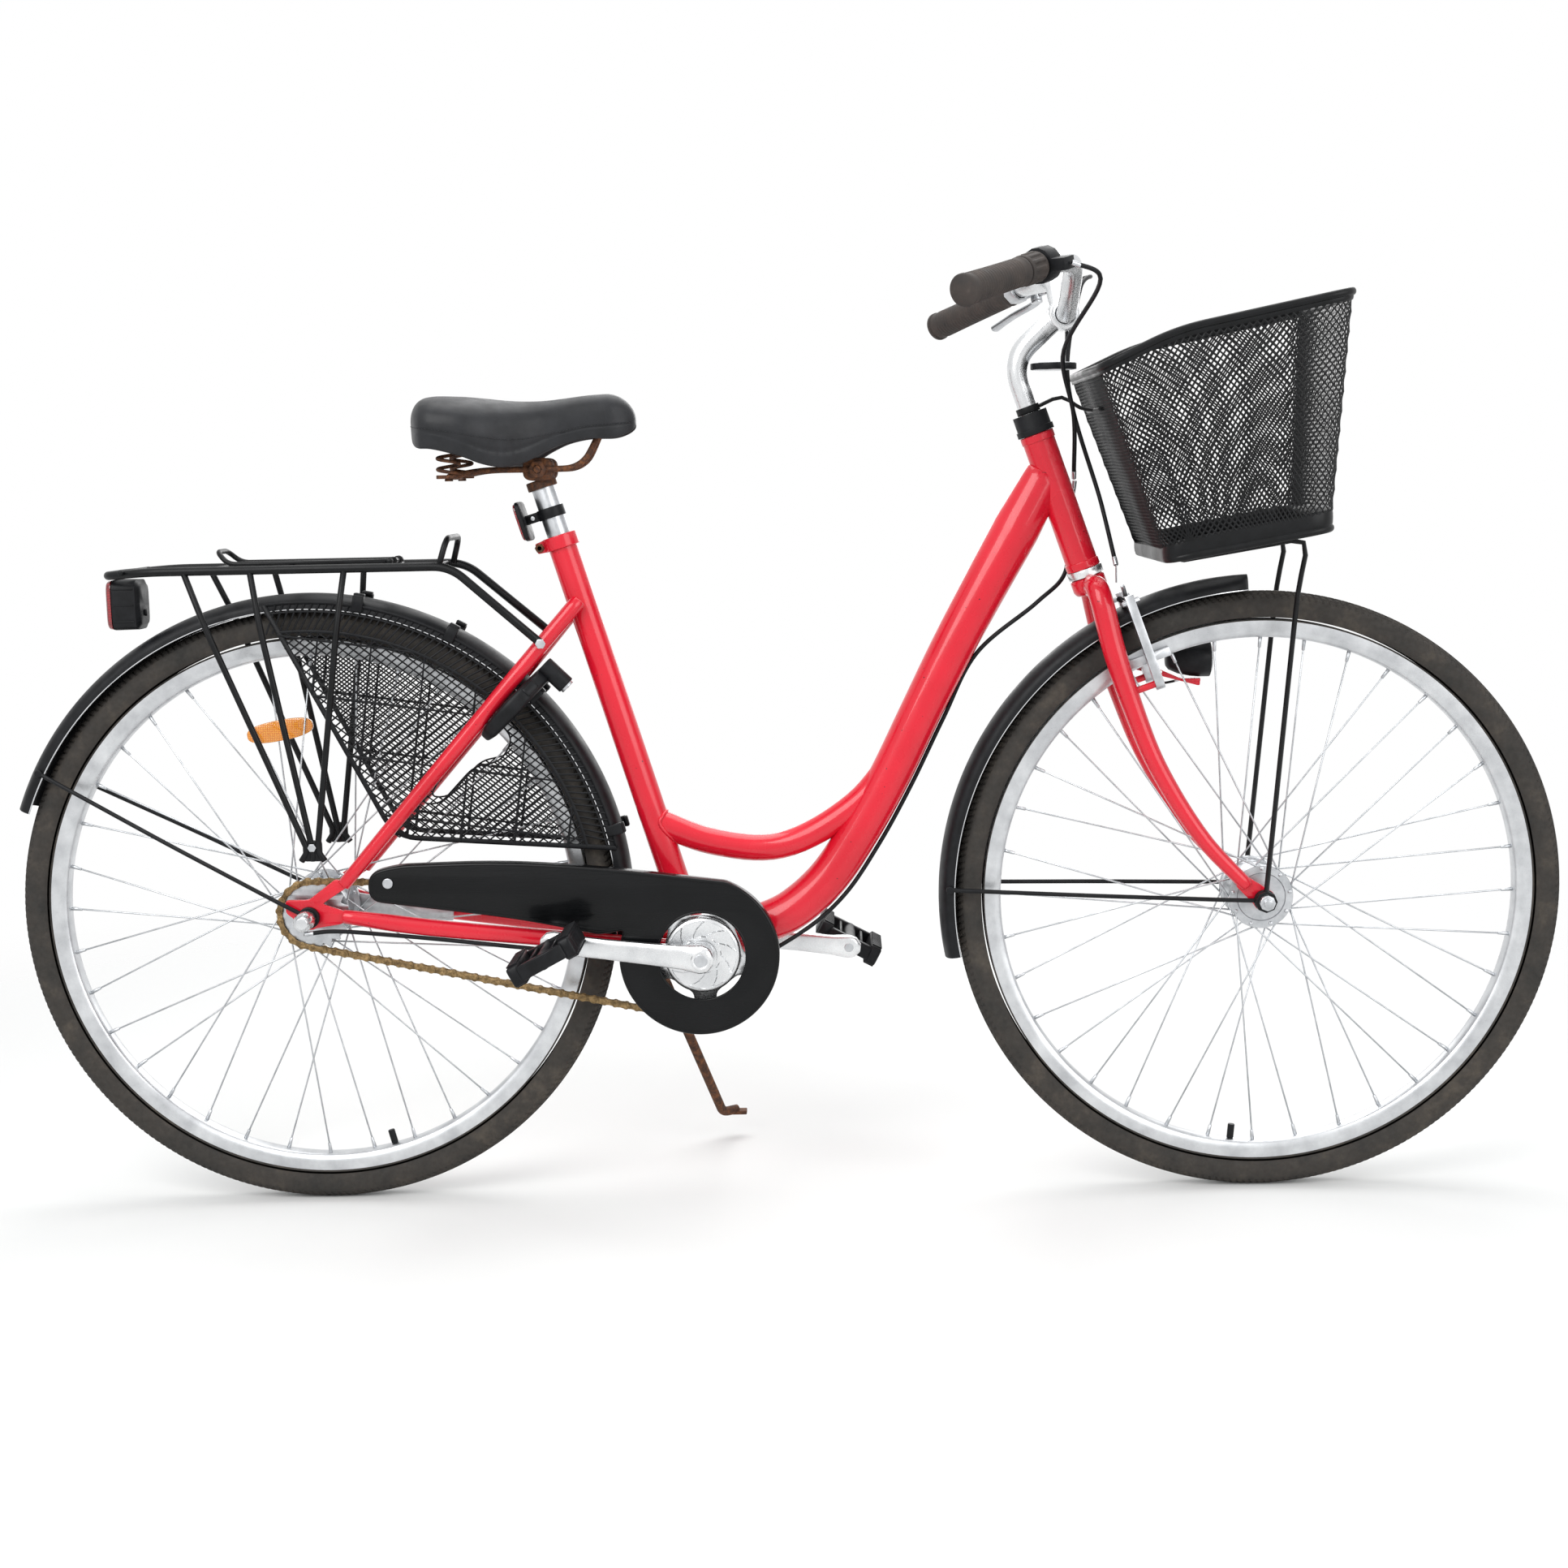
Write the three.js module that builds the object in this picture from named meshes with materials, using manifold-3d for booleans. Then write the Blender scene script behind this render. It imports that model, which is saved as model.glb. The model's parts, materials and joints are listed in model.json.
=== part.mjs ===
// A city bicycle with a deep, curved main tube, so that the rider steps through the frame.
// Millimetres. X points forwards, Y to the bicycle's left and Z up. Every place is counted from the middle
// of the rear axle, and the last lines set the whole bicycle on Z = 0 with its length centred on X = 0.
import * as THREE from "three";
import { mergeVertices } from "three/addons/utils/BufferGeometryUtils.js";
import Module from "manifold-3d";

const wasm = await Module();
wasm.setup();

// Clearances between pieces, and the overrun of a cut past the face it opens.
const seatGap = 0.3;
const runningGap = 0.8;
const overrun = 5;
const mergeStep = 0.001;

// Wheels
const rim = { edgeRadius: 317, depth: 21, wellDepth: 8, halfWidth: 12.5, wall: 1.8, innerHalfWidth: 9 };
const rimInnerRadius = rim.edgeRadius - rim.depth;
const rimWellRadius = rim.edgeRadius - rim.wellDepth;
const tyre = { height: 32, halfWidth: 19, treadHalfWidth: 9, wall: 3, crown: 11 };
const wheelRadius = rim.edgeRadius + tyre.height;
const wheelSegments = 32;
const spoke = { radius: 1, count: 36, crossPitches: 6, headIn: 4, headY: 2.3, rimY: 3, phaseShare: 0.95 };
const valve = { radius: 4, length: 34, frontAngle: -95.5, rearAngle: -75.5 };
const axleRadius = 5;
const axleNut = { radius: 9, length: 8, tail: 4 };
const frontHub = { flangeRadius: 37, flangeY: 29, flangeWall: 6.6, shellRadius: 31, endY: 42, endRadius: 11 };
const rearHub = { flangeRadius: 40, flangeY: 27, flangeWall: 6.6, shellRadius: 30, endY: 34, endRadius: 22 };
const wheelReflector = { angle: 100, y: 5, rimGap: 83, length: 78, height: 24, thickness: 6 };
const mudguard = { gap: 19, depth: 17, halfWidth: 27, wall: 1.6, flat: 15 };
const guardRadius = wheelRadius + mudguard.gap;

// Frame
const bottomBracket = { rearGap: 81, frontGap: 274, z: -53, radius: 21, halfLength: 34, boreRadius: 17.5 };
const bottomBracketX = guardRadius + bottomBracket.rearGap;
const wheelbase = bottomBracketX + bottomBracket.frontGap + guardRadius;
const seatTube = { radius: 16.5, footBack: 9, topBack: 155, guardRise: 60 };
const seatTubeTopZ = guardRadius + seatTube.guardRise;
const headTube = { radius: 18.5, boreRadius: 14.5, length: 162, setback: 198, guardRise: 10,
  leanAngle: 19.1 };
const mainTube = { radius: 24, headRadius: 27.5, topSide: 18, topDrop: 34 };
const mainTubeShares = [[0, 0], [0.174, 0.045], [0.257, 0.072], [0.365, 0.138], [0.466, 0.242], [0.559, 0.36],
  [0.655, 0.499], [0.751, 0.634], [0.841, 0.785], [0.919, 0.917], [1, 1]];
const crossTube = { radius: 15.5, seatZ: 96, sagZ: 64, mainShare: 0.425 };
const seatStay = { radius: 9, tipRadius: 8, topDrop: 74, topY: 21, shoulderY: 41, tipY: 60.5 };
const chainStay = { radius: 10, halfWidth: 8, tipRadius: 8.5, frontY: 25, tipY: 60.5 };
const dropout = { insideY: 58, thickness: 5, eyeRadius: 15, tail: 27, stayX: 40, stayZ: 36, footX: 38 };
const bridge = { radius: 6, reach: 0.3 };
const seatCollar = { wall: 3.4, height: 15, lugReach: 15, lugRadius: 7.5, lugHalfWidth: 9, slot: 2 };
const seatpost = { radius: 13.4, wall: 2.2, insertion: 110, rise: 61, boreLength: 264 };

// Steering
const steerer = { radius: 12.8, boreRadius: 11.5, proud: 16 };
const lowerCup = { radius: 20.5, height: 9 };
const headsetCover = { radius: 20, height: 24, lipRadius: 21.5, lipHeight: 7 };
const fork = { crownDrop: 20, crownRadius: 20, crownHalfHeight: 9, bladeY: 48.5, tipY: 52.5, bladeRadius: 13,
  tipRadius: 8 };
const forkShares = [[0.03, 0.985], [0.115, 0.8], [0.225, 0.62], [0.37, 0.43], [0.635, 0.2], [0.9, 0.045]];
const crownSpreadShare = 0.8;
const forkTip = { insideY: 50, thickness: 5, radius: 13, reach: 36 };
const quill = { radius: 11.1, neckRadius: 13, bendRadius: 42, insertion: 60, bend: 87, reach: 73, rise: 114,
  clampRadius: 18, clampHalfWidth: 21 };
const bar = { radius: 11.1, reach: 30, neckY: 70, neckRise: 20, topY: 116, topRise: 45, topBack: 2 };
const barBend = { y: 142, rise: 46, back: 12, straightY: 165, straightRise: 43, straightBack: 34 };
const barEnd = { y: 289, back: 127, rise: 8 };
const grip = { radius: 15.5, endRadius: 17, length: 132, endCap: 4 };
const shifter = { radius: 19, length: 20, pod: 13, podReach: 27, twistRadius: 17, twistLength: 30 };
const brakeLever = { clampFrom: 2, cheek: 2.5, pinRadius: 2.5, tipDrop: 10, clampRadius: 16, clampLength: 14,
  reach: 30, drop: 8, pivotRadius: 7, length: 96, width: 13, thickness: 8 };
const cable = { radius: 2.6, wireRadius: 1.2 };
const brakeArm = { pivotSetback: 123, rimDrop: 69, y: 44, bossRadius: 4, bossLength: 36, thickness: 10,
  width: 15 };
const brakeReach = { topRise: 104, topY: 40, topHalfWidth: 5.25, padRise: 27, padLength: 52, padHeight: 10,
  padGap: 1.1, padDepth: 9 };
const noodle = { radius: 2.6, rise: 9, reach: 46, holderRadius: 3 };

// Drive
const chainPitch = 12.7;
const chain = { lineY: -45, halfGap: 1.9, plate: 1.3, halfHeight: 4.3, waist: 3.1, rollerRadius: 3.4,
  teethFree: 3, upperSteps: 9, lowerSteps: 2 };
const ring = { teeth: 38, thickness: 2.2, boltRadius: 30 };
const sprocket = { teeth: 19, thickness: 2.2, bossRadius: 17, bossLength: 9 };
const toothHeight = 4.2;
const crank = { length: 170, y: 77, thickness: 13, hubRadius: 17, hubHalf: 12, width: 25, tipRadius: 14,
  axleRadius: 8, tiltAngle: 7 };
const crankDisc = { radius: 44, thickness: 3, y: -53, boss: 1.4 };
const pedal = { innerY: 92, width: 88, halfLength: 40, halfHeight: 13, barrelRadius: 9.4, endHeight: 19.5,
  axleRadius: 5.5, bar: 15, tiltAngle: 28 };
const guardPlate = { y: -64, thickness: 2, lip: 15, radius: 92, window: 51, shift: 3, tailX: 69, tailZ: 50,
  noseZ: 44, startAngle: -200, endAngle: 70 };
const guardEdge = { crown: 17, tailRun: 34, tailDrop: 33, lowerMid: -6, lowerFront: -26, mouthX: 86,
  mouthZ: 9,
  mouthDrop: 74 };

// Mudguards
const frontGuard = { startAngle: 92, endAngle: 191, stayAngle: 178, steps: 9 };
const rearGuard = { startAngle: -6.5, endAngle: 160, stayAngle: 152, steps: 14 };
const guardTipShare = 0.35;
const stayBendShare = 0.5;
const wireRadius = 2.5;
const eye = { radius: 12.5, thickness: 6.4, overlap: 2.4, holeSides: 8 };

// Kickstand
const stand = { plateBack: 54, plateHalf: 22, plateThickness: 5, dropZ: -78, y: 40, legRadius: 6,
  pivotRadius: 11,
  eyeHalf: 6.5, pinRadius: 4 };
const standFoot = { bendOut: 59, bendY: 200, footOut: 77, footY: 214, lift: 31, halfWidth: 8 };
const standFold = { outShare: 0.12, dropShare: 0.1 };

// Rack and what hangs from it
const rack = { tailDrop: 4, radius: 5, railY: 55, deckRise: 29, frontX: 176, hoopBack: 13, hoopHeight: 31,
  hoopLean: 9, hoopRadius: 3.5, boltRadius: 4, boltReach: 7, strutRise: 47 };
const rearLight = { length: 38, halfWidth: 24, height: 58, lens: 6, guardGap: 24.5 };
const deckZ = guardRadius + rack.deckRise;
const lampTop = deckZ - rack.tailDrop - rack.radius - seatGap;
const lampFront = -Math.sqrt(guardRadius ** 2 - (lampTop - rearLight.height) ** 2) - rearLight.guardGap;
const lampRear = lampFront - rearLight.length;
const rackTailX = lampRear + rack.radius;
const strutReach = guardRadius + rack.strutRise;
const rackStay = { radius: 3.6, y: 69, topY: 55, footX: 9, footZ: 78, spread: 11, hook: 12 };
const rackStayShares = [0.24, 0.43, 0.7];
const rackCross = { radius: 3, shares: [0.06, 0.3, 0.54, 0.82, 0.95] };
const rackClip = { halfWidth: 30, length: 185, radius: 3, pivotRadius: 3.75, tipRise: 14, pivotShare: 0.82 };

// Skirt guards
const skirt = { lockRadius: 30, y: mudguard.halfWidth + seatGap, thickness: 1.8, edge: 8, pitchX: 50,
  pitchZ: 43,
  strand: 8, bandWidth: 34, ribAngle: 12.3 };
const skirtReach = { rearAngle: 97, frontAngle: 11, cornerX: 96, cornerZ: 86 };

// Ring lock
const lock = { ahead: 5, angle: 45.3, guardDrop: 33, bolt: 56, boltRadius: 4.2, wall: 8, halfDepth: 8,
  gapeAngle: 36, gripAngle: 8, knob: 3.4 };
const lockReach = guardRadius - lock.guardDrop;
const lockBarrel = { radius: 10, length: 30, y: 34 };

// Saddle
const saddle = { tailBack: 160, length: 252, rise: 102, crown: 58, halfWidth: 96, noseHalfWidth: 14, wall: 8,
  skirt: 22, channel: 4 };
const saddleTailX = bottomBracketX - seatTube.topBack - saddle.tailBack;
const saddleNoseX = saddleTailX + saddle.length;
const saddleBaseZ = seatTubeTopZ + saddle.rise;
// Along the saddle: how far, how wide, how high its middle and how high its edge.
const saddleShares = [[0, 0.55, 0.5, 0.2], [0.04, 0.82, 0.84, 0.3], [0.13, 0.98, 0.98, 0.36],
  [0.26, 1, 0.97, 0.33],
  [0.4, 0.78, 0.9, 0.26], [0.54, 0.45, 0.86, 0.2], [0.68, 0.26, 0.88, 0.26], [0.82, 0.19, 0.94, 0.38],
  [0.92, 0.13, 0.9, 0.44], [0.98, 0.04, 0.72, 0.44], [1, 0, 0.55, 0.42]];
// Over half its width: how far out, and how much of the rise from edge to middle. Under it: two places out.
const saddleOverShares = [[1, 0], [0.86, 0.62], [0.5, 0.95]];
const saddleUnderShares = [0.94, 0.86];
const saddleRail = { noseIn: 40, tailDrop: 6, radius: 3.6, y: 22, baseDrop: 27, tailY: 40 };
const saddleRailZ = saddleBaseZ - saddleRail.baseDrop;
const saddleSpring = { coilRadius: 12, wireRadius: 2.2, turns: 3, turnSteps: 8, tailIn: 44, y: 46 };
const saddleSpringX = saddleTailX + saddleSpring.tailIn;
const hubCap = { radius: 11, length: 22 };
const coasterArm = { length: 150, halfWidth: 8, thickness: 3 };
const basketBracket = { height: 8, wall: 2.2, wireRadius: 2.2, wave: 12, holdShare: 0.2, spread: 60 };
const basketStay = { radius: 3, y: 62, frontShare: 0.86, rearShare: 0.15, drop: 60, lean: 12 };
const cableLoop = { frontReach: 52, sideways: 60, rise: 14, upper: 138, upperAhead: 108, upperY: 60,
  middle: 48,
  middleAhead: 58, middleY: 36, lower: 60, lowerAhead: 44, lowerY: 12 };
const gearCable = { reach: 30, sideways: 12, upper: 70, upperAhead: 50, upperY: 60, lower: 4, lowerAhead: 44,
  lowerY: 20, splitDrop: 63, splitAhead: 25, splitY: 20, side: 45, sideY: 24.5, backY: 19.6, behindDrop: 18,
  behind: 62, footY: 32, besideShare: 0.4, plateY: 38.4, stayY: 50 };
const dynamoWire = { radius: 1.5, plugX: 13, plugOut: 6, plugZ: 20, plugDrop: 4 };
const saddleClamp = { wall: 4, halfWidth: 27, radius: 14, height: 26, length: 36, cap: 2.4,
  boltRadius: 10.5 };

// Basket
const basket = { rearSetback: 121, guardRise: 23, floorSlope: 31, depth: 179, halfWidth: 140,
  topHalfWidth: 170, wall: 2.4, rim: 4.5, band: 4.5, height: 206, topSlope: 74, rearFlare: 76, frontFlare: 14,
  kinkShare: 0.3, kinkRise: 15 };
const basketMesh = { columns: 3, rows: 2, strandShare: 0.13 };

// Lamps and reflectors
const headlight = { housingShare: 0.6, tabDrop: 9, setback: 68, rimDrop: 49, y: 62, radius: 22, length: 56,
  lens: 5, tab: 3 };
const headlightZ = rim.edgeRadius - headlight.rimDrop;
const postReflector = { behind: 34, width: 56, height: 46, thickness: 8, strapHeight: 12, strapWall: 2.2,
  along: 27 };
const frontReflector = { radius: 26, thickness: 7, drop: 57, ahead: 12, strapWidth: 12, strapWall: 3 };

// Places and turns

const point = (x, y, z) => new THREE.Vector3(x, y, z);
const mix = (from, to, share) => from + (to - from) * share;
const radians = THREE.MathUtils.degToRad;
const onCircle = (centreX, centreZ, radius, degrees) =>
  [centreX + radius * Math.cos(radians(degrees)), centreZ + radius * Math.sin(radians(degrees))];
const mirrored = (points) => points.map((p) => point(p.x, -p.y, p.z));

// Solids, joined and cut

function solid(geometry) {
  const bare = geometry.clone();
  bare.deleteAttribute("normal");
  bare.deleteAttribute("uv");
  const merged = mergeVertices(bare, mergeStep);
  return new wasm.Manifold(new wasm.Mesh({
    numProp: 3,
    vertProperties: merged.attributes.position.array,
    triVerts: new Uint32Array(merged.index.array),
  }));
}

function geometryOf(made) {
  const mesh = made.getMesh();
  const places = new Float32Array(mesh.numVert * 3);
  for (let i = 0; i < mesh.numVert; i++) {
    places.set(mesh.vertProperties.subarray(i * mesh.numProp, i * mesh.numProp + 3), i * 3);
  }
  const geometry = new THREE.BufferGeometry();
  geometry.setAttribute("position", new THREE.BufferAttribute(places, 3));
  geometry.setIndex(new THREE.BufferAttribute(new Uint32Array(mesh.triVerts), 1));
  const flat = geometry.toNonIndexed();
  flat.computeVertexNormals();
  return flat;
}

const join = (...pieces) => pieces.flat().reduce((all, piece) => all.add(piece));
const cut = (body, ...tools) => tools.flat().reduce((left, tool) => left.subtract(tool), body);
const acrossY = (piece) => piece.mirror([0, 1, 0]);

// A path whose rings fall exactly on its own points.
class BentPath extends THREE.Curve {
  constructor(points) {
    super();
    this.points = points;
  }
  getPoint(share, target = new THREE.Vector3()) {
    const place = share * (this.points.length - 1);
    const before = Math.min(Math.floor(place + 1e-6), this.points.length - 2);
    return target.lerpVectors(this.points[before], this.points[before + 1], place - before);
  }
  getPointAt(share, target) {
    return this.getPoint(share, target);
  }
  getTangentAt(share, target = new THREE.Vector3()) {
    const last = this.points.length - 1;
    const at = Math.round(share * last);
    const ahead = this.points[Math.min(at + 1, last)].clone().sub(this.points[Math.min(at, last - 1)]);
    const behind = this.points[Math.max(at, 1)].clone().sub(this.points[Math.max(at - 1, 0)]);
    return target.copy(ahead.normalize().add(behind.normalize())).normalize();
  }
}

function polygon(radius, sides, startTurn = 0.5) {
  const corner = (i) => ((i + startTurn) / sides) * Math.PI * 2;
  return Array.from({ length: sides }, (_, i) =>
    new THREE.Vector2(radius * Math.cos(corner(i)), radius * Math.sin(corner(i))));
}

// A round bar along points, and the same points with their corners rounded.
function bentBar(points, radius, sides = 8) {
  const section = new THREE.Shape(polygon(radius, sides));
  const extrudePath = new BentPath(points);
  return solid(new THREE.ExtrudeGeometry(section, { steps: points.length - 1, extrudePath }));
}

function rounded(points, radius, steps = 3) {
  const path = [points[0]];
  for (let i = 1; i < points.length - 1; i++) {
    const back = points[i - 1].clone().sub(points[i]);
    const on = points[i + 1].clone().sub(points[i]);
    const reach = Math.min(radius, back.length() / 2.2, on.length() / 2.2);
    const from = points[i].clone().addScaledVector(back.normalize(), reach);
    const to = points[i].clone().addScaledVector(on.normalize(), reach);
    const curve = new THREE.QuadraticBezierCurve3(from, points[i], to);
    path.push(...curve.getPoints(steps));
  }
  path.push(points[points.length - 1]);
  return path;
}

const smoothed = (points, steps) => new THREE.CatmullRomCurve3(points, false, "centripetal").getPoints(steps);

// Rings of points joined into one skin; open rows get end faces, a closed row meets its own start.
function loft(rings, closed = false) {
  const sides = rings[0].length;
  const places = rings.flat();
  const faces = [];
  const rows = closed ? rings.length : rings.length - 1;
  for (let row = 0; row < rows; row++) {
    const next = (row + 1) % rings.length;
    for (let i = 0; i < sides; i++) {
      const j = (i + 1) % sides;
      faces.push(row * sides + i, row * sides + j, next * sides + j);
      faces.push(row * sides + i, next * sides + j, next * sides + i);
    }
  }
  if (!closed) {
    const flatten = (ring) => {
      const side = ring[1].clone().sub(ring[0]).normalize();
      const normal = point(0, 0, 0);
      ring.forEach((p, i) => normal.add(p.clone().cross(ring[(i + 1) % sides])));
      const up = normal.normalize().clone().cross(side);
      return ring.map((p) => new THREE.Vector2(p.dot(side), p.dot(up)));
    };
    for (const [a, b, c] of THREE.ShapeUtils.triangulateShape(flatten(rings[0]), [])) faces.push(c, b, a);
    const end = (rings.length - 1) * sides;
    for (const [a, b, c] of THREE.ShapeUtils.triangulateShape(flatten(rings[rings.length - 1]), [])) {
      faces.push(end + a, end + b, end + c);
    }
  }
  const geometry = new THREE.BufferGeometry().setFromPoints(places);
  geometry.setIndex(faces);
  const made = solid(geometry);
  if (made.volume() > 0) return made;
  geometry.setIndex(faces.reverse());
  return solid(geometry);
}

// A tube along points whose rings have their own half sizes: across, and along Y.
function taperedTube(points, sizes, sides = 8) {
  const path = new BentPath(points);
  const rings = points.map((p, i) => {
    const along = path.getTangentAt(i / (points.length - 1));
    const across = point(-along.z, 0, along.x).normalize();
    const sideways = along.clone().cross(across).normalize();
    const [flat, deep] = Array.isArray(sizes[i]) ? sizes[i] : [sizes[i], sizes[i]];
    return polygon(1, sides).map((c) =>
      p.clone().addScaledVector(across, c.x * flat).addScaledVector(sideways, c.y * deep));
  });
  return loft(rings);
}

// Turned round the Y axis at a place: [radius, y] points, closed on themselves or ending on the axis.
function turned(profile, x = 0, z = 0, segments = 24) {
  const points = profile.map(([radius, y]) => new THREE.Vector2(radius, y));
  if (points[0].x > 0) points.push(points[0].clone());
  const made = solid(new THREE.LatheGeometry(points, segments).translate(x, 0, z));
  if (made.volume() > 0) return made;
  points.reverse();
  return solid(new THREE.LatheGeometry(points, segments).translate(x, 0, z));
}

const roundBar = (x, z, fromY, toY, radius, segments = 12) =>
  turned([[0, fromY], [radius, fromY], [radius, toY], [0, toY]], x, z, segments);

// A flat outline in X and Z, as thick as the way from one Y to the other.
function plate(outline, fromY, toY, holes = []) {
  const shape = new THREE.Shape(outline.map(([x, z]) => new THREE.Vector2(x, z)));
  shape.holes = holes.map((hole) => new THREE.Path(hole.map(([x, z]) => new THREE.Vector2(x, z))));
  const depth = Math.abs(toY - fromY);
  const geometry = new THREE.ExtrudeGeometry(shape, { depth, bevelEnabled: false });
  return solid(geometry.rotateX(Math.PI / 2).translate(0, Math.max(fromY, toY), 0));
}

const circleOutline = (x, z, radius, steps, start = 0) =>
  Array.from({ length: steps }, (_, i) => onCircle(x, z, radius, start + (360 * i) / steps));
const arcOutline = (x, z, radius, from, to, steps) =>
  Array.from({ length: steps + 1 }, (_, i) => onCircle(x, z, radius, mix(from, to, i / steps)));

// A box set by its middle and its sizes, turned so that its X runs along one way and its Z leans to another.
function block(middle, sizeX, sizeY, sizeZ, alongX = point(1, 0, 0), towardsZ = point(0, 0, 1)) {
  const x = alongX.clone().normalize();
  const y = towardsZ.clone().cross(x).normalize();
  const z = x.clone().cross(y);
  const turn = new THREE.Matrix4().makeBasis(x, y, z).setPosition(middle);
  return solid(new THREE.BoxGeometry(sizeX, sizeY, sizeZ).applyMatrix4(turn));
}

const rod = (from, to, radius, sides = 8) => bentBar([from, to], radius, sides);

// A bore: its flat facets, not its corners, lie at the radius.
const bore = (from, to, radius, sides = 12) => rod(from, to, radius / Math.cos(Math.PI / sides), sides);

// A flat outline of [y, rise] points about an origin, where the rise runs along one way in the X and Z plane.
// Its thickness runs forwards, square to that plane.
function upright(outline, origin, up, from, to, holes = []) {
  const shape = new THREE.Shape(outline.map(([y, rise]) => new THREE.Vector2(y, rise)));
  shape.holes = holes.map((hole) => new THREE.Path(hole.map(([y, rise]) => new THREE.Vector2(y, rise))));
  const ahead = point(up.z, 0, -up.x);
  const turn = new THREE.Matrix4().makeBasis(point(0, 1, 0), up, ahead);
  turn.setPosition(origin.clone().addScaledVector(ahead, from));
  return solid(new THREE.ExtrudeGeometry(shape,
    { depth: to - from, bevelEnabled: false }).applyMatrix4(turn));
}

// Main lines of the bicycle

const crankCentre = point(bottomBracketX, 0, bottomBracket.z);
const headBottom = point(wheelbase - headTube.setback, 0, guardRadius + headTube.guardRise);
const steeringUp = point(-Math.sin(radians(headTube.leanAngle)), 0, Math.cos(radians(headTube.leanAngle)));
const steeringAhead = point(steeringUp.z, 0, -steeringUp.x);
const onSteering = (along, ahead = 0, left = 0) =>
  headBottom.clone().addScaledVector(steeringUp, along).addScaledVector(steeringAhead, ahead).setY(left);
const headTop = onSteering(headTube.length);
const seatTubeTop = point(bottomBracketX - seatTube.topBack, 0, seatTubeTopZ);
const seatTubeFoot = point(bottomBracketX - seatTube.footBack, 0, bottomBracket.z);
const seatUp = seatTubeTop.clone().sub(seatTubeFoot).normalize();
const seatAhead = point(seatUp.z, 0, -seatUp.x);
const onSeatTube = (z, left = 0) =>
  seatTubeFoot.clone().addScaledVector(seatUp, (z - seatTubeFoot.z) / seatUp.z).setY(left);
const fromSeatTop = (along, ahead = 0, left = 0) =>
  seatTubeTop.clone().addScaledVector(seatUp, along).addScaledVector(seatAhead, ahead).setY(left);

const mainTubeTop = onSteering(headTube.length - mainTube.topDrop, -mainTube.topSide / 2);
const onMainTube = ([alongShare, riseShare]) =>
  point(mix(crankCentre.x, mainTubeTop.x, alongShare), 0, mix(crankCentre.z, mainTubeTop.z, riseShare));
const mainTubeLine = mainTubeShares.map(onMainTube);

// The line of a stay on the left side.
const stayTop = onSeatTube(seatTubeTopZ - seatStay.topDrop, seatStay.topY);
const stayTip = point(dropout.stayX, seatStay.tipY, dropout.stayZ);
const seatStayLine = [
  stayTop,
  stayTop.clone().lerp(stayTip, 0.2).setY(seatStay.shoulderY),
  stayTop.clone().lerp(stayTip, 0.5).setY(mix(seatStay.shoulderY, seatStay.tipY, 0.4)),
  stayTip,
];
const besideGuard = mudguard.halfWidth + chainStay.halfWidth + runningGap;
const chainStayLine = [
  point(bottomBracketX - bottomBracket.radius / 2, chainStay.frontY, bottomBracket.z),
  point(guardRadius, besideGuard, bottomBracket.z * (guardRadius / bottomBracketX)),
  point(mix(bottomBracketX, 0, 0.7), mix(chainStay.frontY, chainStay.tipY, 0.8),
    mix(bottomBracket.z, 0, 0.7)),
  point(dropout.footX, chainStay.tipY, 0),
];
// The place on a line of the left side that lies at one distance from the rear axle.
function atDistance(line, distance) {
  const far = (p) => Math.hypot(p.x, p.z);
  const i = line.findIndex((p, n) => n > 0 && (far(p) - distance) * (far(line[n - 1]) - distance) <= 0);
  const share = (distance - far(line[i - 1])) / (far(line[i]) - far(line[i - 1]));
  return line[i - 1].clone().lerp(line[i], share);
}

// Frame, in one welded piece

function dropoutPlate() {
  const { insideY, thickness, eyeRadius, tail } = dropout;
  const outline = [
    ...arcOutline(0, 0, eyeRadius, 200, 300, 4),
    [dropout.footX, -chainStay.tipRadius],
    [dropout.footX + chainStay.tipRadius, chainStay.tipRadius / 2],
    [eyeRadius, eyeRadius],
    [dropout.stayX + seatStay.tipRadius, dropout.stayZ],
    [dropout.stayX - seatStay.tipRadius, dropout.stayZ + seatStay.tipRadius],
    [0, eyeRadius + axleRadius],
    [-tail, eyeRadius + axleRadius],
    [-tail, axleRadius],
  ];
  return plate(outline, insideY, insideY + thickness, [circleOutline(0, 0, axleRadius + runningGap, 8)]);
}

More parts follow.
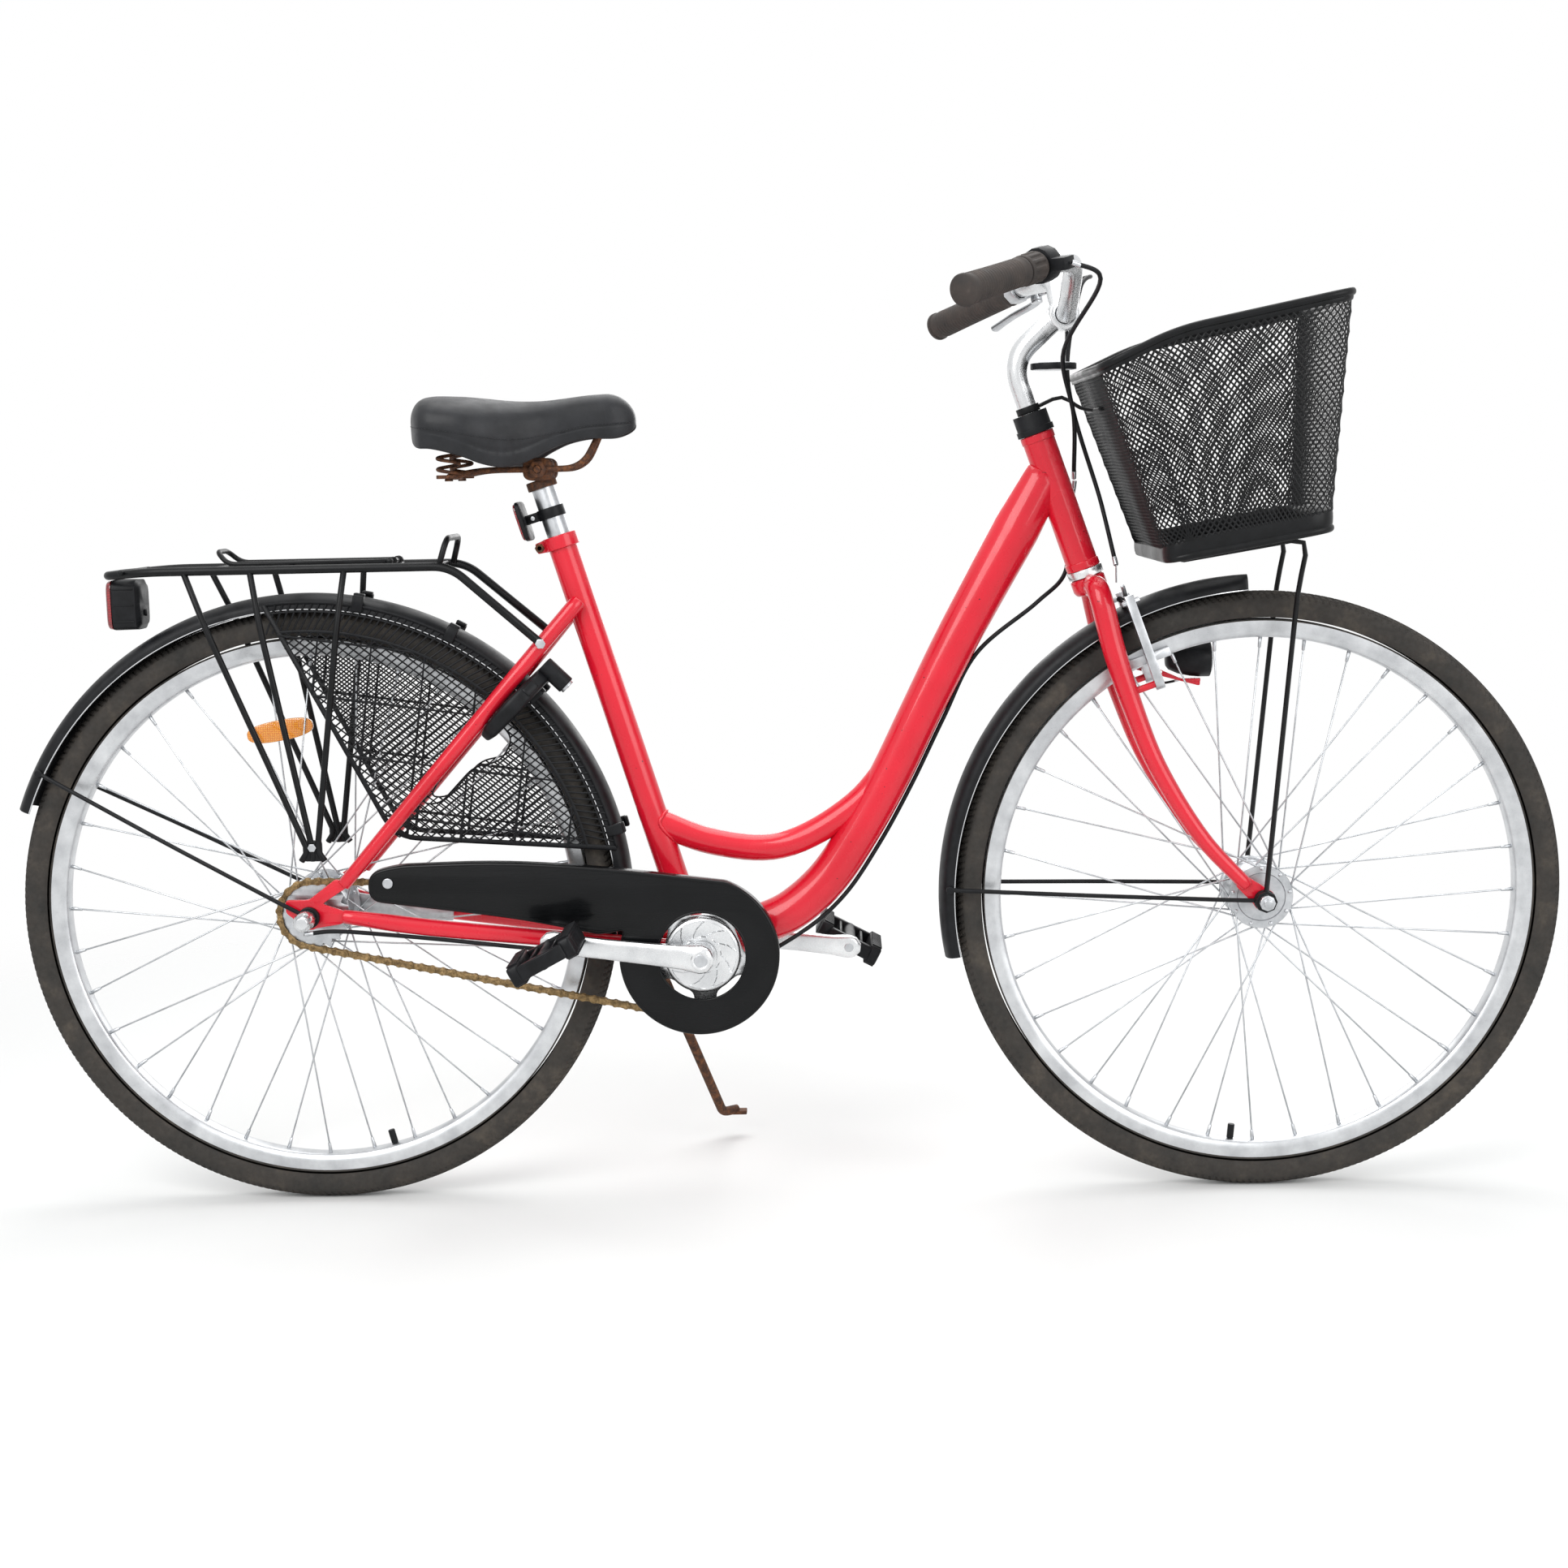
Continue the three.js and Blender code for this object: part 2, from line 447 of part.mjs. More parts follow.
function makeFrame() {
  const stays = [
    taperedTube(seatStayLine, [seatStay.radius, seatStay.radius, seatStay.radius, seatStay.tipRadius]),
    taperedTube(chainStayLine, [
      [chainStay.radius, chainStay.halfWidth], [chainStay.radius, chainStay.halfWidth],
      [chainStay.radius, chainStay.halfWidth], chainStay.tipRadius,
    ]),
    dropoutPlate(),
  ];
  const tubeSizes = mainTubeShares.map(([, rise], i) => {
    const flare = Math.max(0, rise - 0.5) * 2;
    const wide = mix(mainTube.radius, mainTube.headRadius, flare);
    return i === mainTubeShares.length - 1 ? [mainTube.topSide, mainTube.topSide] : [wide, mainTube.radius];
  });
  const crossEnd = atHeight(mainTubeLine, crossTube.mainShare);
  const crossStart = onSeatTube(crossTube.seatZ);
  const crossLine = smoothed([
    crossStart,
    point(mix(crossStart.x, crossEnd.x, 0.22), 0, mix(crossStart.z, crossTube.sagZ, 0.8)),
    point(mix(crossStart.x, crossEnd.x, 0.5), 0, crossTube.sagZ),
    point(mix(crossStart.x, crossEnd.x, 0.8), 0, mix(crossTube.sagZ, crossEnd.z, 0.4)),
    crossEnd,
  ], 6);
  const guardBridge = atDistance(seatStayLine, guardRadius + seatGap + bridge.radius);
  const footBridge = atDistance(chainStayLine, guardRadius + seatGap + bridge.radius);
  const tubes = join(
    taperedTube(mainTubeLine, tubeSizes, 10),
    rod(seatTubeFoot, seatTubeTop, seatTube.radius, 14),
    rod(headBottom, headTop, headTube.radius, 14),
    roundBar(crankCentre.x, crankCentre.z, -bottomBracket.halfLength, bottomBracket.halfLength,
      bottomBracket.radius, 16),
    bentBar(crossLine, crossTube.radius, 8),
    stays,
    stays.map(acrossY),
    rod(guardBridge, mirrored([guardBridge])[0], bridge.radius, 8),
    rod(footBridge, mirrored([footBridge])[0], bridge.radius, 8),
  );
  return cut(
    tubes,
    bore(fromSeatTop(-seatpost.boreLength), fromSeatTop(overrun), seatpost.radius + seatGap, 14),
    bore(onSteering(-overrun), onSteering(headTube.length + overrun), headTube.boreRadius, 14),
    roundBar(crankCentre.x, crankCentre.z, -bottomBracket.halfLength - overrun,
      bottomBracket.halfLength + overrun, bottomBracket.boreRadius, 16),
  );
}

// The place along a line where its rise reaches a share of the whole rise.
function atHeight(line, riseShare) {
  const z = mix(line[0].z, line[line.length - 1].z, riseShare);
  const i = line.findIndex((p, n) => n > 0 && p.z >= z);
  return line[i - 1].clone().lerp(line[i], (z - line[i - 1].z) / (line[i].z - line[i - 1].z));
}

const group = new THREE.Group();

function add(name, made, finish) {
  const [color, roughness, metalness] = finish;
  const material = new THREE.MeshStandardMaterial({ color, roughness, metalness });
  const mesh = new THREE.Mesh(geometryOf(made), material);
  mesh.name = name;
  group.add(mesh);
}

const redPaint = [0xc8142a, 0.25, 0.1];
const blackPlastic = [0x1a1b1d, 0.55, 0];
const glossBlack = [0x0f1012, 0.2, 0];
const blackPaint = [0x161718, 0.4, 0.1];
const polished = [0xd4d6d9, 0.22, 0.9];
const zinc = [0xb9bcc0, 0.4, 0.85];
const rusty = [0x6b4630, 0.85, 0.3];
const rubber = [0x2a2826, 0.9, 0];
const gripRubber = [0x3a322b, 0.85, 0];
const vinyl = [0x202124, 0.5, 0];
const redLens = [0xb01020, 0.2, 0];
const amberLens = [0xd9861a, 0.25, 0];
const rustyChain = [0x9a7a52, 0.7, 0.5];

add("frame", makeFrame(), redPaint);

// Bottom bracket, seat collar and seatpost

function makeCartridge() {
  const { halfLength, boreRadius } = bottomBracket;
  const { x, z } = crankCentre;
  return cut(
    roundBar(x, z, -halfLength, halfLength, boreRadius - seatGap, 16),
    roundBar(x, z, -halfLength - overrun, halfLength + overrun, crank.axleRadius + runningGap, 12),
  );
}

function makeSeatCollar() {
  const inside = seatTube.radius + seatGap;
  const outside = inside + seatCollar.wall;
  const { height, lugReach, lugRadius, lugHalfWidth } = seatCollar;
  const lugFrom = fromSeatTop(-height / 2, -outside - lugReach / 3, -lugHalfWidth);
  const lugTo = lugFrom.clone().setY(lugHalfWidth);
  const slotMiddle = fromSeatTop(-height / 2, -inside - seatCollar.wall / 2);
  const slot = block(slotMiddle, seatCollar.wall * 2, seatCollar.slot, height * 2, seatAhead, seatUp);
  const ring = join(
    rod(fromSeatTop(-height), fromSeatTop(0), outside, 14),
    rod(lugFrom, lugTo, lugRadius, 10),
  );
  return cut(ring, bore(fromSeatTop(-height - overrun), fromSeatTop(overrun), inside, 14), slot);
}

const topAlong = seatpost.rise / seatUp.z;
const clampTop = fromSeatTop(topAlong);

function makeSeatpost() {
  const { radius, wall, insertion } = seatpost;
  return cut(
    rod(fromSeatTop(-insertion), fromSeatTop(topAlong), radius, 14),
    rod(fromSeatTop(-insertion - overrun), fromSeatTop(topAlong - wall * 3), radius - wall, 10),
  );
}

add("bottom_bracket_cartridge", makeCartridge(), zinc);
add("seat_collar", makeSeatCollar(), rusty);
add("seatpost", makeSeatpost(), zinc);

// Headset

add("headset_lower_cup", cut(
  rod(onSteering(-lowerCup.height), onSteering(-seatGap), lowerCup.radius, 16),
  bore(onSteering(-lowerCup.height - overrun), onSteering(overrun), headTube.boreRadius, 14),
), polished);
add("headset_cover", cut(
  taperedTube(
    [seatGap, headsetCover.lipHeight, headsetCover.lipHeight + seatGap, headsetCover.height]
      .map((along) => onSteering(headTube.length + along)),
    [headsetCover.lipRadius, headsetCover.lipRadius, headsetCover.radius, headsetCover.radius],
    14,
  ),
  bore(onSteering(headTube.length - overrun), onSteering(headTube.length + headsetCover.height + overrun),
    steerer.radius + seatGap, 14),
), blackPlastic);

// Fork

const frontAxle = point(wheelbase, 0, 0);
const crownCentre = onSteering(-fork.crownDrop);
const onFork = ([alongShare, riseShare], left) =>
  point(mix(crownCentre.x, frontAxle.x, alongShare), left, crownCentre.z * riseShare);
const bladeLine = forkShares.map((share, i) =>
  onFork(share, mix(fork.bladeY, fork.tipY, Math.max(0, i - 1) / (forkShares.length - 2))));

// The red tab of the left blade that carries the lamp.
function makeLampTab() {
  const { setback, y, radius, tab, tabDrop } = headlight;
  const x = wheelbase - setback;
  const top = headlightZ - radius - seatGap * 4;
  const grip = bladeLine[1].clone().lerp(bladeLine[2], 0.2);
  const arm = plate([
    [grip.x, grip.z - tabDrop], [grip.x, grip.z + tabDrop],
    [x - radius / 2, top], [x + radius / 2, top], [x + radius / 2, top - tabDrop],
  ], grip.y + tab, grip.y + tab * 2);
  const shelf = block(point(x, mix(grip.y, y, 0.5), top - tab / 2), radius, y - grip.y + tab * 2, tab);
  return join(arm, shelf);
}

function makeFork() {
  const last = bladeLine.length - 1;
  const blade = taperedTube(
    [crownCentre.clone(), bladeLine[0].clone().setY(fork.bladeY * crownSpreadShare), ...bladeLine.slice(1)],
    [fork.bladeRadius, fork.bladeRadius, ...bladeLine.slice(1).map((_, i) =>
      mix(fork.bladeRadius, fork.tipRadius, i / (last - 1)))],
  );
  const { insideY, thickness, radius, reach } = forkTip;
  const end = bladeLine[last];
  const away = point(end.x - frontAxle.x, 0, end.z).normalize();
  const side = point(-away.z, 0, away.x);
  const corner = (along, across) => {
    const p = frontAxle.clone().addScaledVector(away, along).addScaledVector(side, across);
    return [p.x, p.z];
  };
  const tip = plate([
    ...arcOutline(frontAxle.x, frontAxle.z, radius, -45, 45, 4),
    corner(reach, -fork.tipRadius),
    corner(reach, fork.tipRadius),
    ...arcOutline(frontAxle.x, frontAxle.z, radius, 200, 270, 2),
  ], insideY, insideY + thickness, [circleOutline(frontAxle.x, frontAxle.z, axleRadius + runningGap, 8)]);
  const bossEnd = brakePivot(seatGap * 2 + brakeArm.thickness);
  const boss = rod(brakePivot(-brakeArm.bossLength), bossEnd, brakeArm.bossRadius, 6);
  const sides = [blade, tip, boss];
  const bottom = -fork.crownDrop - fork.crownHalfHeight;
  const top = headTube.length + steerer.proud;
  return cut(
    join(
      rod(onSteering(bottom), onSteering(-lowerCup.height - seatGap), fork.crownRadius, 12),
      rod(onSteering(-fork.crownDrop), onSteering(top), steerer.radius, 14),
      sides,
      sides.map(acrossY),
      makeLampTab(),
    ),
    bore(onSteering(-fork.crownDrop + fork.crownHalfHeight), onSteering(top + overrun), steerer.boreRadius,
      14),
  );
}

add("fork", makeFork(), redPaint);

// Front brake: two arms that turn on pins of the fork and press their pads on the rim.

function brakePivot(ahead) {
  return point(wheelbase - brakeArm.pivotSetback, brakeArm.y, rim.edgeRadius - brakeArm.rimDrop)
    .addScaledVector(steeringAhead, ahead);
}

function makeBrakeArm(withNoodle) {
  const { y, bossRadius, thickness, width } = brakeArm;
  const { topRise, topY, topHalfWidth, padRise, padLength, padHeight, padGap, padDepth } = brakeReach;
  const origin = brakePivot(0);
  const half = width / 2;
  const top = topY - y;
  const outline = [
    ...arcOutline(0, 0, half, 180, 360, 4),
    [half, padRise],
    [top + topHalfWidth, topRise],
    [top - topHalfWidth, topRise],
    [-half, padRise],
  ];
  const hole = circleOutline(0, 0, bossRadius + runningGap, 8);
  const faceY = rim.halfWidth + padGap;
  const onArm = (rise, ahead) =>
    origin.clone().addScaledVector(steeringUp, rise).addScaledVector(steeringAhead, ahead);
  const middle = onArm(padRise, thickness / 2);
  const padMiddle = middle.clone().setY(faceY + padDepth / 2);
  const pad = block(padMiddle, padLength, padDepth, padHeight, steeringAhead, steeringUp);
  const holder = rod(padMiddle, middle.clone().setY(y), noodle.holderRadius, 6);
  const head = onArm(topRise - half, thickness / 2);
  const bolt = rod(onArm(topRise - half, -thickness / 2), onArm(topRise - half, thickness * 1.5).setY(topY),
    noodle.holderRadius, 6);
  const pieces = [upright(outline, origin, steeringUp, 0, thickness, [hole]), pad, holder, bolt];
  if (withNoodle) {
    const up = (rise, left) => head.clone().setY(left).addScaledVector(steeringUp, rise);
    pieces.push(bentBar(rounded([
      up(0, topY),
      up(0, topY - noodle.reach),
      up(noodle.rise * 2, topY - noodle.reach - noodle.rise),
    ], noodle.rise, 3), noodle.radius, 6));
  }
  return join(pieces);
}

add("brake_arm_left", makeBrakeArm(true), zinc);
add("brake_arm_right", acrossY(makeBrakeArm(false)), zinc);

// Wheels: tyre, rim with its valve, and the hub with every spoke

function makeTyre(x) {
  const { halfWidth, treadHalfWidth, wall, crown } = tyre;
  const bead = rimWellRadius + wall;
  const beadHalf = rim.halfWidth - rim.wall - seatGap;
  const outside = [[bead, beadHalf], [rim.edgeRadius + seatGap, beadHalf],
    [mix(bead, wheelRadius, 0.58), halfWidth], [wheelRadius, treadHalfWidth]];
  const inside = [[bead, beadHalf - wall], [wheelRadius - crown, treadHalfWidth + wall]];
  const flip = (list) => list.map(([r, y]) => [r, -y]).reverse();
  const profile = [...flip(inside), ...flip(outside).reverse(), ...outside.slice().reverse(), ...inside];
  return turned(profile, x, 0, wheelSegments);
}

function makeRim(x, valveAngle) {
  const { edgeRadius, halfWidth, wall, innerHalfWidth } = rim;
  const side = [[edgeRadius, halfWidth - wall], [edgeRadius, halfWidth], [rimInnerRadius, innerHalfWidth]];
  const profile = [
    [rimWellRadius, halfWidth - wall],
    ...side,
    ...side.map(([r, y]) => [r, -y]).reverse(),
    [rimWellRadius, wall - halfWidth],
  ];
  const onValve = (radius) => {
    const [px, pz] = onCircle(x, 0, radius, valveAngle);
    return point(px, 0, pz);
  };
  const tip = onValve(rimWellRadius + valve.radius - valve.length);
  const stem = rod(tip, onValve(rimInnerRadius + valve.radius / 2), valve.radius, 6);
  return join(turned(profile, x, 0, wheelSegments), stem);
}

// A hub turned round the axle, with crossed spokes that end just short of the rim.
function makeSpokedHub(x, hub) {
  const { flangeRadius, flangeY, flangeWall, shellRadius, endY, endRadius } = hub;
  const profile = [
    [axleRadius + seatGap, -endY], [endRadius, -endY], [endRadius, -flangeY - flangeWall],
    [flangeRadius, -flangeY - flangeWall], [flangeRadius, -flangeY], [shellRadius, -flangeY],
  ];
  const shell = turned([...profile, ...profile.map(([r, y]) => [r, -y]).reverse()], x, 0, 10);
  const rows = Array.from({ length: spoke.count }, (_, i) => {
    const side = i % 2 ? 1 : -1;
    const lean = i % 4 < 2 ? 1 : -1;
    const rimAngle = ((i + spoke.phaseShare) * 360) / spoke.count;
    const hubAngle = rimAngle + (lean * spoke.crossPitches * 360) / spoke.count;
    const from = onCircle(x, 0, flangeRadius - spoke.headIn, hubAngle);
    const to = onCircle(x, 0, rimInnerRadius * Math.cos(Math.PI / wheelSegments) - seatGap, rimAngle);
    const headY = side * (flangeY + flangeWall / 2) + lean * spoke.headY;
    return rod(point(from[0], headY, from[1]), point(to[0], side * spoke.rimY, to[1]), spoke.radius, 3);
  });
  return rows.reduce((all, one) => all.add(one), shell);
}

add("front_tyre", makeTyre(wheelbase), rubber);
add("front_rim", makeRim(wheelbase, valve.frontAngle), zinc);
add("front_hub_and_spokes", makeSpokedHub(wheelbase, frontHub), zinc);
add("rear_tyre", makeTyre(0), rubber);
add("rear_rim", makeRim(0, valve.rearAngle), zinc);
add("rear_hub_and_spokes", makeSpokedHub(0, rearHub), zinc);

// Axles with their nuts

function makeAxle(x, stackY) {
  const nutY = stackY + axleNut.length;
  const endY = nutY + axleNut.tail;
  const half = [
    [axleRadius, stackY], [axleNut.radius, stackY], [axleNut.radius, nutY], [axleRadius, nutY],
      [axleRadius, endY],
    [0, endY],
  ];
  return turned([...half.map(([r, y]) => [r, -y]).reverse(), ...half], x, 0, 8);
}

const frontEyeY = forkTip.insideY + forkTip.thickness + seatGap;
const basketEyeY = frontEyeY + eye.thickness + seatGap;
const frontNutY = basketEyeY + eye.thickness + seatGap;
const rearEyeY = dropout.insideY + dropout.thickness + seatGap;
const rearNutY = rearEyeY + eye.thickness + seatGap;
add("front_axle", makeAxle(wheelbase, frontNutY), zinc);
add("rear_axle", makeAxle(0, rearNutY), zinc);

// Drive: cranks, chainring, sprocket, chain, guard and pedals

const pitchRadius = (teeth) => chainPitch / (2 * Math.sin(Math.PI / teeth));
const ringRadius = pitchRadius(ring.teeth);
const sprocketRadius = pitchRadius(sprocket.teeth);

// Teeth whose valleys lie on the rollers' circle, so that the first valley is at one angle.
function toothedOutline(x, z, teeth, firstValley) {
  const radius = pitchRadius(teeth);
  return Array.from({ length: teeth }, (_, i) => {
    const at = firstValley + (360 * i) / teeth;
    const step = 360 / teeth;
    return [
      onCircle(x, z, radius - chain.rollerRadius, at),
      onCircle(x, z, radius + toothHeight / 2, at + step / 2),
    ];
  }).flat();
}

function crankArm(angle, side) {
  const turn = radians(angle);
  const way = point(Math.cos(turn), 0, Math.sin(turn));
  const across = point(-way.z, 0, way.x);
  const at = (along, sideways) => {
    const p = crankCentre.clone().addScaledVector(way, along).addScaledVector(across, sideways);
    return [p.x, p.z];
  };
  const { length, y, thickness, width, hubRadius, tipRadius } = crank;
  const arc = (centre, radius, from, to) =>
    arcOutline(centre[0], centre[1], radius, angle + from, angle + to, 6);
  const outline = [
    ...arc(at(0, 0), hubRadius, 60, 300),
    at(hubRadius * 2, -width / 2),
    ...arc(at(length, 0), tipRadius, -90, 90),
    at(hubRadius * 2, width / 2),
  ];
  const [innerY, outerY] = [side * (y - thickness / 2), side * (y + thickness / 2)];
  const pedalHole = roundBar(...at(length, 0), innerY - side * overrun, outerY + side * overrun,
    pedal.axleRadius + seatGap, 12);
  return cut(plate(outline, innerY, outerY), pedalHole);
}

const nearAngle = 180 - crank.tiltAngle;
const farAngle = nearAngle + 180;
const pedalCentre = (angle) => {
  const [x, z] = onCircle(crankCentre.x, crankCentre.z, crank.length, angle);
  return point(x, 0, z);
};

function makeCrankRight() {
  const { hubRadius, axleRadius: shaft } = crank;
  const { radius, thickness, y, boss } = crankDisc;
  const toothed = plate(
    toothedOutline(crankCentre.x, crankCentre.z, ring.teeth, 90),
    chain.lineY - ring.thickness / 2,
    chain.lineY + ring.thickness / 2,
  );
  return join(
    crankArm(nearAngle, -1),
    roundBar(crankCentre.x, crankCentre.z, -crank.y - crank.thickness / 2 - boss, y, hubRadius, 14),
    roundBar(crankCentre.x, crankCentre.z, y - thickness, y, radius, 18),
    roundBar(crankCentre.x, crankCentre.z, y, chain.lineY, ring.boltRadius, 12),
    toothed,
    roundBar(crankCentre.x, crankCentre.z, chain.lineY, crank.y - crank.hubHalf - seatGap, shaft, 12),
  );
}

function makeCrankLeft() {
  const { y, thickness, hubRadius, hubHalf } = crank;
  return join(
    crankArm(farAngle, 1),
    roundBar(crankCentre.x, crankCentre.z, y - hubHalf, y + thickness / 2 + crankDisc.boss, hubRadius, 14),
  );
}

function makeSprocket() {
  const half = sprocket.thickness / 2;
  const hole = circleOutline(0, 0, axleRadius + runningGap, 8);
  return join(
    plate(toothedOutline(0, 0, sprocket.teeth, 90), chain.lineY - half, chain.lineY + half, [hole]),
    cut(
      roundBar(0, 0, chain.lineY + sprocket.bossLength, chain.lineY - sprocket.bossLength,
        sprocket.bossRadius, 12),
      roundBar(0, 0, chain.lineY + sprocket.bossLength * 2, chain.lineY - sprocket.bossLength * 2,
        axleRadius + runningGap, 8),
    ),
  );
}

// The chain's loop round both toothed wheels, at one distance outside their pitch circles.
function chainLoop(offset, waistOffset) {
  const span = Math.hypot(crankCentre.x, crankCentre.z);
  const slope = (Math.atan2(crankCentre.z, crankCentre.x) * 180) / Math.PI;
  const lean = (Math.asin((ringRadius - sprocketRadius) / span) * 180) / Math.PI;
  const topAngle = slope + 90 + lean;
  const bottomAngle = slope - 90 - lean;
  const frontTop = onCircle(crankCentre.x, crankCentre.z, ringRadius, topAngle);
  const rearTop = onCircle(0, 0, sprocketRadius, topAngle);
  const run = Math.hypot(frontTop[0] - rearTop[0], frontTop[1] - rearTop[1]);
  const links = Math.round(run / chainPitch);
  const waists = offset === waistOffset ? 0 : links * 2 - 1;
  const along = (start, end, angle) => Array.from({ length: waists }, (_, i) => {
    const share = (i + 1) / (links * 2);
    const far = i % 2 ? offset : waistOffset;
    return onCircle(mix(start[0], end[0], share), mix(start[1], end[1], share), far, angle);
  });
  const rearBottom = onCircle(0, 0, sprocketRadius, bottomAngle);
  const frontBottom = onCircle(crankCentre.x, crankCentre.z, ringRadius, bottomAngle);
  return {
    links,
    ends: { frontTop, rearTop, frontBottom, rearBottom },
    outline: [
      ...arcOutline(crankCentre.x, crankCentre.z, ringRadius + offset, bottomAngle, topAngle, ring.teeth / 2),
      ...arcOutline(0, 0, sprocketRadius + offset, topAngle, bottomAngle + 360, (sprocket.teeth + 1) / 2),
      ...along(rearBottom, frontBottom, bottomAngle),
    ],
  };
}

function makeChain() {
  const outer = chainLoop(chain.halfHeight, chain.waist);
  const inner = chainLoop(-chain.halfHeight, -chain.halfHeight);
  const from = chain.lineY - chain.halfGap - chain.plate;
  const near = plate(outer.outline, from, from + chain.plate, [inner.outline]);
  const far = near.translate([0, chain.halfGap * 2 + chain.plate, 0]);
  const { frontTop, rearTop, frontBottom, rearBottom } = outer.ends;
  const rollers = [];
  const runs = [[rearTop, frontTop, chain.upperSteps], [rearBottom, frontBottom, chain.lowerSteps]];
  for (const [start, end, step] of runs) {
    for (let link = chain.teethFree; link <= outer.links - chain.teethFree; link += step) {
      const share = link / outer.links;
      rollers.push(roundBar(mix(start[0], end[0], share), mix(start[1], end[1], share),
        chain.lineY - chain.halfGap - chain.plate / 2, chain.lineY + chain.halfGap + chain.plate / 2,
        chain.rollerRadius, 4));
    }
  }
  return join(near, far, rollers);
}

function makeChainGuard() {
  const { y, thickness, lip, radius, window, tailX, tailZ, noseZ } = guardPlate;
  const centreX = crankCentre.x - guardPlate.shift;
  const outline = (inset) => [
    ...arcOutline(centreX, crankCentre.z, radius - inset, guardPlate.startAngle, guardPlate.endAngle, 22),
    [mix(tailX, centreX, 0.7), noseZ + guardEdge.crown / 2 - inset],
    [mix(tailX, centreX, 0.4), noseZ + guardEdge.crown - inset],
    [tailX + guardEdge.tailRun, tailZ + guardEdge.crown / 2 - inset],
    [tailX + inset, tailZ - inset],
    [tailX + inset, tailZ - guardEdge.tailDrop],
    [mix(tailX, centreX, 0.45), guardEdge.lowerMid],
    [mix(tailX, centreX, 0.7), guardEdge.lowerFront],
  ];
  const shell = plate(outline(0), y, y + lip);
  const hollow = plate(outline(thickness), y + thickness, y + lip + overrun);
  const below = plate([
    [tailX - overrun, tailZ - guardEdge.tailDrop + thickness],
    [mix(tailX, centreX, 0.45), guardEdge.lowerMid + thickness],
    [mix(tailX, centreX, 0.7), guardEdge.lowerFront + thickness],
    [centreX - guardEdge.mouthX, crankCentre.z + guardEdge.mouthZ],
    [centreX - guardEdge.mouthDrop, crankCentre.z - guardEdge.mouthDrop],
    [tailX - overrun, -tailZ],
  ], y + thickness, y + lip + overrun);
  const opening = roundBar(crankCentre.x, crankCentre.z, y - overrun, y + thickness + overrun, window, 28);
  return cut(shell, hollow, below, opening);
}

function makePedal(angle, side, tilt) {
  const { innerY, width, halfLength, halfHeight, barrelRadius, endHeight, axleRadius: shaft,
    bar: thick } = pedal;
  const centre = pedalCentre(angle);
  const along = point(Math.cos(radians(tilt)), 0, Math.sin(radians(tilt)));
  const up = point(-along.z, 0, along.x);
  const at = (forward, left, rise = 0) => centre.clone()
    .addScaledVector(along, forward).addScaledVector(up, rise).setY(side * left);
  const middleY = innerY + width / 2;
  const rails = [-1, 1].map((end) =>
    block(at(end * (halfLength - thick / 2), middleY), thick, width, halfHeight * 2, along, up));
  const ends = [innerY + thick / 3, innerY + width - thick / 3].map((y) =>
    block(at(0, y), halfLength * 2 - thick, (thick * 2) / 3, endHeight, along, up));
  const shaftBar = rod(at(0, crank.y - crank.thickness / 2), at(0, innerY + width - thick / 3), shaft, 10);
  const barrel = rod(at(0, innerY + thick / 3), at(0, innerY + width - thick / 3), barrelRadius, 10);
  return join(rails, ends, shaftBar, barrel);
}

add("crank_right_and_chainring", makeCrankRight(), polished);
add("crank_left", makeCrankLeft(), polished);
add("sprocket", makeSprocket(), zinc);
add("chain", makeChain(), rustyChain);
add("chain_guard", makeChainGuard(), glossBlack);
add("pedal_right", makePedal(nearAngle, -1, pedal.tiltAngle), blackPlastic);
add("pedal_left", makePedal(farAngle, 1, -pedal.tiltAngle), blackPlastic);

// Mudguards, each with its stays ending in eyes round the axle

function guardArc(x, from, to, steps, pointed) {
  const { depth, halfWidth, wall, flat } = mudguard;
  const outside = [[guardRadius - depth, halfWidth], [guardRadius, flat], [guardRadius, -flat],
    [guardRadius - depth, -halfWidth]];
  const inside = outside.map(([r, y]) => [Math.min(r, guardRadius - wall),
    y - Math.sign(y) * wall]).reverse();
  const section = [...outside, ...inside];
  const rings = Array.from({ length: steps + 1 }, (_, i) => {
    const at = mix(from, to, i / steps);
    const narrow = pointed && i === 0 ? guardTipShare : 1;
    return section.map(([r, y]) => {
      const [px, pz] = onCircle(x, 0, r, at);
      return point(px, y * narrow, pz);
    });
  });
  return loft(rings);
}

function eyeRing(x, eyeY) {
  return plate(circleOutline(x, 0, eye.radius, eye.holeSides), eyeY, eyeY + eye.thickness,
    [circleOutline(x, 0, axleRadius + runningGap, eye.holeSides)]);
}

function guardStay(x, angle, eyeY) {
  const middleY = eyeY + eye.thickness / 2;
  const at = (distance, y) => {
    const [px, pz] = onCircle(x, 0, distance, angle);
    return point(px, y, pz);
  };
  return bentBar([
    at(guardRadius - mudguard.depth / 2, mudguard.halfWidth),
    at(guardRadius * stayBendShare, mix(mudguard.halfWidth, middleY, stayBendShare + 0.15)),
    at(eye.radius * 3, middleY),
    at(eye.radius - eye.overlap, middleY),
  ], wireRadius, 6);
}

function makeFrontMudguard() {
  const side = [eyeRing(wheelbase, frontEyeY), guardStay(wheelbase, frontGuard.stayAngle, frontEyeY)];
  const arch = guardArc(wheelbase, frontGuard.startAngle, frontGuard.endAngle, frontGuard.steps, true);
  return join(arch, side, side.map(acrossY));
}

function makeRearMudguard() {
  const side = [eyeRing(0, rearEyeY), guardStay(0, rearGuard.stayAngle, rearEyeY)];
  const arch = guardArc(0, rearGuard.startAngle, rearGuard.endAngle, rearGuard.steps, false);
  return join(arch, side, side.map(acrossY));
}

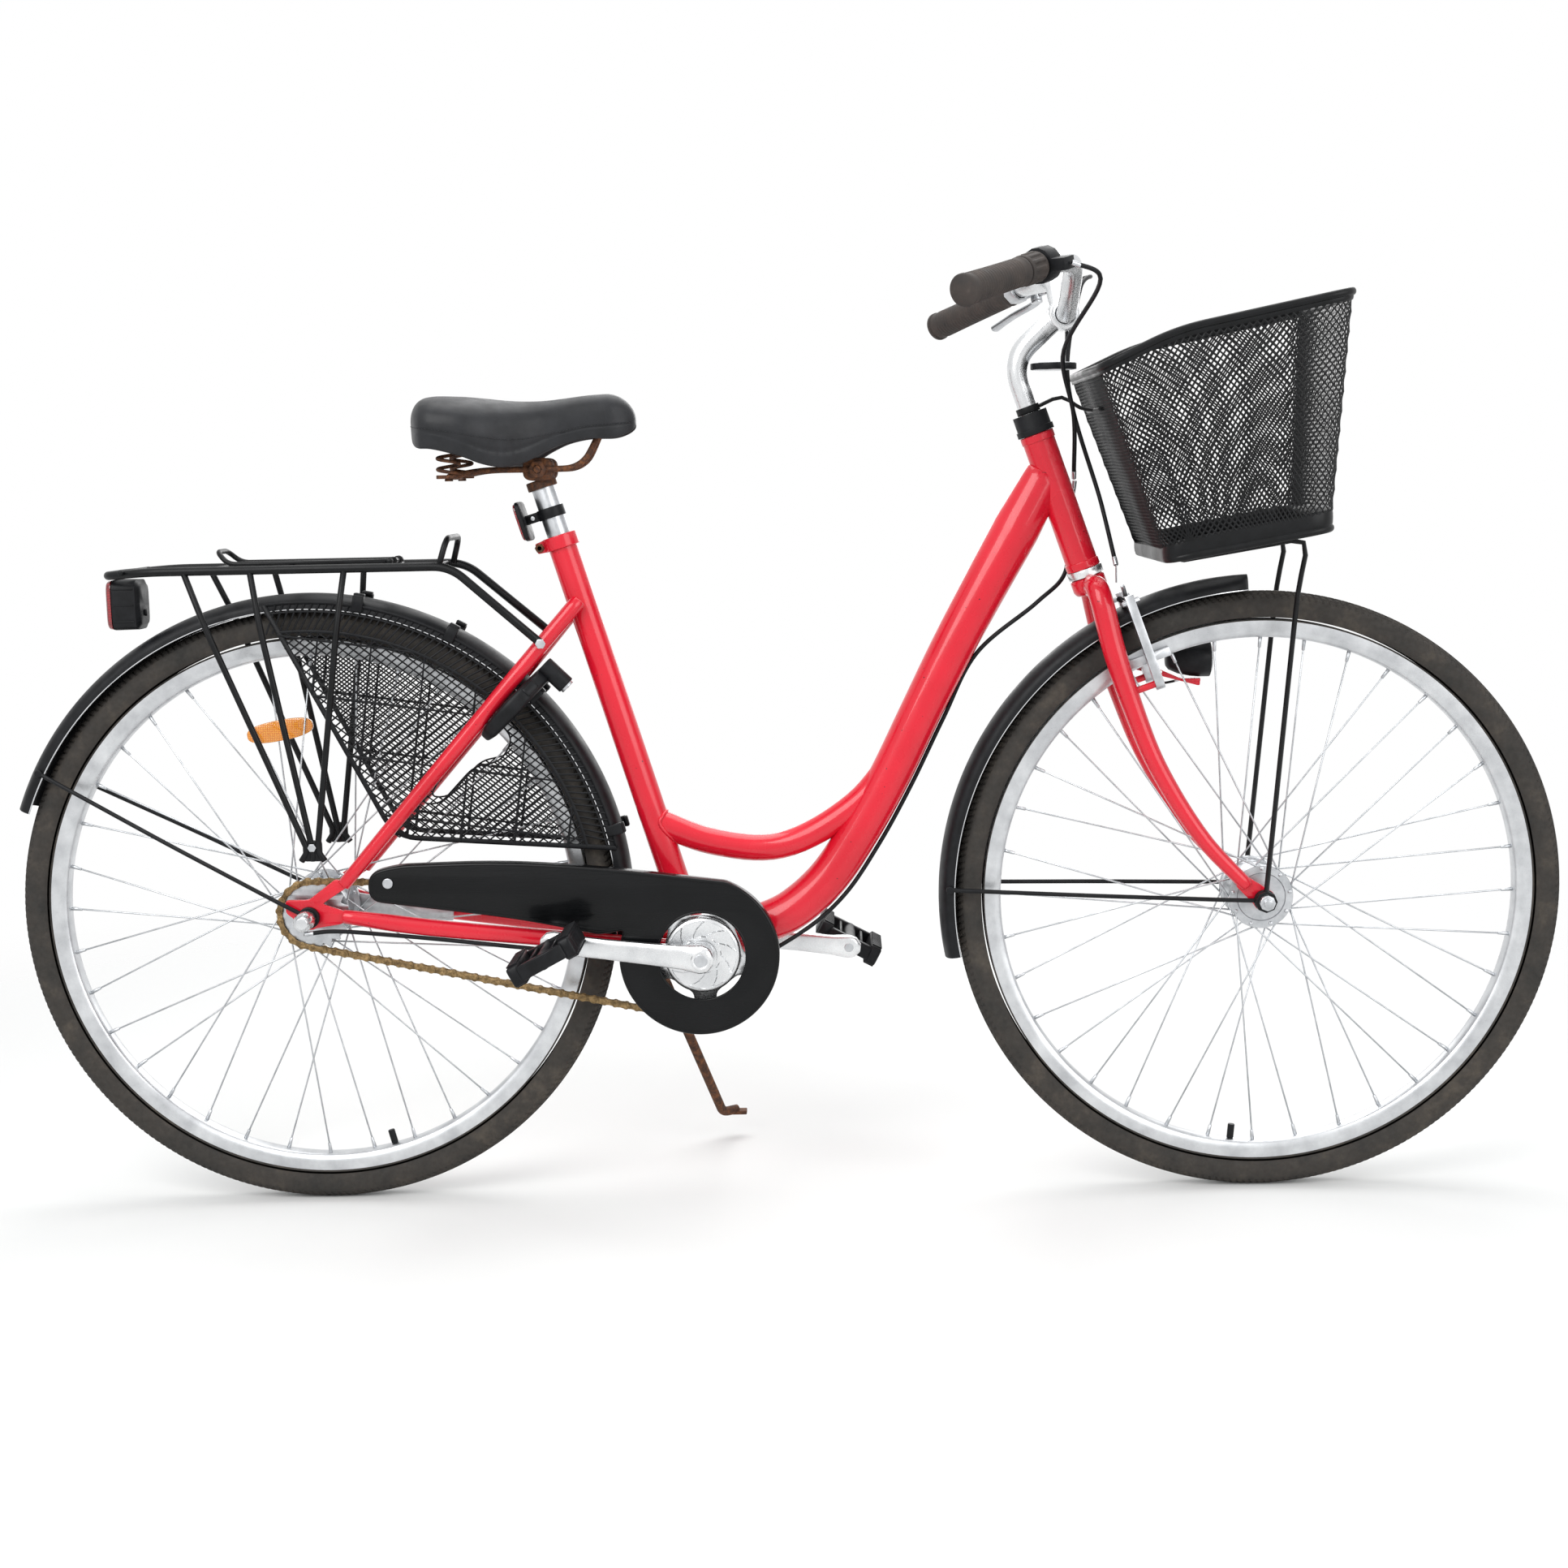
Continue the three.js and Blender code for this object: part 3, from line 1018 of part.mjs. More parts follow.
add("front_mudguard", makeFrontMudguard(), blackPlastic);
add("rear_mudguard", makeRearMudguard(), blackPlastic);

// Stem and handlebar

const clampCentre = onSteering(headTube.length + quill.rise, quill.reach);

function makeStem() {
  const { radius, insertion, bend, clampRadius, clampHalfWidth } = quill;
  const path = rounded([
    onSteering(headTube.length - insertion),
    onSteering(headTube.length + bend),
    clampCentre.clone().addScaledVector(steeringAhead, -bar.radius),
  ], quill.bendRadius, 3);
  const sizes = path.map((_, i) =>
    (i < 2 ? radius - seatGap / 2 : mix(radius, quill.neckRadius, (i - 1) / (path.length - 2))));
  const across = (half) => [clampCentre.clone().setY(-half), clampCentre.clone().setY(half)];
  const clamp = rod(...across(clampHalfWidth), clampRadius, 14);
  const grip = bore(...across(clampHalfWidth + overrun), bar.radius + seatGap, 12);
  return cut(join(taperedTube(path, sizes, 10), clamp), grip);
}

const fromClamp = (back, y, rise) => clampCentre.clone().add(point(-back, y, rise));
const barStraight = fromClamp(barBend.straightBack, barBend.straightY, barBend.straightRise);
const barTip = fromClamp(barEnd.back, barEnd.y, barEnd.rise);
const barWay = barTip.clone().sub(barStraight).normalize();
const alongBar = (distance) => barStraight.clone().addScaledVector(barWay, distance);

function makeHandlebar() {
  const halfPoints = smoothed([
    fromClamp(0, bar.reach, 0),
    fromClamp(0, bar.neckY, bar.neckRise),
    fromClamp(bar.topBack, bar.topY, bar.topRise),
    fromClamp(barBend.back, barBend.y, barBend.rise),
    barStraight,
  ], 7);
  const half = [...halfPoints, barTip];
  return bentBar([...mirrored(half).reverse(), ...half], bar.radius - seatGap / 2, 8);
}

function sleeve(from, to, outside, inside = bar.radius + seatGap, sides = 12, outerEnd = outside) {
  const tube = taperedTube([alongBar(from), alongBar(to)], [outside, outerEnd], sides);
  return cut(tube, bore(alongBar(from - overrun), alongBar(to + overrun), inside, sides));
}

const gripStart = shifter.length + shifter.twistLength + runningGap * 3;
const barReach = barTip.clone().sub(barStraight).length();

function makeGrip(start) {
  const end = barReach + grip.endCap;
  const tube = taperedTube([alongBar(start), alongBar(mix(start, end, 0.5)), alongBar(end)],
    [grip.radius, grip.radius + seatGap, grip.endRadius], 12);
  return cut(tube, bore(alongBar(start - overrun), alongBar(barReach + seatGap), bar.radius + seatGap, 10));
}

const leverStart = brakeLever.clampFrom;
const leverEnd = leverStart + brakeLever.clampLength;
add("stem", makeStem(), polished);
add("handlebar", makeHandlebar(), polished);
add("grip_right", acrossY(makeGrip(gripStart)), gripRubber);
add("grip_left", makeGrip(leverEnd + runningGap), gripRubber);

// Twist shifter on the right, brake lever on the left

const aheadOfBar = point(barWay.y, -barWay.x, 0).normalize();
const aboveBar = aheadOfBar.clone().cross(barWay).normalize();
const nearBar = (along, ahead, rise = 0) =>
  alongBar(along).addScaledVector(aheadOfBar, ahead).addScaledVector(aboveBar, rise);

function makeShifter() {
  const { radius, length, pod, podReach } = shifter;
  const body = join(
    rod(alongBar(0), alongBar(length), radius, 14),
    block(nearBar(length / 2, podReach / 2 + pod / 2), length, podReach, pod, barWay, aboveBar),
  );
  return cut(body, bore(alongBar(-overrun), alongBar(length + overrun), bar.radius + seatGap, 12));
}

const twistFrom = shifter.length + runningGap;
add("shifter_housing", acrossY(makeShifter()), blackPlastic);
add("twist_grip", acrossY(sleeve(twistFrom, twistFrom + shifter.twistLength, shifter.twistRadius)),
  gripRubber);

const leverPivot = nearBar((leverStart + leverEnd) / 2, brakeLever.reach, -brakeLever.drop);

function makeLeverBracket() {
  const { clampRadius, clampLength, reach, pivotRadius, thickness, cheek } = brakeLever;
  const middle = (leverStart + leverEnd) / 2;
  const armMiddle = nearBar(middle, reach / 2, -brakeLever.drop / 2);
  const arm = block(armMiddle, clampLength, reach, thickness + cheek * 2, barWay, aboveBar);
  const onPin = (half) => [-half, half].map((rise) => leverPivot.clone().addScaledVector(aboveBar, rise));
  const housing = join(
    rod(alongBar(leverStart), alongBar(leverEnd), clampRadius, 8),
    arm,
    rod(...onPin(thickness / 2 + cheek), pivotRadius, 8),
  );
  const slot = rod(...onPin((thickness + runningGap) / 2), pivotRadius + reach / 3, 8);
  const pin = rod(...onPin((thickness + cheek) / 2), brakeLever.pinRadius, 6);
  const barHole = bore(alongBar(leverStart - overrun), alongBar(leverEnd + overrun), bar.radius + seatGap,
    10);
  return join(cut(housing, barHole, slot), pin);
}

function makeBrakeLever() {
  const { length, width, thickness, pivotRadius, pinRadius, tipDrop } = brakeLever;
  const blade = smoothed([
    leverPivot,
    nearBar(leverEnd + length * 0.15, brakeLever.reach + width * 1.3, -brakeLever.drop),
    nearBar(leverEnd + length * 0.55, brakeLever.reach + width, -brakeLever.drop - tipDrop / 2),
    nearBar(leverEnd + length, brakeLever.reach + width * 1.2, -brakeLever.drop - tipDrop),
  ], 5);
  const blades = bladeLoft(blade, width / 2, thickness / 2);
  const hub = rod(leverPivot.clone().addScaledVector(aboveBar, -thickness / 2),
    leverPivot.clone().addScaledVector(aboveBar, thickness / 2), pivotRadius - runningGap, 8);
  const hole = rod(leverPivot.clone().addScaledVector(aboveBar, -thickness),
    leverPivot.clone().addScaledVector(aboveBar, thickness), pinRadius + runningGap, 6);
  return cut(join(blades, hub), hole);
}

function bladeLoft(line, halfWidth, halfThickness) {
  const path = new BentPath(line);
  const rings = line.map((p, i) => {
    const along = path.getTangentAt(i / (line.length - 1));
    const across = aboveBar.clone().cross(along).normalize();
    const taper = i === 0 ? 0.6 : 1;
    return polygon(1, 6).map((c) => p.clone()
      .addScaledVector(across, c.x * halfWidth * taper).addScaledVector(aboveBar, c.y * halfThickness));
  });
  return loft(rings);
}

add("brake_lever_bracket", makeLeverBracket(), zinc);
add("brake_lever", makeBrakeLever(), zinc);

// Saddle with its frame, springs and clamp

function makeSaddle() {
  const { crown, halfWidth, noseHalfWidth, wall } = saddle;
  const rows = saddleShares.map(([alongShare, widthShare, topShare, sideShare]) => {
    const x = mix(saddleTailX, saddleNoseX, alongShare);
    const half = mix(noseHalfWidth, halfWidth, widthShare);
    const top = saddleBaseZ + crown * topShare;
    const side = saddleBaseZ + crown * sideShare;
    const skirt = side - saddle.skirt * mix(1, 0.5, alongShare);
    const over = saddleOverShares.map(([acrossShare, riseShare]) =>
      point(x, half * acrossShare, mix(side, top, riseShare)));
    const [lowHalf, innerHalf] = saddleUnderShares.map((acrossShare) => half * acrossShare);
    const under = [point(x, lowHalf, skirt), point(x, lowHalf - wall, skirt),
      point(x, innerHalf - wall, side - wall / 2)];
    return [
      ...under.reverse(),
      ...over,
      point(x, 0, top - saddle.channel * widthShare),
      ...mirrored(over).reverse(),
      ...mirrored(under).reverse(),
    ];
  });
  return loft(rows);
}

add("saddle", makeSaddle(), vinyl);

// How high the saddle's underside lies at one X.
function saddleUnderside(x) {
  const share = (x - saddleTailX) / saddle.length;
  const i = saddleShares.findIndex(([alongShare]) => alongShare >= share);
  const [before, after] = [saddleShares[i - 1], saddleShares[i]];
  const sideShare = mix(before[3], after[3], (share - before[0]) / (after[0] - before[0]));
  return saddleBaseZ + saddle.crown * sideShare - saddle.wall / 2;
}

// Basket of wire mesh, open at the top

const basketCorner = (share, high) => {
  const x = wheelbase - basket.rearSetback + basket.depth * share;
  const floorZ = guardRadius + basket.guardRise;
  return high
    ? point(mix(x - basket.rearFlare, x + basket.frontFlare, share), 0,
      floorZ + basket.height + basket.topSlope * share)
    : point(x, 0, floorZ + basket.floorSlope * share);
};

// A panel between four corners, thinner than its own mesh is wide, with a grid of openings.
function meshPanel(corners, columns, rows, peak) {
  const [a, b, c, d] = corners;
  const across = b.clone().sub(a).normalize();
  const normal = across.clone().cross(d.clone().sub(a)).normalize();
  const up = normal.clone().cross(across);
  const flat = (p) => new THREE.Vector2(p.clone().sub(a).dot(across), p.clone().sub(a).dot(up));
  const [a2, b2, c2, d2] = [a, b, c, d].map(flat);
  const at = (u, v) => a2.clone().lerp(b2, u).lerp(d2.clone().lerp(c2, u), v);
  const shape = new THREE.Shape(peak ? [a2, b2, c2, flat(peak), d2] : [a2, b2, c2, d2]);
  for (let i = 0; i < columns; i++) {
    for (let j = 0; j < rows; j++) {
      const [u, v] = [1 / columns, 1 / rows];
      const gap = (share) => share * basketMesh.strandShare;
      shape.holes.push(new THREE.Path([
        at(i * u + gap(u), (j + 0.5) * v), at((i + 0.5) * u, j * v + gap(v)),
        at((i + 1) * u - gap(u), (j + 0.5) * v), at((i + 0.5) * u, (j + 1) * v - gap(v)),
      ]));
    }
  }
  const turn = new THREE.Matrix4().makeBasis(across, up, normal);
  turn.setPosition(a.clone().addScaledVector(normal, -basket.wall / 2));
  const panel = new THREE.ExtrudeGeometry(shape, { depth: basket.wall, bevelEnabled: false });
  return solid(panel.applyMatrix4(turn));
}

function makeBasket() {
  const corner = (share, high, side) =>
    basketCorner(share, high).setY(side * (high ? basket.topHalfWidth : basket.halfWidth));
  const kink = (side) => corner(0, true, side).lerp(corner(1, true, side), basket.kinkShare)
    .add(point(0, 0, basket.kinkRise));
  const ends = [0, 1].map((share) => meshPanel([corner(share, false, -1), corner(share, false, 1),
    corner(share, true, 1), corner(share, true, -1)], basketMesh.columns, basketMesh.rows));
  const sides = [-1, 1].map((side) => meshPanel([corner(0, false, side), corner(1, false, side),
    corner(1, true, side), corner(0, true, side)], basketMesh.rows, basketMesh.rows, kink(side)));
  const floor = meshPanel([corner(0, false, -1), corner(1, false, -1), corner(1, false, 1),
    corner(0, false, 1)],
    basketMesh.rows, basketMesh.columns);
  const loop = (points, radius) => points.map((p, i) => rod(p, points[(i + 1) % points.length], radius, 6));
  const top = [corner(0, true, -1), kink(-1), corner(1, true, -1), corner(1, true, 1), kink(1),
    corner(0, true, 1)];
  const foot = [corner(0, false, -1), corner(1, false, -1), corner(1, false, 1), corner(0, false, 1)];
  return join(ends, sides, floor, loop(top, basket.rim), loop(foot, basket.band));
}

add("basket", makeBasket(), blackPaint);

// Rear rack with its struts and stays


function makeRack() {
  const { radius, railY, frontX, hoopHeight, hoopLean, boltReach } = rack;
  const tailX = rackTailX;
  const hoopX = frontX - rack.hoopBack;
  const strutFoot = atDistance(seatStayLine, strutReach);
  const strutY = strutFoot.y + seatStay.radius + radius + seatGap;
  const half = rounded([
    point(strutFoot.x, strutY, strutFoot.z),
    point(frontX, railY, deckZ),
    point(mix(frontX, tailX, 0.86), railY, deckZ),
    point(tailX, railY * 0.62, deckZ - rack.tailDrop),
    point(tailX, 0, deckZ - rack.tailDrop),
  ], railY / 3, 2);
  const loop = bentBar([...half, ...mirrored(half).reverse().slice(1)], radius, 6);
  const hoopSide = [point(hoopX, railY - radius, deckZ),
    point(hoopX + hoopLean, railY * 0.8, deckZ + hoopHeight)];
  const hoopLine = rounded([...hoopSide, ...mirrored(hoopSide).reverse()], hoopHeight / 2, 2);
  const hoop = bentBar(hoopLine, rack.hoopRadius, 5);
  const bolts = [1, -1].map((side) => roundBar(strutFoot.x, strutFoot.z, side * (strutY - radius + seatGap),
    side * (strutY + boltReach), rack.boltRadius, 6));
  const cross = rackCross.shares.map((share) => {
    const x = mix(tailX, frontX, share);
    return rod(point(x, -railY, deckZ), point(x, railY, deckZ), rackCross.radius, 4);
  });
  const stays = rackStayShares.flatMap((share, i) => {
    const topX = mix(tailX, frontX, share);
    const foot = point(rackStay.footX + (i - 1) * rackStay.spread * 0.5, rackStay.y, rackStay.footZ);
    const shoulder = point(mix(topX, foot.x, 0.2), rackStay.y, mix(deckZ, foot.z, 0.2));
    const line = [point(topX, railY, deckZ), shoulder, foot];
    return [bentBar(line, rackStay.radius, 5), bentBar(mirrored(line), rackStay.radius, 5)];
  });
  const { footX, footZ, spread, hook } = rackStay;
  const foot = [[footX - spread, footZ + hook], [footX - spread, footZ - hook],
    [footX + spread, footZ - hook],
    [footX + spread, footZ + hook]];
  const feet = [1, -1].map((side) =>
    plate(foot, side * (rackStay.y - rackStay.radius / 2), side * (rackStay.y + rackStay.radius / 2)));
  return join(loop, hoop, cross, stays, feet, bolts);
}

// The flat of a four-sided cross bar lies nearer than its corners, and the clip's rod rests on it.
const clipPivot = point(mix(rackTailX, rack.frontX, rackClip.pivotShare), 0,
  deckZ + rackCross.radius * Math.cos(Math.PI / 4) + rackClip.pivotRadius + seatGap);

function makeRackClip() {
  const { halfWidth, length, radius, pivotRadius, tipRise } = rackClip;
  const { x, z } = clipPivot;
  const side = [point(x, halfWidth, z), point(x - length, halfWidth, z),
    point(x - length - tipRise, halfWidth * 0.7, z + tipRise)];
  const loop = rounded([...mirrored(side), ...side.slice().reverse()], tipRise, 2);
  const reachY = halfWidth + radius * 2;
  return join(bentBar(loop, radius, 6), rod(point(x, -reachY, z), point(x, reachY, z), pivotRadius, 8));
}

add("rear_rack", makeRack(), blackPaint);
add("rack_clip", makeRackClip(), blackPaint);

// Rear lamp under the rack's tail


function lampBlock(from, to) {
  const { halfWidth, height } = rearLight;
  return block(point((from + to) / 2, 0, lampTop - height / 2), to - from, halfWidth * 2, height);
}

add("rear_light", lampBlock(lampRear + rearLight.lens + seatGap, lampFront), blackPlastic);
add("rear_light_lens", lampBlock(lampRear, lampRear + rearLight.lens), redLens);

// Skirt guards: a net on each side of the rear wheel

function makeSkirtGuard() {
  const { y, thickness, edge, pitchX, pitchZ, strand, bandWidth, ribAngle } = skirt;
  const outer = guardRadius - mudguard.depth / 2;
  const arc = arcOutline(0, 0, outer, skirtReach.frontAngle, skirtReach.rearAngle, 12);
  const outline = [...arc, [skirtReach.cornerX, skirtReach.cornerZ]];
  const inside = (x, z, margin) => {
    const far = Math.hypot(x, z);
    const [cx, cz] = [skirtReach.cornerX, skirtReach.cornerZ];
    const [fx, fz] = arc[0];
    const [rx, rz] = arc[arc.length - 1];
    const away = (ax, az, bx, bz) => ((bx - ax) * (z - az) - (bz - az) * (x - ax)) / Math.hypot(bx - ax,
      bz - az);
    return far < outer - bandWidth - margin && away(cx, cz, fx, fz) > margin && away(rx, rz, cx, cz) > margin;
  };
  const lockPlace = onCircle(0, 0, lockReach - lock.bolt + lock.boltRadius, lock.angle);
  const holes = [];
  const rows = Math.ceil(guardRadius / pitchZ) * 2;
  const columns = Math.ceil(guardRadius / pitchX);
  for (let row = 0; row < rows; row++) {
    for (let column = -columns; column < columns; column++) {
      const x = (column + (row % 2) / 2) * pitchX;
      const z = row * (pitchZ / 2);
      const clearOfLock = Math.hypot(x - lockPlace[0],
        z - lockPlace[1]) > skirt.lockRadius + pitchX / 2 + strand;
      if (!inside(x, z, edge + pitchZ / 3) || !clearOfLock) continue;
      const [halfX, halfZ] = [(pitchX - strand) / 2, (pitchZ - strand) / 2];
      holes.push([[x - halfX, z], [x, z - halfZ], [x + halfX, z], [x, z + halfZ]]);
    }
  }
  const ribs = Math.round((skirtReach.rearAngle - skirtReach.frontAngle) / ribAngle);
  const [low, high] = [outer - bandWidth + strand, outer - edge * 1.5];
  for (let i = 1; i < ribs - 1; i++) {
    const from = skirtReach.frontAngle + (i + 0.2) * ribAngle;
    const to = skirtReach.frontAngle + (i + 0.8) * ribAngle;
    const corners = [[low, from], [low, to], [high, to], [high, from]];
    holes.push(corners.map(([radius, angle]) => onCircle(0, 0, radius, angle)));
  }
  const cutOut = circleOutline(lockPlace[0], lockPlace[1], skirt.lockRadius, 10);
  return plate(outline, y, y + thickness, [...holes, cutOut]);
}

const skirtGuard = makeSkirtGuard();
add("skirt_guard_left", skirtGuard, blackPaint);
add("skirt_guard_right", acrossY(skirtGuard), blackPaint);

// Ring lock: a horseshoe round the tyre, with a curved bolt inside it

const lockUp = point(Math.cos(radians(lock.angle)), 0, Math.sin(radians(lock.angle)));
const lockAhead = point(lockUp.z, 0, -lockUp.x);
const lockCentre = lockUp.clone().multiplyScalar(lockReach).addScaledVector(lockAhead, lock.ahead);
const ringPoint = (radius, degrees) => {
  const [y, rise] = onCircle(0, 0, radius, degrees);
  return lockCentre.clone().addScaledVector(lockUp, rise).setY(y);
};
const sector = (inner, outer, from, to, steps) => [
  ...arcOutline(0, 0, outer, from, to, steps),
  ...arcOutline(0, 0, inner, to, from, steps),
];
const ringArc = (radius, from, to, steps, thick, sides = 6) =>
  bentBar(Array.from({ length: steps + 1 }, (_, i) => ringPoint(radius, mix(from, to, i / steps))), thick,
    sides);

const armEnd = lock.gapeAngle - 90;
const boltLength = lock.gapeAngle * 2 + lock.gripAngle * 2;

function makeLockBody() {
  const { bolt, wall, halfDepth } = lock;
  const grip = lock.gripAngle;
  const otherEnd = 180 - armEnd;
  const boltEnd = armEnd + boltLength;
  const horseshoe = upright(sector(bolt - wall, bolt + wall, armEnd, otherEnd, 14), lockCentre, lockUp,
    -halfDepth, halfDepth);
  const channel = ringArc(bolt, armEnd - grip, boltEnd + grip, 8, lock.boltRadius + runningGap * 1.6, 5);
  const socket = ringArc(bolt, otherEnd - grip * 1.4, otherEnd + grip, 2, lock.boltRadius + runningGap, 5);
  const slotStart = boltEnd - grip * 2 - boltLength * 0.86;
  const knobSlot = upright(sector(bolt, bolt + wall * 2, slotStart, boltEnd + grip / 2, 6), lockCentre,
    lockUp,
    -lock.knob, lock.knob);
  const barrelFrom = lockCentre.clone().addScaledVector(lockUp, bolt + wall / 2).setY(-lockBarrel.y);
  const barrel = rod(barrelFrom.clone().addScaledVector(lockAhead, -halfDepth),
    barrelFrom.clone().addScaledVector(lockAhead, lockBarrel.length), lockBarrel.radius, 12);
  return cut(join(horseshoe, barrel), channel, socket, knobSlot);
}

function makeLockBolt() {
  const from = armEnd + seatGap;
  const to = armEnd + boltLength;
  const tail = to - lock.gripAngle / 2;
  return join(
    ringArc(lock.bolt, from, to, 8, lock.boltRadius, 5),
    rod(ringPoint(lock.bolt, tail), ringPoint(lock.bolt + lock.wall * 2, tail), lock.knob - runningGap, 6),
  );
}

add("ring_lock_body", makeLockBody(), blackPlastic);
add("ring_lock_bolt", makeLockBolt(), zinc);

// Saddle frame: two rails, a cross plate and coil springs under the tail

function makeSaddleFrame() {
  const { radius, y, tailY, tailDrop } = saddleRail;
  const z = saddleRailZ;
  const noseEnd = saddleNoseX - saddleRail.noseIn;
  const rail = rounded([
    point(noseEnd, y / 3, saddleUnderside(noseEnd) - radius - seatGap * 2),
    point(mix(saddleNoseX, clampTop.x, 0.55), y, z),
    point(mix(saddleTailX, clampTop.x, 0.55), y, z),
    point(saddleSpringX, tailY, z - tailDrop),
  ], y, 1);
  const bridge = rod(rail[0], mirrored([rail[0]])[0], radius, 5);
  const tail = rail[rail.length - 1];
  const rear = rod(tail.clone().setY(tailY + radius), tail.clone().setY(-tailY - radius), radius, 6);
  const onSpring = (side, height) => point(saddleSpringX, side * saddleSpring.y, height);
  const cup = (side) => rod(onSpring(side, z - tailDrop - radius / 2), onSpring(side, springFoot),
    saddleSpring.coilRadius + saddleSpring.wireRadius, 8);
  return join(bentBar(rail, radius, 5), bentBar(mirrored(rail), radius, 5), bridge, rear, cup(1), cup(-1),
    makeSaddleSpring(1), makeSaddleSpring(-1));
}

const springFoot = saddleRailZ - saddleRail.tailDrop + saddleSpring.wireRadius;
const springTop = saddleUnderside(saddleSpringX + saddleSpring.coilRadius) - saddleSpring.wireRadius
  - seatGap;
const springLine = Array.from({ length: saddleSpring.turns * saddleSpring.turnSteps + 1 }, (_, i) => {
  const [dx, dy] = onCircle(0, 0, saddleSpring.coilRadius, (i * 360) / saddleSpring.turnSteps);
  return point(dx, dy, mix(springFoot, springTop, i / (saddleSpring.turns * saddleSpring.turnSteps)));
});
const makeSaddleSpring = (side) => bentBar(
  springLine.map((p) => point(saddleSpringX + p.x, side * (saddleSpring.y + p.y), p.z)),
    saddleSpring.wireRadius, 5);

// The least gap between the wire of neighbouring turns, measured on the points of its middle line.
const farAlong = saddleSpring.turnSteps * 0.75;
const springGap = Math.min(...springLine.flatMap((p, i) =>
  springLine.slice(i + farAlong).map((q) => p.distanceTo(q))));
console.log("least gap between turns of a saddle spring, mm",
  (springGap - saddleSpring.wireRadius * 2).toFixed(2));

function makeSaddleClamp() {
  const { halfWidth, radius, height, length, wall, cap, boltRadius } = saddleClamp;
  const x = clampTop.x;
  const body = join(
    rod(fromSeatTop(topAlong - height), fromSeatTop(topAlong + cap), seatpost.radius + wall, 12),
    block(point(x, 0, saddleRailZ), length, halfWidth * 2, radius),
    roundBar(x, saddleRailZ, -halfWidth - wall, halfWidth + wall, boltRadius, 10),
  );
  const rails = [1, -1].map((side) => rod(point(x - length * 2, side * saddleRail.y, saddleRailZ),
    point(x + length * 2, side * saddleRail.y, saddleRailZ), saddleRail.radius + seatGap, 8));
  const socket = bore(fromSeatTop(topAlong - height - overrun), fromSeatTop(topAlong + seatGap),
    seatpost.radius + seatGap, 14);
  return cut(body, rails, socket);
}

add("saddle_frame", makeSaddleFrame(), rusty);
add("saddle_clamp", makeSaddleClamp(), rusty);

// Kickstand

const standX = bottomBracketX - stand.plateBack;
const standPivot = point(standX, stand.y, stand.dropZ - stand.pivotRadius);

function stayUnder(x) {
  const i = Math.max(1, chainStayLine.findIndex((p) => p.x <= x));
  const share = (x - chainStayLine[i - 1].x) / (chainStayLine[i].x - chainStayLine[i - 1].x);
  return mix(chainStayLine[i - 1].z, chainStayLine[i].z, share) - chainStay.radius;
}

const standBend = point(standX + standFoot.bendOut, standFoot.bendY,
  standFoot.lift - wheelRadius + stand.legRadius);
const standDown = standBend.clone().sub(standPivot).normalize();
const standFolded = point(-1, standFold.outShare, -standFold.dropShare).normalize();
const standAxis = standDown.clone().cross(standFolded).normalize();
const alongPin = (distance) => standPivot.clone().addScaledVector(standAxis, distance);

// The bracket hangs under the chain stays and ends in a boss with a pin; the leg's eye turns on that pin.
function makeStandBracket() {
  const { plateHalf, plateThickness, y, pivotRadius, eyeHalf, pinRadius } = stand;
  const under = Math.min(stayUnder(standX - plateHalf), stayUnder(standX + plateHalf)) - seatGap;
  const right = -chainStay.frontY - chainStay.halfWidth;
  const left = y + pivotRadius;
  const middle = point(standX, (left + right) / 2, under - plateThickness / 2);
  const boss = alongPin(eyeHalf + seatGap);
  return join(
    block(middle, plateHalf * 2, left - right, plateThickness),
    rod(middle.clone().setY(boss.y), boss, pivotRadius * 0.8, 8),
    rod(alongPin(seatGap), alongPin(seatGap + eyeHalf * 2), pivotRadius, 10),
    rod(alongPin(eyeHalf), alongPin(-eyeHalf * 2 - seatGap), pinRadius, 8),
  );
}

function makeStandLeg() {
  const { legRadius, pivotRadius, eyeHalf, pinRadius } = stand;
  const middle = alongPin(-eyeHalf);
  const toe = point(standX + standFoot.footOut, standFoot.footY, standBend.z);
  const soleHeight = legRadius * 0.9;
  const soleMiddle = toe.clone().setZ(toe.z - legRadius + soleHeight / 2);
  const sole = block(soleMiddle, standFoot.halfWidth * 3, standFoot.halfWidth * 2, soleHeight);
  const ring = rod(alongPin(0), alongPin(-eyeHalf * 2), pivotRadius, 10);
  const hole = bore(alongPin(overrun), alongPin(-eyeHalf * 2 - overrun), pinRadius + seatGap, 8);
  const leg = bentBar([middle.clone().addScaledVector(standDown, pivotRadius / 2), standBend, toe],
    legRadius, 8);
  return join(cut(join(ring, leg), hole), sole);
}

add("kickstand_bracket", makeStandBracket(), rusty);
add("kickstand_leg", makeStandLeg(), rusty);

// Basket bracket and stays

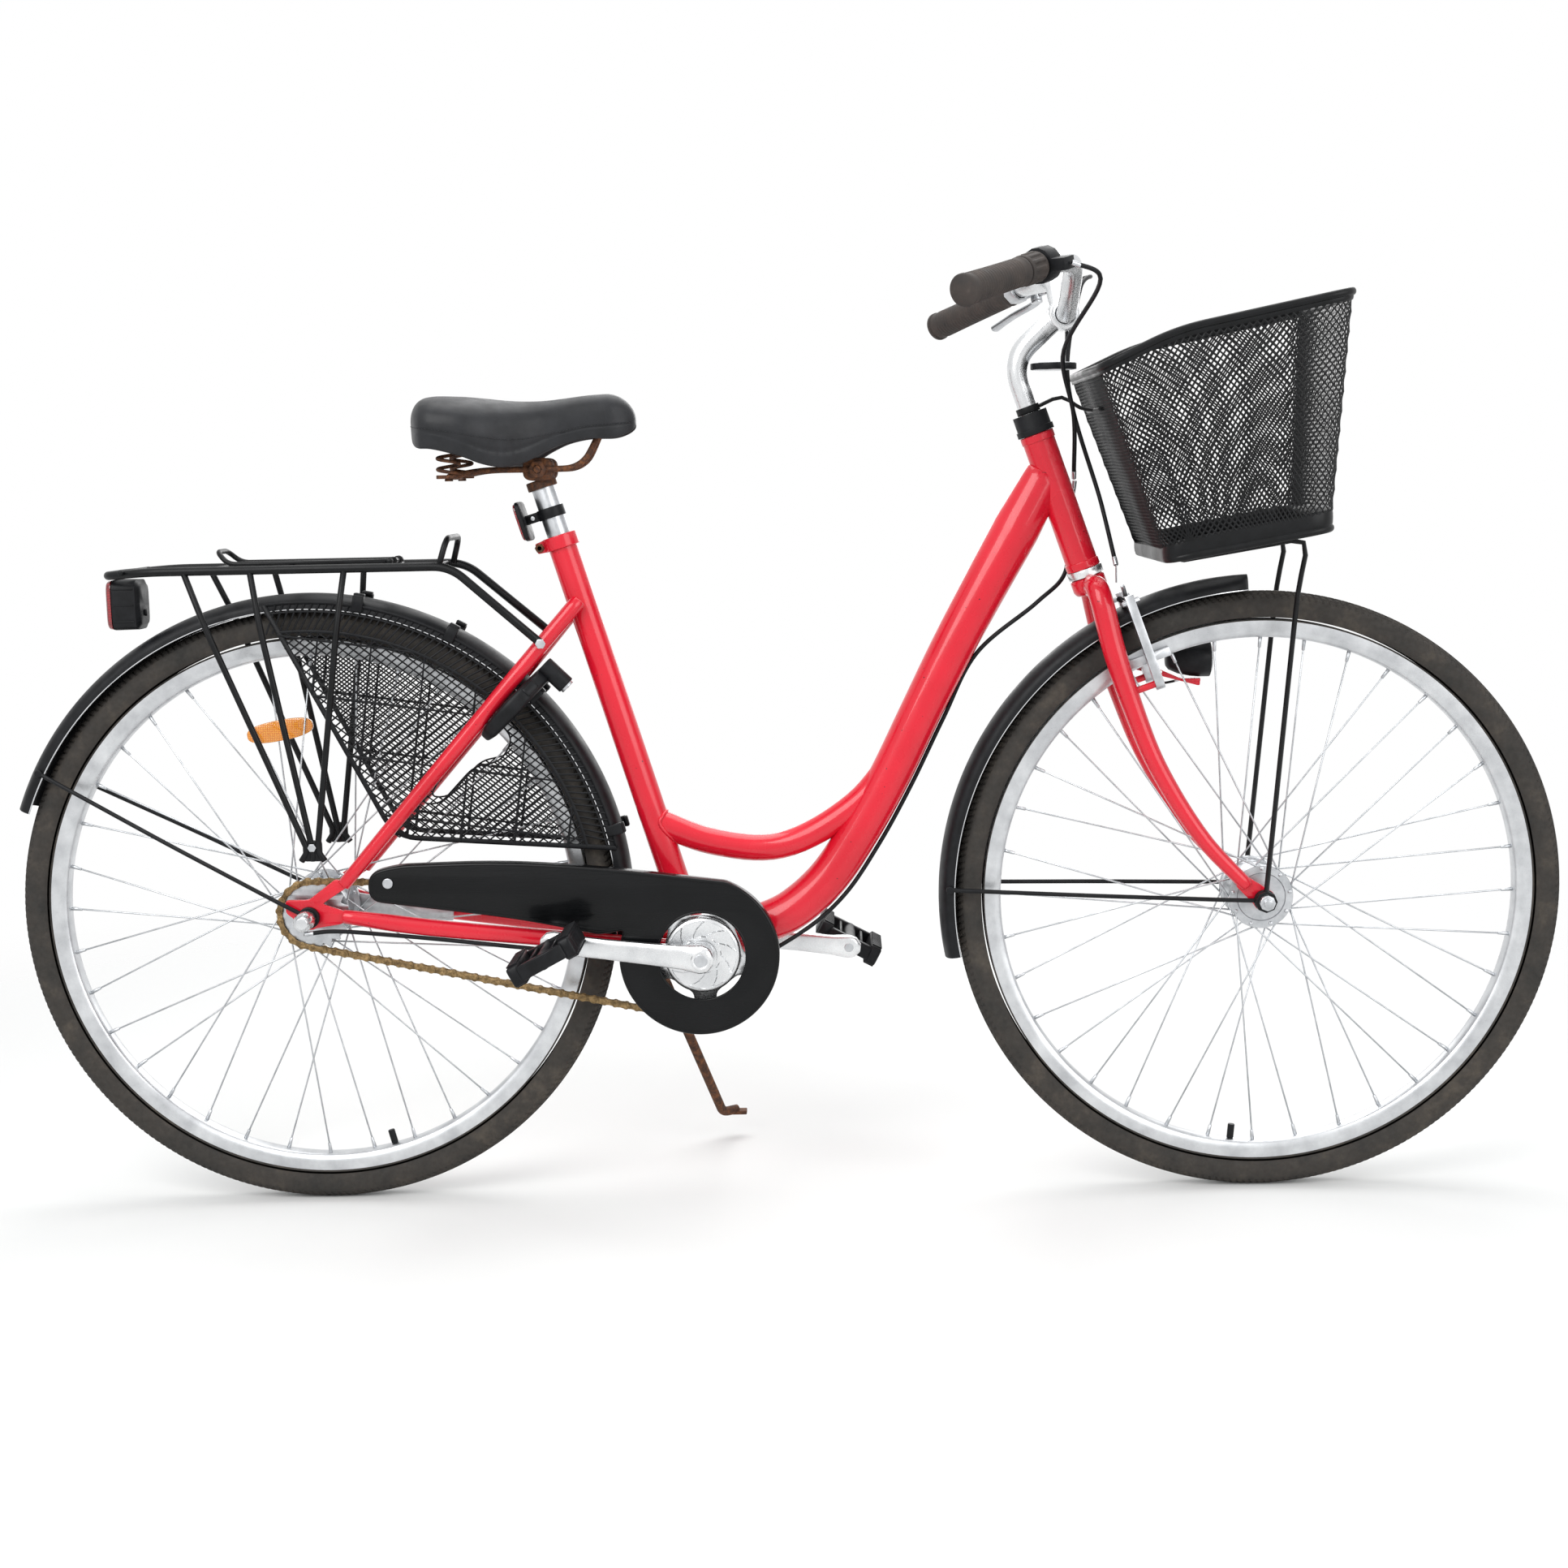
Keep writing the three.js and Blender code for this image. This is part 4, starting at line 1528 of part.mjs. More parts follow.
function makeBasketBracket() {
  const collarFrom = headTube.length + headsetCover.height + seatGap;
  const inside = quill.radius + seatGap;
  const collarTo = collarFrom + basketBracket.height;
  const collar = cut(
    rod(onSteering(collarFrom), onSteering(collarTo), inside + basketBracket.wall, 12),
    bore(onSteering(collarFrom - overrun), onSteering(collarTo + overrun), inside, 12),
  );
  const from = onSteering(collarFrom + basketBracket.height / 2, inside + basketBracket.wall / 2);
  const rearTop = basketCorner(0, true);
  const rearFoot = basketCorner(0, false);
  const hold = rearTop.clone().lerp(rearFoot, basketBracket.holdShare);
  const y = basketBracket.spread;
  const wallLean = Math.atan2(rearTop.x - rearFoot.x, rearTop.z - rearFoot.z);
  const beforeWall = (basketBracket.wireRadius + basket.wall / 2 + seatGap) / Math.cos(wallLean);
  const arm = rounded([
    from,
    point(mix(from.x, hold.x, 0.4), 0, from.z + basketBracket.wave),
    point(mix(from.x, hold.x, 0.7), 0, mix(from.z, hold.z, 0.6)),
    point(hold.x - beforeWall, 0, hold.z),
  ], basketBracket.wave, 2);
  const last = arm[arm.length - 1];
  const crossBar = rod(last.clone().setY(-y), last.clone().setY(y), basketBracket.wireRadius, 6);
  return join(collar, bentBar(arm, basketBracket.wireRadius, 6), crossBar);
}

function makeBasketStays() {
  const { radius, y, drop, lean, frontShare, rearShare } = basketStay;
  const below = (share, ahead = 0, lower = 0) => basketCorner(share, false)
    .add(point(ahead, y, -Math.max(basket.band, radius) - seatGap - radius - lower));
  const line = rounded([
    point(wheelbase, basketEyeY + eye.thickness / 2, eye.radius - eye.overlap),
    below(frontShare, 0, drop),
    below(frontShare, lean),
    below(rearShare),
  ], drop / 3, 2);
  const end = line[line.length - 1];
  const front = line[line.length - 2];
  const side = [bentBar(line, radius, 6), eyeRing(wheelbase, basketEyeY)];
  const crossBars = [end, front].map((p) => rod(p, mirrored([p])[0], radius, 6));
  return join(side, side.map(acrossY), crossBars);
}

add("basket_bracket", makeBasketBracket(), blackPaint);
add("basket_stays", makeBasketStays(), blackPaint);

// Headlight on its red tab, front reflector on the stem, reflector on the seatpost

function makeHeadlight() {
  const { setback, y, radius, length, lens, housingShare } = headlight;
  const lensFrom = length / 2 - lens;
  const line = [-length / 2, -length * 0.3, lensFrom, lensFrom, length / 2]
    .map((x) => point(wheelbase - setback + x, y, headlightZ));
  return taperedTube(line, [radius * housingShare, radius, radius, radius - lens / 2, radius - lens], 12);
}

function makeFrontReflector() {
  const { radius, thickness, drop, ahead, strapWidth, strapWall } = frontReflector;
  const middle = clampCentre.clone().add(point(-ahead, 0, -drop));
  const hang = clampCentre.clone().add(point(strapWall, 0, -quill.clampRadius - seatGap));
  const low = point(hang.x, 0, middle.z);
  const [under, over] = [-thickness / 2, thickness / 2].map((rise) => point(middle.x, 0, middle.z + rise));
  return join(
    rod(under, over, radius, 14),
    block(hang.clone().lerp(low, 0.5), strapWall, strapWidth, hang.z - low.z),
    block(middle.clone().lerp(low, 0.5), Math.abs(low.x - middle.x), strapWidth, strapWall),
  );
}

function makePostReflector() {
  const { width, height, thickness, strapHeight, strapWall, along, behind } = postReflector;
  const inside = seatpost.radius + seatGap;
  const strap = cut(
    rod(fromSeatTop(along - strapHeight / 2), fromSeatTop(along + strapHeight / 2), inside + strapWall, 12),
    bore(fromSeatTop(along - strapHeight - overrun), fromSeatTop(along + strapHeight + overrun), inside, 12),
  );
  const from = fromSeatTop(along, -inside - strapWall / 2);
  const to = fromSeatTop(along, -behind);
  const neckMiddle = from.clone().lerp(to, 0.5);
  const neck = block(neckMiddle, from.distanceTo(to), strapHeight, strapHeight / 2, seatAhead, seatUp);
  return join(strap, neck, block(to, thickness, width, height, seatAhead, seatUp));
}

function makeWheelReflector() {
  const { rimGap, length, height, thickness, angle } = wheelReflector;
  const [x, z] = onCircle(0, 0, rimInnerRadius - rimGap, angle);
  const outward = point(Math.cos(radians(angle)), 0, Math.sin(radians(angle)));
  return block(point(x, -wheelReflector.y, z), height, thickness, length, outward,
    point(-outward.z, 0, outward.x));
}

add("headlight", makeHeadlight(), blackPlastic);
add("front_reflector", makeFrontReflector(), blackPlastic);
add("post_reflector", makePostReflector(), redLens);
add("wheel_reflector", makeWheelReflector(), amberLens);

// Hub cap with the shift chain's end, and the coaster brake's arm

function makeHubCap() {
  const from = -rearNutY - axleNut.length - axleNut.tail - seatGap;
  return turned([[0, from], [hubCap.radius, from], [hubCap.radius, from - hubCap.length * 0.7],
    [hubCap.radius * 0.6, from - hubCap.length], [0, from - hubCap.length]], 0, 0, 14);
}

function makeCoasterArm() {
  const inner = rearHub.endY + seatGap;
  const { length, halfWidth, thickness } = coasterArm;
  const angle = (Math.atan2(chainStayLine[2].z, chainStayLine[2].x) * 180) / Math.PI;
  const [x, z] = onCircle(0, 0, length, angle);
  const side = point(-Math.sin(radians(angle)), 0, Math.cos(radians(angle)));
  const arm = plate([
    ...arcOutline(0, 0, rearHub.endRadius * 0.8, angle + 60, angle + 300, 10),
    [x - side.x * halfWidth, z - side.z * halfWidth], [x + side.x * halfWidth, z + side.z * halfWidth],
  ], inner, inner + thickness);
  return cut(arm, roundBar(0, 0, 0, rearAxleEnd, axleRadius + seatGap, 12));
}

const rearAxleEnd = rearNutY + axleNut.length;
add("hub_cap", makeHubCap(), polished);
add("coaster_brake_arm", makeCoasterArm(), zinc);

// Cables

const cableAt = (points, radius, steps, sides = 6) => bentBar(smoothed(points, steps), radius, sides);

function makeBrakeCable() {
  const { frontReach, sideways, rise, upper, middle, lower } = cableLoop;
  const from = leverPivot.clone().addScaledVector(barWay, -brakeLever.clampLength / 2 - seatGap * 2)
    .addScaledVector(aboveBar, brakeLever.drop / 4);
  const end = brakePivot(brakeArm.thickness / 2).addScaledVector(steeringUp,
    brakeReach.topRise + noodle.rise * 4)
    .setY(brakeReach.topY - noodle.reach - noodle.rise * 2);
  return cableAt([
    from,
    point(from.x + frontReach, from.y - sideways, from.z + rise),
    onSteering(headTube.length + upper, cableLoop.upperAhead, cableLoop.upperY),
    onSteering(headTube.length + middle, cableLoop.middleAhead, cableLoop.middleY),
    onSteering(lower, cableLoop.lowerAhead, cableLoop.lowerY),
    end,
  ], cable.radius, 14, 5);
}

add("front_brake_cable", makeBrakeCable(), blackPlastic);

// The gear cable: its upper part turns with the bar, its lower part is clipped to the frame.
const cableSplit = onSteering(headTube.length - gearCable.splitDrop, gearCable.splitAhead, gearCable.splitY);

function makeUpperShiftCable() {
  const outlet = mirrored([nearBar(shifter.length / 2,
    shifter.podReach + shifter.pod / 2 + cable.radius)])[0];
  return cableAt([
    outlet,
    outlet.clone().add(point(gearCable.reach, gearCable.sideways, -gearCable.sideways)),
    onSteering(headTube.length + gearCable.upper, gearCable.upperAhead, -gearCable.upperY),
    onSteering(headTube.length + gearCable.lower, gearCable.lowerAhead, -gearCable.lowerY),
    cableSplit,
  ], cable.radius, 12, 5);
}

// The line under the main tube, from a high corner of the tube down to a low one.
function underMainTube(lowest, highest) {
  const path = new BentPath(mainTubeLine);
  return mainTubeLine.map((centre, i) => {
    const share = i / (mainTubeLine.length - 1);
    const way = path.getTangentAt(share);
    const rise = mainTubeShares[i][1];
    const wide = mix(mainTube.radius, mainTube.headRadius, Math.max(0, rise - 0.5) * 2);
    const beside = -gearCable.footY * Math.max(0, 1 - rise / gearCable.besideShare) * gearCable.besideShare;
    return centre.clone().addScaledVector(point(way.z, 0, -way.x),
      wide + cable.radius + seatGap).setY(beside);
  }).slice(lowest, highest + 1).reverse();
}

const underStay = (x, left) => point(x, left, stayUnder(x) - cable.radius - runningGap);

function makeLowerShiftCable() {
  const start = cableSplit.clone().addScaledVector(steeringUp, -runningGap * 3);
  const underTube = underMainTube(2, 7);
  const capZ = -hubCap.radius - cable.radius - seatGap;
  const low = bottomBracket.z - bottomBracket.radius - cable.radius - runningGap * 2;
  const plateEnd = standX - stand.plateHalf;
  const upper = smoothed([
    start,
    onSteering(gearCable.side, 0, gearCable.sideY),
    onSteering(0, -headTube.radius - cable.radius, gearCable.backY),
    onSteering(-gearCable.behindDrop, -gearCable.behind, cable.radius),
    underTube[0],
  ], 9);
  const lower = smoothed([
    point(bottomBracketX + bottomBracket.radius, -gearCable.footY, low),
    point(standX + stand.plateHalf, -gearCable.plateY, low + cable.radius * 2),
    point(plateEnd, -gearCable.plateY, stayUnder(plateEnd) - stand.plateThickness),
    underStay(bottomBracketX * 0.6, -gearCable.stayY),
    underStay(bottomBracketX * 0.22, -chainStay.tipY),
    point(hubCap.radius * 2.5, -rearNutY - axleNut.length, capZ),
    point(0, -rearNutY - axleNut.length - axleNut.tail - hubCap.length / 2, capZ),
  ], 12);
  return bentBar([...upper, ...underTube.slice(1), ...lower], cable.radius, 5);
}

function makeDynamoWire() {
  const last = bladeLine.length - 1;
  const beside = (i) => bladeLine[i].clone().setY(bladeLine[i].y + dynamoWire.radius + seatGap
    + mix(fork.bladeRadius, fork.tipRadius, (i - 1) / (last - 1)));
  const lampFoot = point(wheelbase - headlight.setback, headlight.y, headlightZ - headlight.radius);
  return cableAt([
    point(wheelbase - dynamoWire.plugX, frontEyeY + dynamoWire.plugOut, dynamoWire.plugZ),
    beside(4), beside(3), beside(2),
    lampFoot.add(point(-headlight.radius / 2, dynamoWire.plugOut, -dynamoWire.plugDrop)),
  ], dynamoWire.radius, 9, 4);
}

add("shift_cable_upper", makeUpperShiftCable(), blackPlastic);
add("shift_cable_lower", makeLowerShiftCable(), blackPlastic);
add("dynamo_wire", makeDynamoWire(), blackPlastic);

// The bicycle stands on Z = 0, with its length centred on X = 0
group.updateMatrixWorld(true);
const reach = new THREE.Box3().setFromObject(group);
group.position.set(-(reach.min.x + reach.max.x) / 2, 0, wheelRadius);
group.updateMatrixWorld(true);

export default group;
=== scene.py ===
# City bicycle with a curved main tube, standing in a plain pale studio.
# Shapes are worked out in millimetres from the rear axle (X forwards, Y left, Z up) and set in metres.
import json
import math

import bmesh
import bpy
import numpy as np
from mathutils import Matrix, Vector


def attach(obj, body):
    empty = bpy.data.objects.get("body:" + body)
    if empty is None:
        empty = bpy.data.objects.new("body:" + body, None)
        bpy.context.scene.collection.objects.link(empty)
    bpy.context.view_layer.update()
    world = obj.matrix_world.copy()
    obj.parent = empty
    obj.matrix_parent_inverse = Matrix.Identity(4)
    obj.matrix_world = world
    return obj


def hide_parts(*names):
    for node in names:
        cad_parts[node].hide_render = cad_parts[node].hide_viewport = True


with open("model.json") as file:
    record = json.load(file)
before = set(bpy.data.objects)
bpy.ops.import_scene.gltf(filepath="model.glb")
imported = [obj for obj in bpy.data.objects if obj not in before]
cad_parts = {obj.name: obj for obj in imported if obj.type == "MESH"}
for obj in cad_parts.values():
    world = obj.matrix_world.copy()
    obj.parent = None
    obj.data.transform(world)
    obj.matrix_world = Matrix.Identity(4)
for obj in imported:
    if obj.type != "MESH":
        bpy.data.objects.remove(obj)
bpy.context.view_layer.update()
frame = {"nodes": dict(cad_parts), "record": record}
cadNodes = frame["nodes"]
slotOf = {part["node"]: part["material_slot"] for part in frame["record"]["subparts"]}
bodyOf = {node: body for body, nodes in frame["record"]["behaviour"]["bodies"].items() for node in nodes}
print("frame loaded,", len(cadNodes), "CAD nodes")


def place(points):
    # millimetres from the rear axle to metres of the frame
    return np.asarray(points, float) * 0.001 + np.array((-0.5455, 0.0, 0.349))


# Camera, from a fit of measured points: 1932 px square, focal length 2806 px
camera = {"focal": 2806, "size": 1932, "place": (610.1, -2615.6, 494.1), "pitch": 0.13612, "yaw": -0.02465,
          "roll": 0.02134}


def aimCamera():
    pitch, yaw, roll = camera["pitch"], camera["yaw"], camera["roll"]
    ahead = Vector((math.sin(yaw) * math.cos(pitch), math.cos(yaw) * math.cos(pitch), -math.sin(pitch)))
    right = Vector((math.cos(yaw), -math.sin(yaw), 0))
    down = ahead.cross(right)
    across = right * math.cos(roll) + down * math.sin(roll)
    below = down * math.cos(roll) - right * math.sin(roll)
    turn = Matrix((across, -below, -ahead)).transposed().to_4x4()
    data = bpy.data.cameras.new("photoCamera")
    data.sensor_width = 36
    data.lens = camera["focal"] / camera["size"] * 36
    data.clip_end = 60
    eye = bpy.data.objects.new("photoCamera", data)
    eye.matrix_world = Matrix.Translation(Vector(place(camera["place"]))) @ turn
    bpy.context.scene.collection.objects.link(eye)
    bpy.context.scene.camera = eye


aimCamera()


# Materials
def hexColour(text):
    # sRGB to linear: v/12.92 below 0.04045, else ((v + 0.055)/1.055)^2.4
    values = [int(text[i:i + 2], 16) / 255 for i in (1, 3, 5)]
    return tuple(v / 12.92 if v <= 0.04045 else ((v + 0.055) / 1.055) ** 2.4 for v in values) + (1.0,)


def addNode(tree, kind, inputs=None, **settings):
    node = tree.nodes.new("ShaderNode" + kind)
    for key, value in settings.items():
        setattr(node, key, value)
    for key, value in (inputs or {}).items():
        if isinstance(value, bpy.types.NodeSocket):
            tree.links.new(value, node.inputs[key])
        else:
            node.inputs[key].default_value = value
    return node


def startMaterial(name, **sockets):
    material = bpy.data.materials.new(name)
    material.use_nodes = True
    tree = material.node_tree
    tree.nodes.clear()
    shader = addNode(tree, "BsdfPrincipled", {key.replace("_", " "): value for key, value in sockets.items()})
    output = addNode(tree, "OutputMaterial")
    tree.links.new(shader.outputs[0], output.inputs[0])
    return material, tree, shader


def where(tree):
    return addNode(tree, "TexCoord").outputs["Object"]


def noise(tree, millimetres, detail=4, roughness=0.55, stretch=None):
    coords = where(tree)
    if stretch:
        coords = addNode(tree, "Mapping", {"Vector": coords, "Scale": stretch}).outputs[0]
    return addNode(tree, "TexNoise", {"Vector": coords, "Scale": 1000 / millimetres, "Detail": detail,
                                      "Roughness": roughness}).outputs["Fac"]


def blendColours(tree, share, stops):
    ramp = addNode(tree, "ValToRGB", {"Fac": share})
    while len(ramp.color_ramp.elements) < len(stops):
        ramp.color_ramp.elements.new(0.5)
    for element, (position, colour) in zip(ramp.color_ramp.elements, stops):
        element.position = position
        element.color = hexColour(colour)
    return ramp.outputs[0]


def between(tree, share, low, high, fromLow=0.3, fromHigh=0.7):
    return addNode(tree, "MapRange", {"Value": share, "From Min": fromLow, "From Max": fromHigh, "To Min": low,
                                      "To Max": high}).outputs[0]


def bump(tree, shader, height, strength, millimetres):
    made = addNode(tree, "Bump", {"Height": height, "Strength": strength, "Distance": millimetres / 1000})
    tree.links.new(made.outputs[0], shader.inputs["Normal"])


def setFrom(tree, shader, **links):
    for key, socket in links.items():
        tree.links.new(socket, shader.inputs[key.replace("_", " ")])


# Red gloss enamel, sprayed and baked on steel tube: a wet shine with faint orange peel and a few dark chips.
def redEnamel():
    material, tree, shader = startMaterial("sprayedRedEnamel", Coat_Weight=0.5, Coat_Roughness=0.05,
                                           Specular_IOR_Level=0.3)
    cloud = noise(tree, 90, 3)
    chips = noise(tree, 5, 2)
    colour = blendColours(tree, cloud, [(0.3, "#D01027"), (0.7, "#E0182F")])
    chipped = blendColours(tree, chips, [(0.0, "#FFFFFF"), (0.735, "#FFFFFF"), (0.75, "#3A2420")])
    mixed = addNode(tree, "Mix", {0: 1.0}, data_type="RGBA", blend_type="MULTIPLY")
    tree.links.new(colour, mixed.inputs[6])
    tree.links.new(chipped, mixed.inputs[7])
    setFrom(tree, shader, Base_Color=mixed.outputs[2], Roughness=between(tree, noise(tree, 25, 5), 0.2, 0.36))
    bump(tree, shader, noise(tree, 3, 2), 0.05, 0.3)
    return material


# Black polypropylene, injection moulded: a grey-black skin with fine grain, scuffs and some dust.
def mouldedBlack(name="mouldedBlackPolypropylene", dark="#0B0C0E", light="#1B1C1F", rough=(0.34, 0.55),
                 grain=0.12):
    material, tree, shader = startMaterial(name, Specular_IOR_Level=0.2)
    scuffs = noise(tree, 14, 6, 0.65)
    setFrom(tree, shader, Base_Color=blendColours(tree, scuffs, [(0.35, dark), (0.75, light)]),
            Roughness=between(tree, noise(tree, 40, 5), *rough))
    bump(tree, shader, noise(tree, 0.7, 2), grain, 0.15)
    return material


# Black powder coat on bent steel wire: even low gloss with a very fine pebble.
def powderBlack():
    return mouldedBlack("powderCoatedBlackWire", "#0A0B0C", "#161719", (0.3, 0.46), 0.2)


# Glossy black sheet guard, painted: mirror-like with hair scratches.
def glossBlack():
    material, tree, shader = startMaterial("paintedGlossBlackSheet", Coat_Weight=0.2, Coat_Roughness=0.12,
                                           Specular_IOR_Level=0.12)
    scratches = noise(tree, 1.5, 5, 0.7, (0.05, 1, 1))
    setFrom(tree, shader, Base_Color=blendColours(tree, noise(tree, 60), [(0.3, "#040506"), (0.7, "#0B0C0E")]),
            Roughness=between(tree, scratches, 0.22, 0.42))
    bump(tree, shader, noise(tree, 6, 2), 0.03, 0.4)
    return material


# Metals share one recipe: a metal with clouded tone, streaks from its making and a fine surface height.
def metal(name, dark, light, rough, cloud=30, streak=None, height=0.05, grain=0.8, metallic=1.0):
    material, tree, shader = startMaterial(name, Metallic=metallic)
    tone = noise(tree, cloud, 5, 0.6)
    streaks = noise(tree, grain, 4, 0.6, streak)
    setFrom(tree, shader, Base_Color=blendColours(tree, tone, [(0.3, dark), (0.72, light)]),
            Roughness=between(tree, streaks, *rough))
    bump(tree, shader, streaks, height, 0.1)
    return material


# Rust on bare mild steel: brown and ochre scale with dark pits and a rough dry surface.
def rust(name, colours, metallic, rough=(0.62, 0.92), height=0.5):
    material, tree, shader = startMaterial(name, Metallic=metallic)
    scale = noise(tree, 7, 8, 0.7)
    pits = noise(tree, 1.4, 5, 0.6)
    stops = list(zip((0.3, 0.47, 0.58, 0.72), colours))
    setFrom(tree, shader, Base_Color=blendColours(tree, scale, stops), Roughness=between(tree, pits, *rough))
    bump(tree, shader, pits, height, 0.35)
    return material


# Tyre rubber, moulded: matt grey-brown with road dust in the tone and a fine crumb.
def tyreRubber():
    material, tree, shader = startMaterial("mouldedTyreRubber", Specular_IOR_Level=0.35)
    dust = noise(tree, 35, 7, 0.65)
    colour = blendColours(tree, dust, [(0.3, "#2B2A28"), (0.55, "#3A3632"), (0.78, "#534C43")])
    setFrom(tree, shader, Base_Color=colour, Roughness=between(tree, noise(tree, 6, 5), 0.7, 0.92))
    bump(tree, shader, noise(tree, 0.9, 4), 0.25, 0.25)
    return material


# Worn grip rubber: brown-black and a little greasy where hands have rubbed it.
def gripRubber():
    material, tree, shader = startMaterial("wornGripRubber", Specular_IOR_Level=0.4)
    wear = noise(tree, 22, 6, 0.6)
    colour = blendColours(tree, wear, [(0.32, "#2E2A28"), (0.6, "#443D39"), (0.8, "#5E5550")])
    setFrom(tree, shader, Base_Color=colour, Roughness=between(tree, wear, 0.62, 0.88))
    bump(tree, shader, noise(tree, 1.2, 4), 0.3, 0.25)
    return material


# Embossed vinyl over foam: small leather-like cells with a soft sheen between the creases.
def vinylCover():
    material, tree, shader = startMaterial("embossedBlackVinyl", Specular_IOR_Level=0.22, Coat_Weight=0.14,
                                           Coat_Roughness=0.3)
    cells = addNode(tree, "TexVoronoi", {"Vector": where(tree), "Scale": 1000 / 1.5},
                    feature="DISTANCE_TO_EDGE")
    pebble = between(tree, cells.outputs["Distance"], 0.0, 1.0, 0.0, 0.22)
    colour = blendColours(tree, noise(tree, 30, 5), [(0.3, "#1A1B1D"), (0.7, "#2A2B2E")])
    setFrom(tree, shader, Base_Color=colour, Roughness=between(tree, noise(tree, 12, 5), 0.4, 0.56))
    bump(tree, shader, pebble, 0.22, 0.2)
    return material


# Moulded acrylic reflector: clear coloured skin over a field of small prisms, each prism's colour painted lighter at
# its middle and darker towards its rim as a painted glint.
def lens(name, dark, light, cell=3.0, transmission=0.25):
    material, tree, shader = startMaterial(name, Coat_Weight=1.0, Coat_Roughness=0.03, IOR=1.49,
                                           Transmission_Weight=transmission)
    prisms = addNode(tree, "TexVoronoi", {"Vector": where(tree), "Scale": 1000 / cell, "Randomness": 0.15},
                     feature="F1")
    prismBumpAndGlint = prisms.outputs["Distance"]
    # painted glint: each prism cell is coloured lighter at its middle and darker at its rim; the same cells also give
    # the bump
    setFrom(tree, shader, Base_Color=blendColours(tree, prismBumpAndGlint, [(0.1, light), (0.6, dark)]),
            Roughness=between(tree, noise(tree, 18, 4), 0.08, 0.2))
    bump(tree, shader, prismBumpAndGlint, 0.5, 0.5)
    return material


finishes = {
    "painted_red": redEnamel(),
    "black_plastic": mouldedBlack(),
    "gloss_black": glossBlack(),
    "black_paint": powderBlack(),
    # Polished aluminium: bright and slightly clouded by handling.
    "polished_alloy": metal("polishedAluminium", "#CACCCE", "#E8E9EA", (0.2, 0.36), 40, (1, 0.2, 1), 0.03),
    # Zinc plated steel: grey-blue, spotted where the plating has dulled.
    "zinc_steel": metal("zincPlatedSteel", "#A8ABAE", "#CBCDD0", (0.26, 0.44), 14, None, 0.06),
    # Anodised and brushed aluminium of the rims and hubs.
    "alloy": metal("anodisedAluminium", "#B4B6B9", "#D6D8DA", (0.26, 0.4), 30, None, 0.04),
    # Rust: thick scale on the stand and saddle wire, a thin tan bloom on the chain that still shines.
    "rusty_steel": rust("rustedMildSteel", ("#2B1D15", "#4A2F20", "#6B4226", "#8C5C34"), 0.25),
    "rusty_chain": rust("rustedChainSteel", ("#4A3A28", "#75603F", "#9A8058", "#B89B70"), 0.65, (0.4, 0.7),
                        0.25),
    "tyre_rubber": tyreRubber(),
    "grip_rubber": gripRubber(),
    "vinyl": vinylCover(),
    "red_lens": lens("mouldedRedAcrylic", "#7A0812", "#C8192A"),
    "amber_lens": lens("mouldedAmberAcrylic", "#E07A10", "#FFB43C", 2.6, 0.08),
}
# Clear acrylic of the lamp's lens, and the bright edge that runs along both mudguards.
clearLens = lens("mouldedClearAcrylic", "#A9AFB4", "#EDF1F4", 3.5, 0.5)
whiteTrim = metal("brightEdgeTrim", "#C9CBCE", "#E9EAEC", (0.15, 0.3), 40, None, 0.02)
print("materials made,", len(finishes) + 2)


# Shapes. A part is (points, faces, material number); a piece is one object made of parts.
def unit(rows):
    rows = np.asarray(rows, float)
    return rows / np.maximum(np.linalg.norm(rows, axis=-1, keepdims=True), 1e-9)


def gridPart(grid, wrapRows=False, wrapColumns=False, material=0):
    # points on rows and columns, joined by quads, and closed round in either direction
    rows, columns = grid.shape[:2]
    index = np.arange(rows * columns).reshape(rows, columns)
    if wrapRows:
        index = np.vstack((index, index[:1]))
    if wrapColumns:
        index = np.hstack((index, index[:, :1]))
    quads = np.stack((index[:-1, :-1], index[:-1, 1:], index[1:, 1:], index[1:, :-1]), -1).reshape(-1, 4)
    return grid.reshape(-1, 3), quads.tolist(), material


def fanPart(ring, material=0):
    # a closed end: every edge of the ring joined to its middle
    count = len(ring)
    points = np.vstack((ring, ring.mean(axis=0)))
    return points, [[i, (i + 1) % count, count] for i in range(count)], material


def tube(points, radii, sides=16, end=0.6, material=0, sideways=(0, 1, 0), power=1.0):
    # ring = centre + r1 c (s x a) + r2 d (a x (s x a)), with a the way along, s sideways, and c, d the cosine
    # and sine of the turn raised to a power: below 1 it squares the section
    points = np.asarray(points, float)
    radii = np.asarray(radii, float)
    if radii.ndim == 1 and len(radii) == 2 and len(points) != 2:
        radii = np.tile(radii, (len(points), 1))
    if radii.ndim == 0:
        radii = np.full(len(points), float(radii))
    if radii.ndim == 1:
        radii = np.stack((radii, radii), -1)
    steps = unit(np.diff(points, axis=0))
    along = unit(np.vstack((steps[:1], steps[1:] + steps[:-1], steps[-1:])))
    if end:
        points = np.vstack((points[:1], points[:1] + along[:1] * end, points[1:-1],
                            points[-1:] - along[-1:] * end, points[-1:]))
        radii = np.vstack((radii[:1] - end, radii[:1], radii[1:-1], radii[-1:], radii[-1:] - end))
        along = np.vstack((along[:1], along[:1], along[1:-1], along[-1:], along[-1:]))
    first = unit(np.cross(sideways, along))
    second = np.cross(along, first)
    turn = np.linspace(0, 2 * np.pi, sides, endpoint=False)
    cosine, sine = (np.sign(wave) * np.abs(wave) ** power for wave in (np.cos(turn), np.sin(turn)))
    grid = (points[:, None] + radii[:, :1, None] * cosine[None, :, None] * first[:, None]
            + radii[:, 1:, None] * sine[None, :, None] * second[:, None])
    return [gridPart(grid, False, True, material), fanPart(grid[0], material), fanPart(grid[-1], material)]


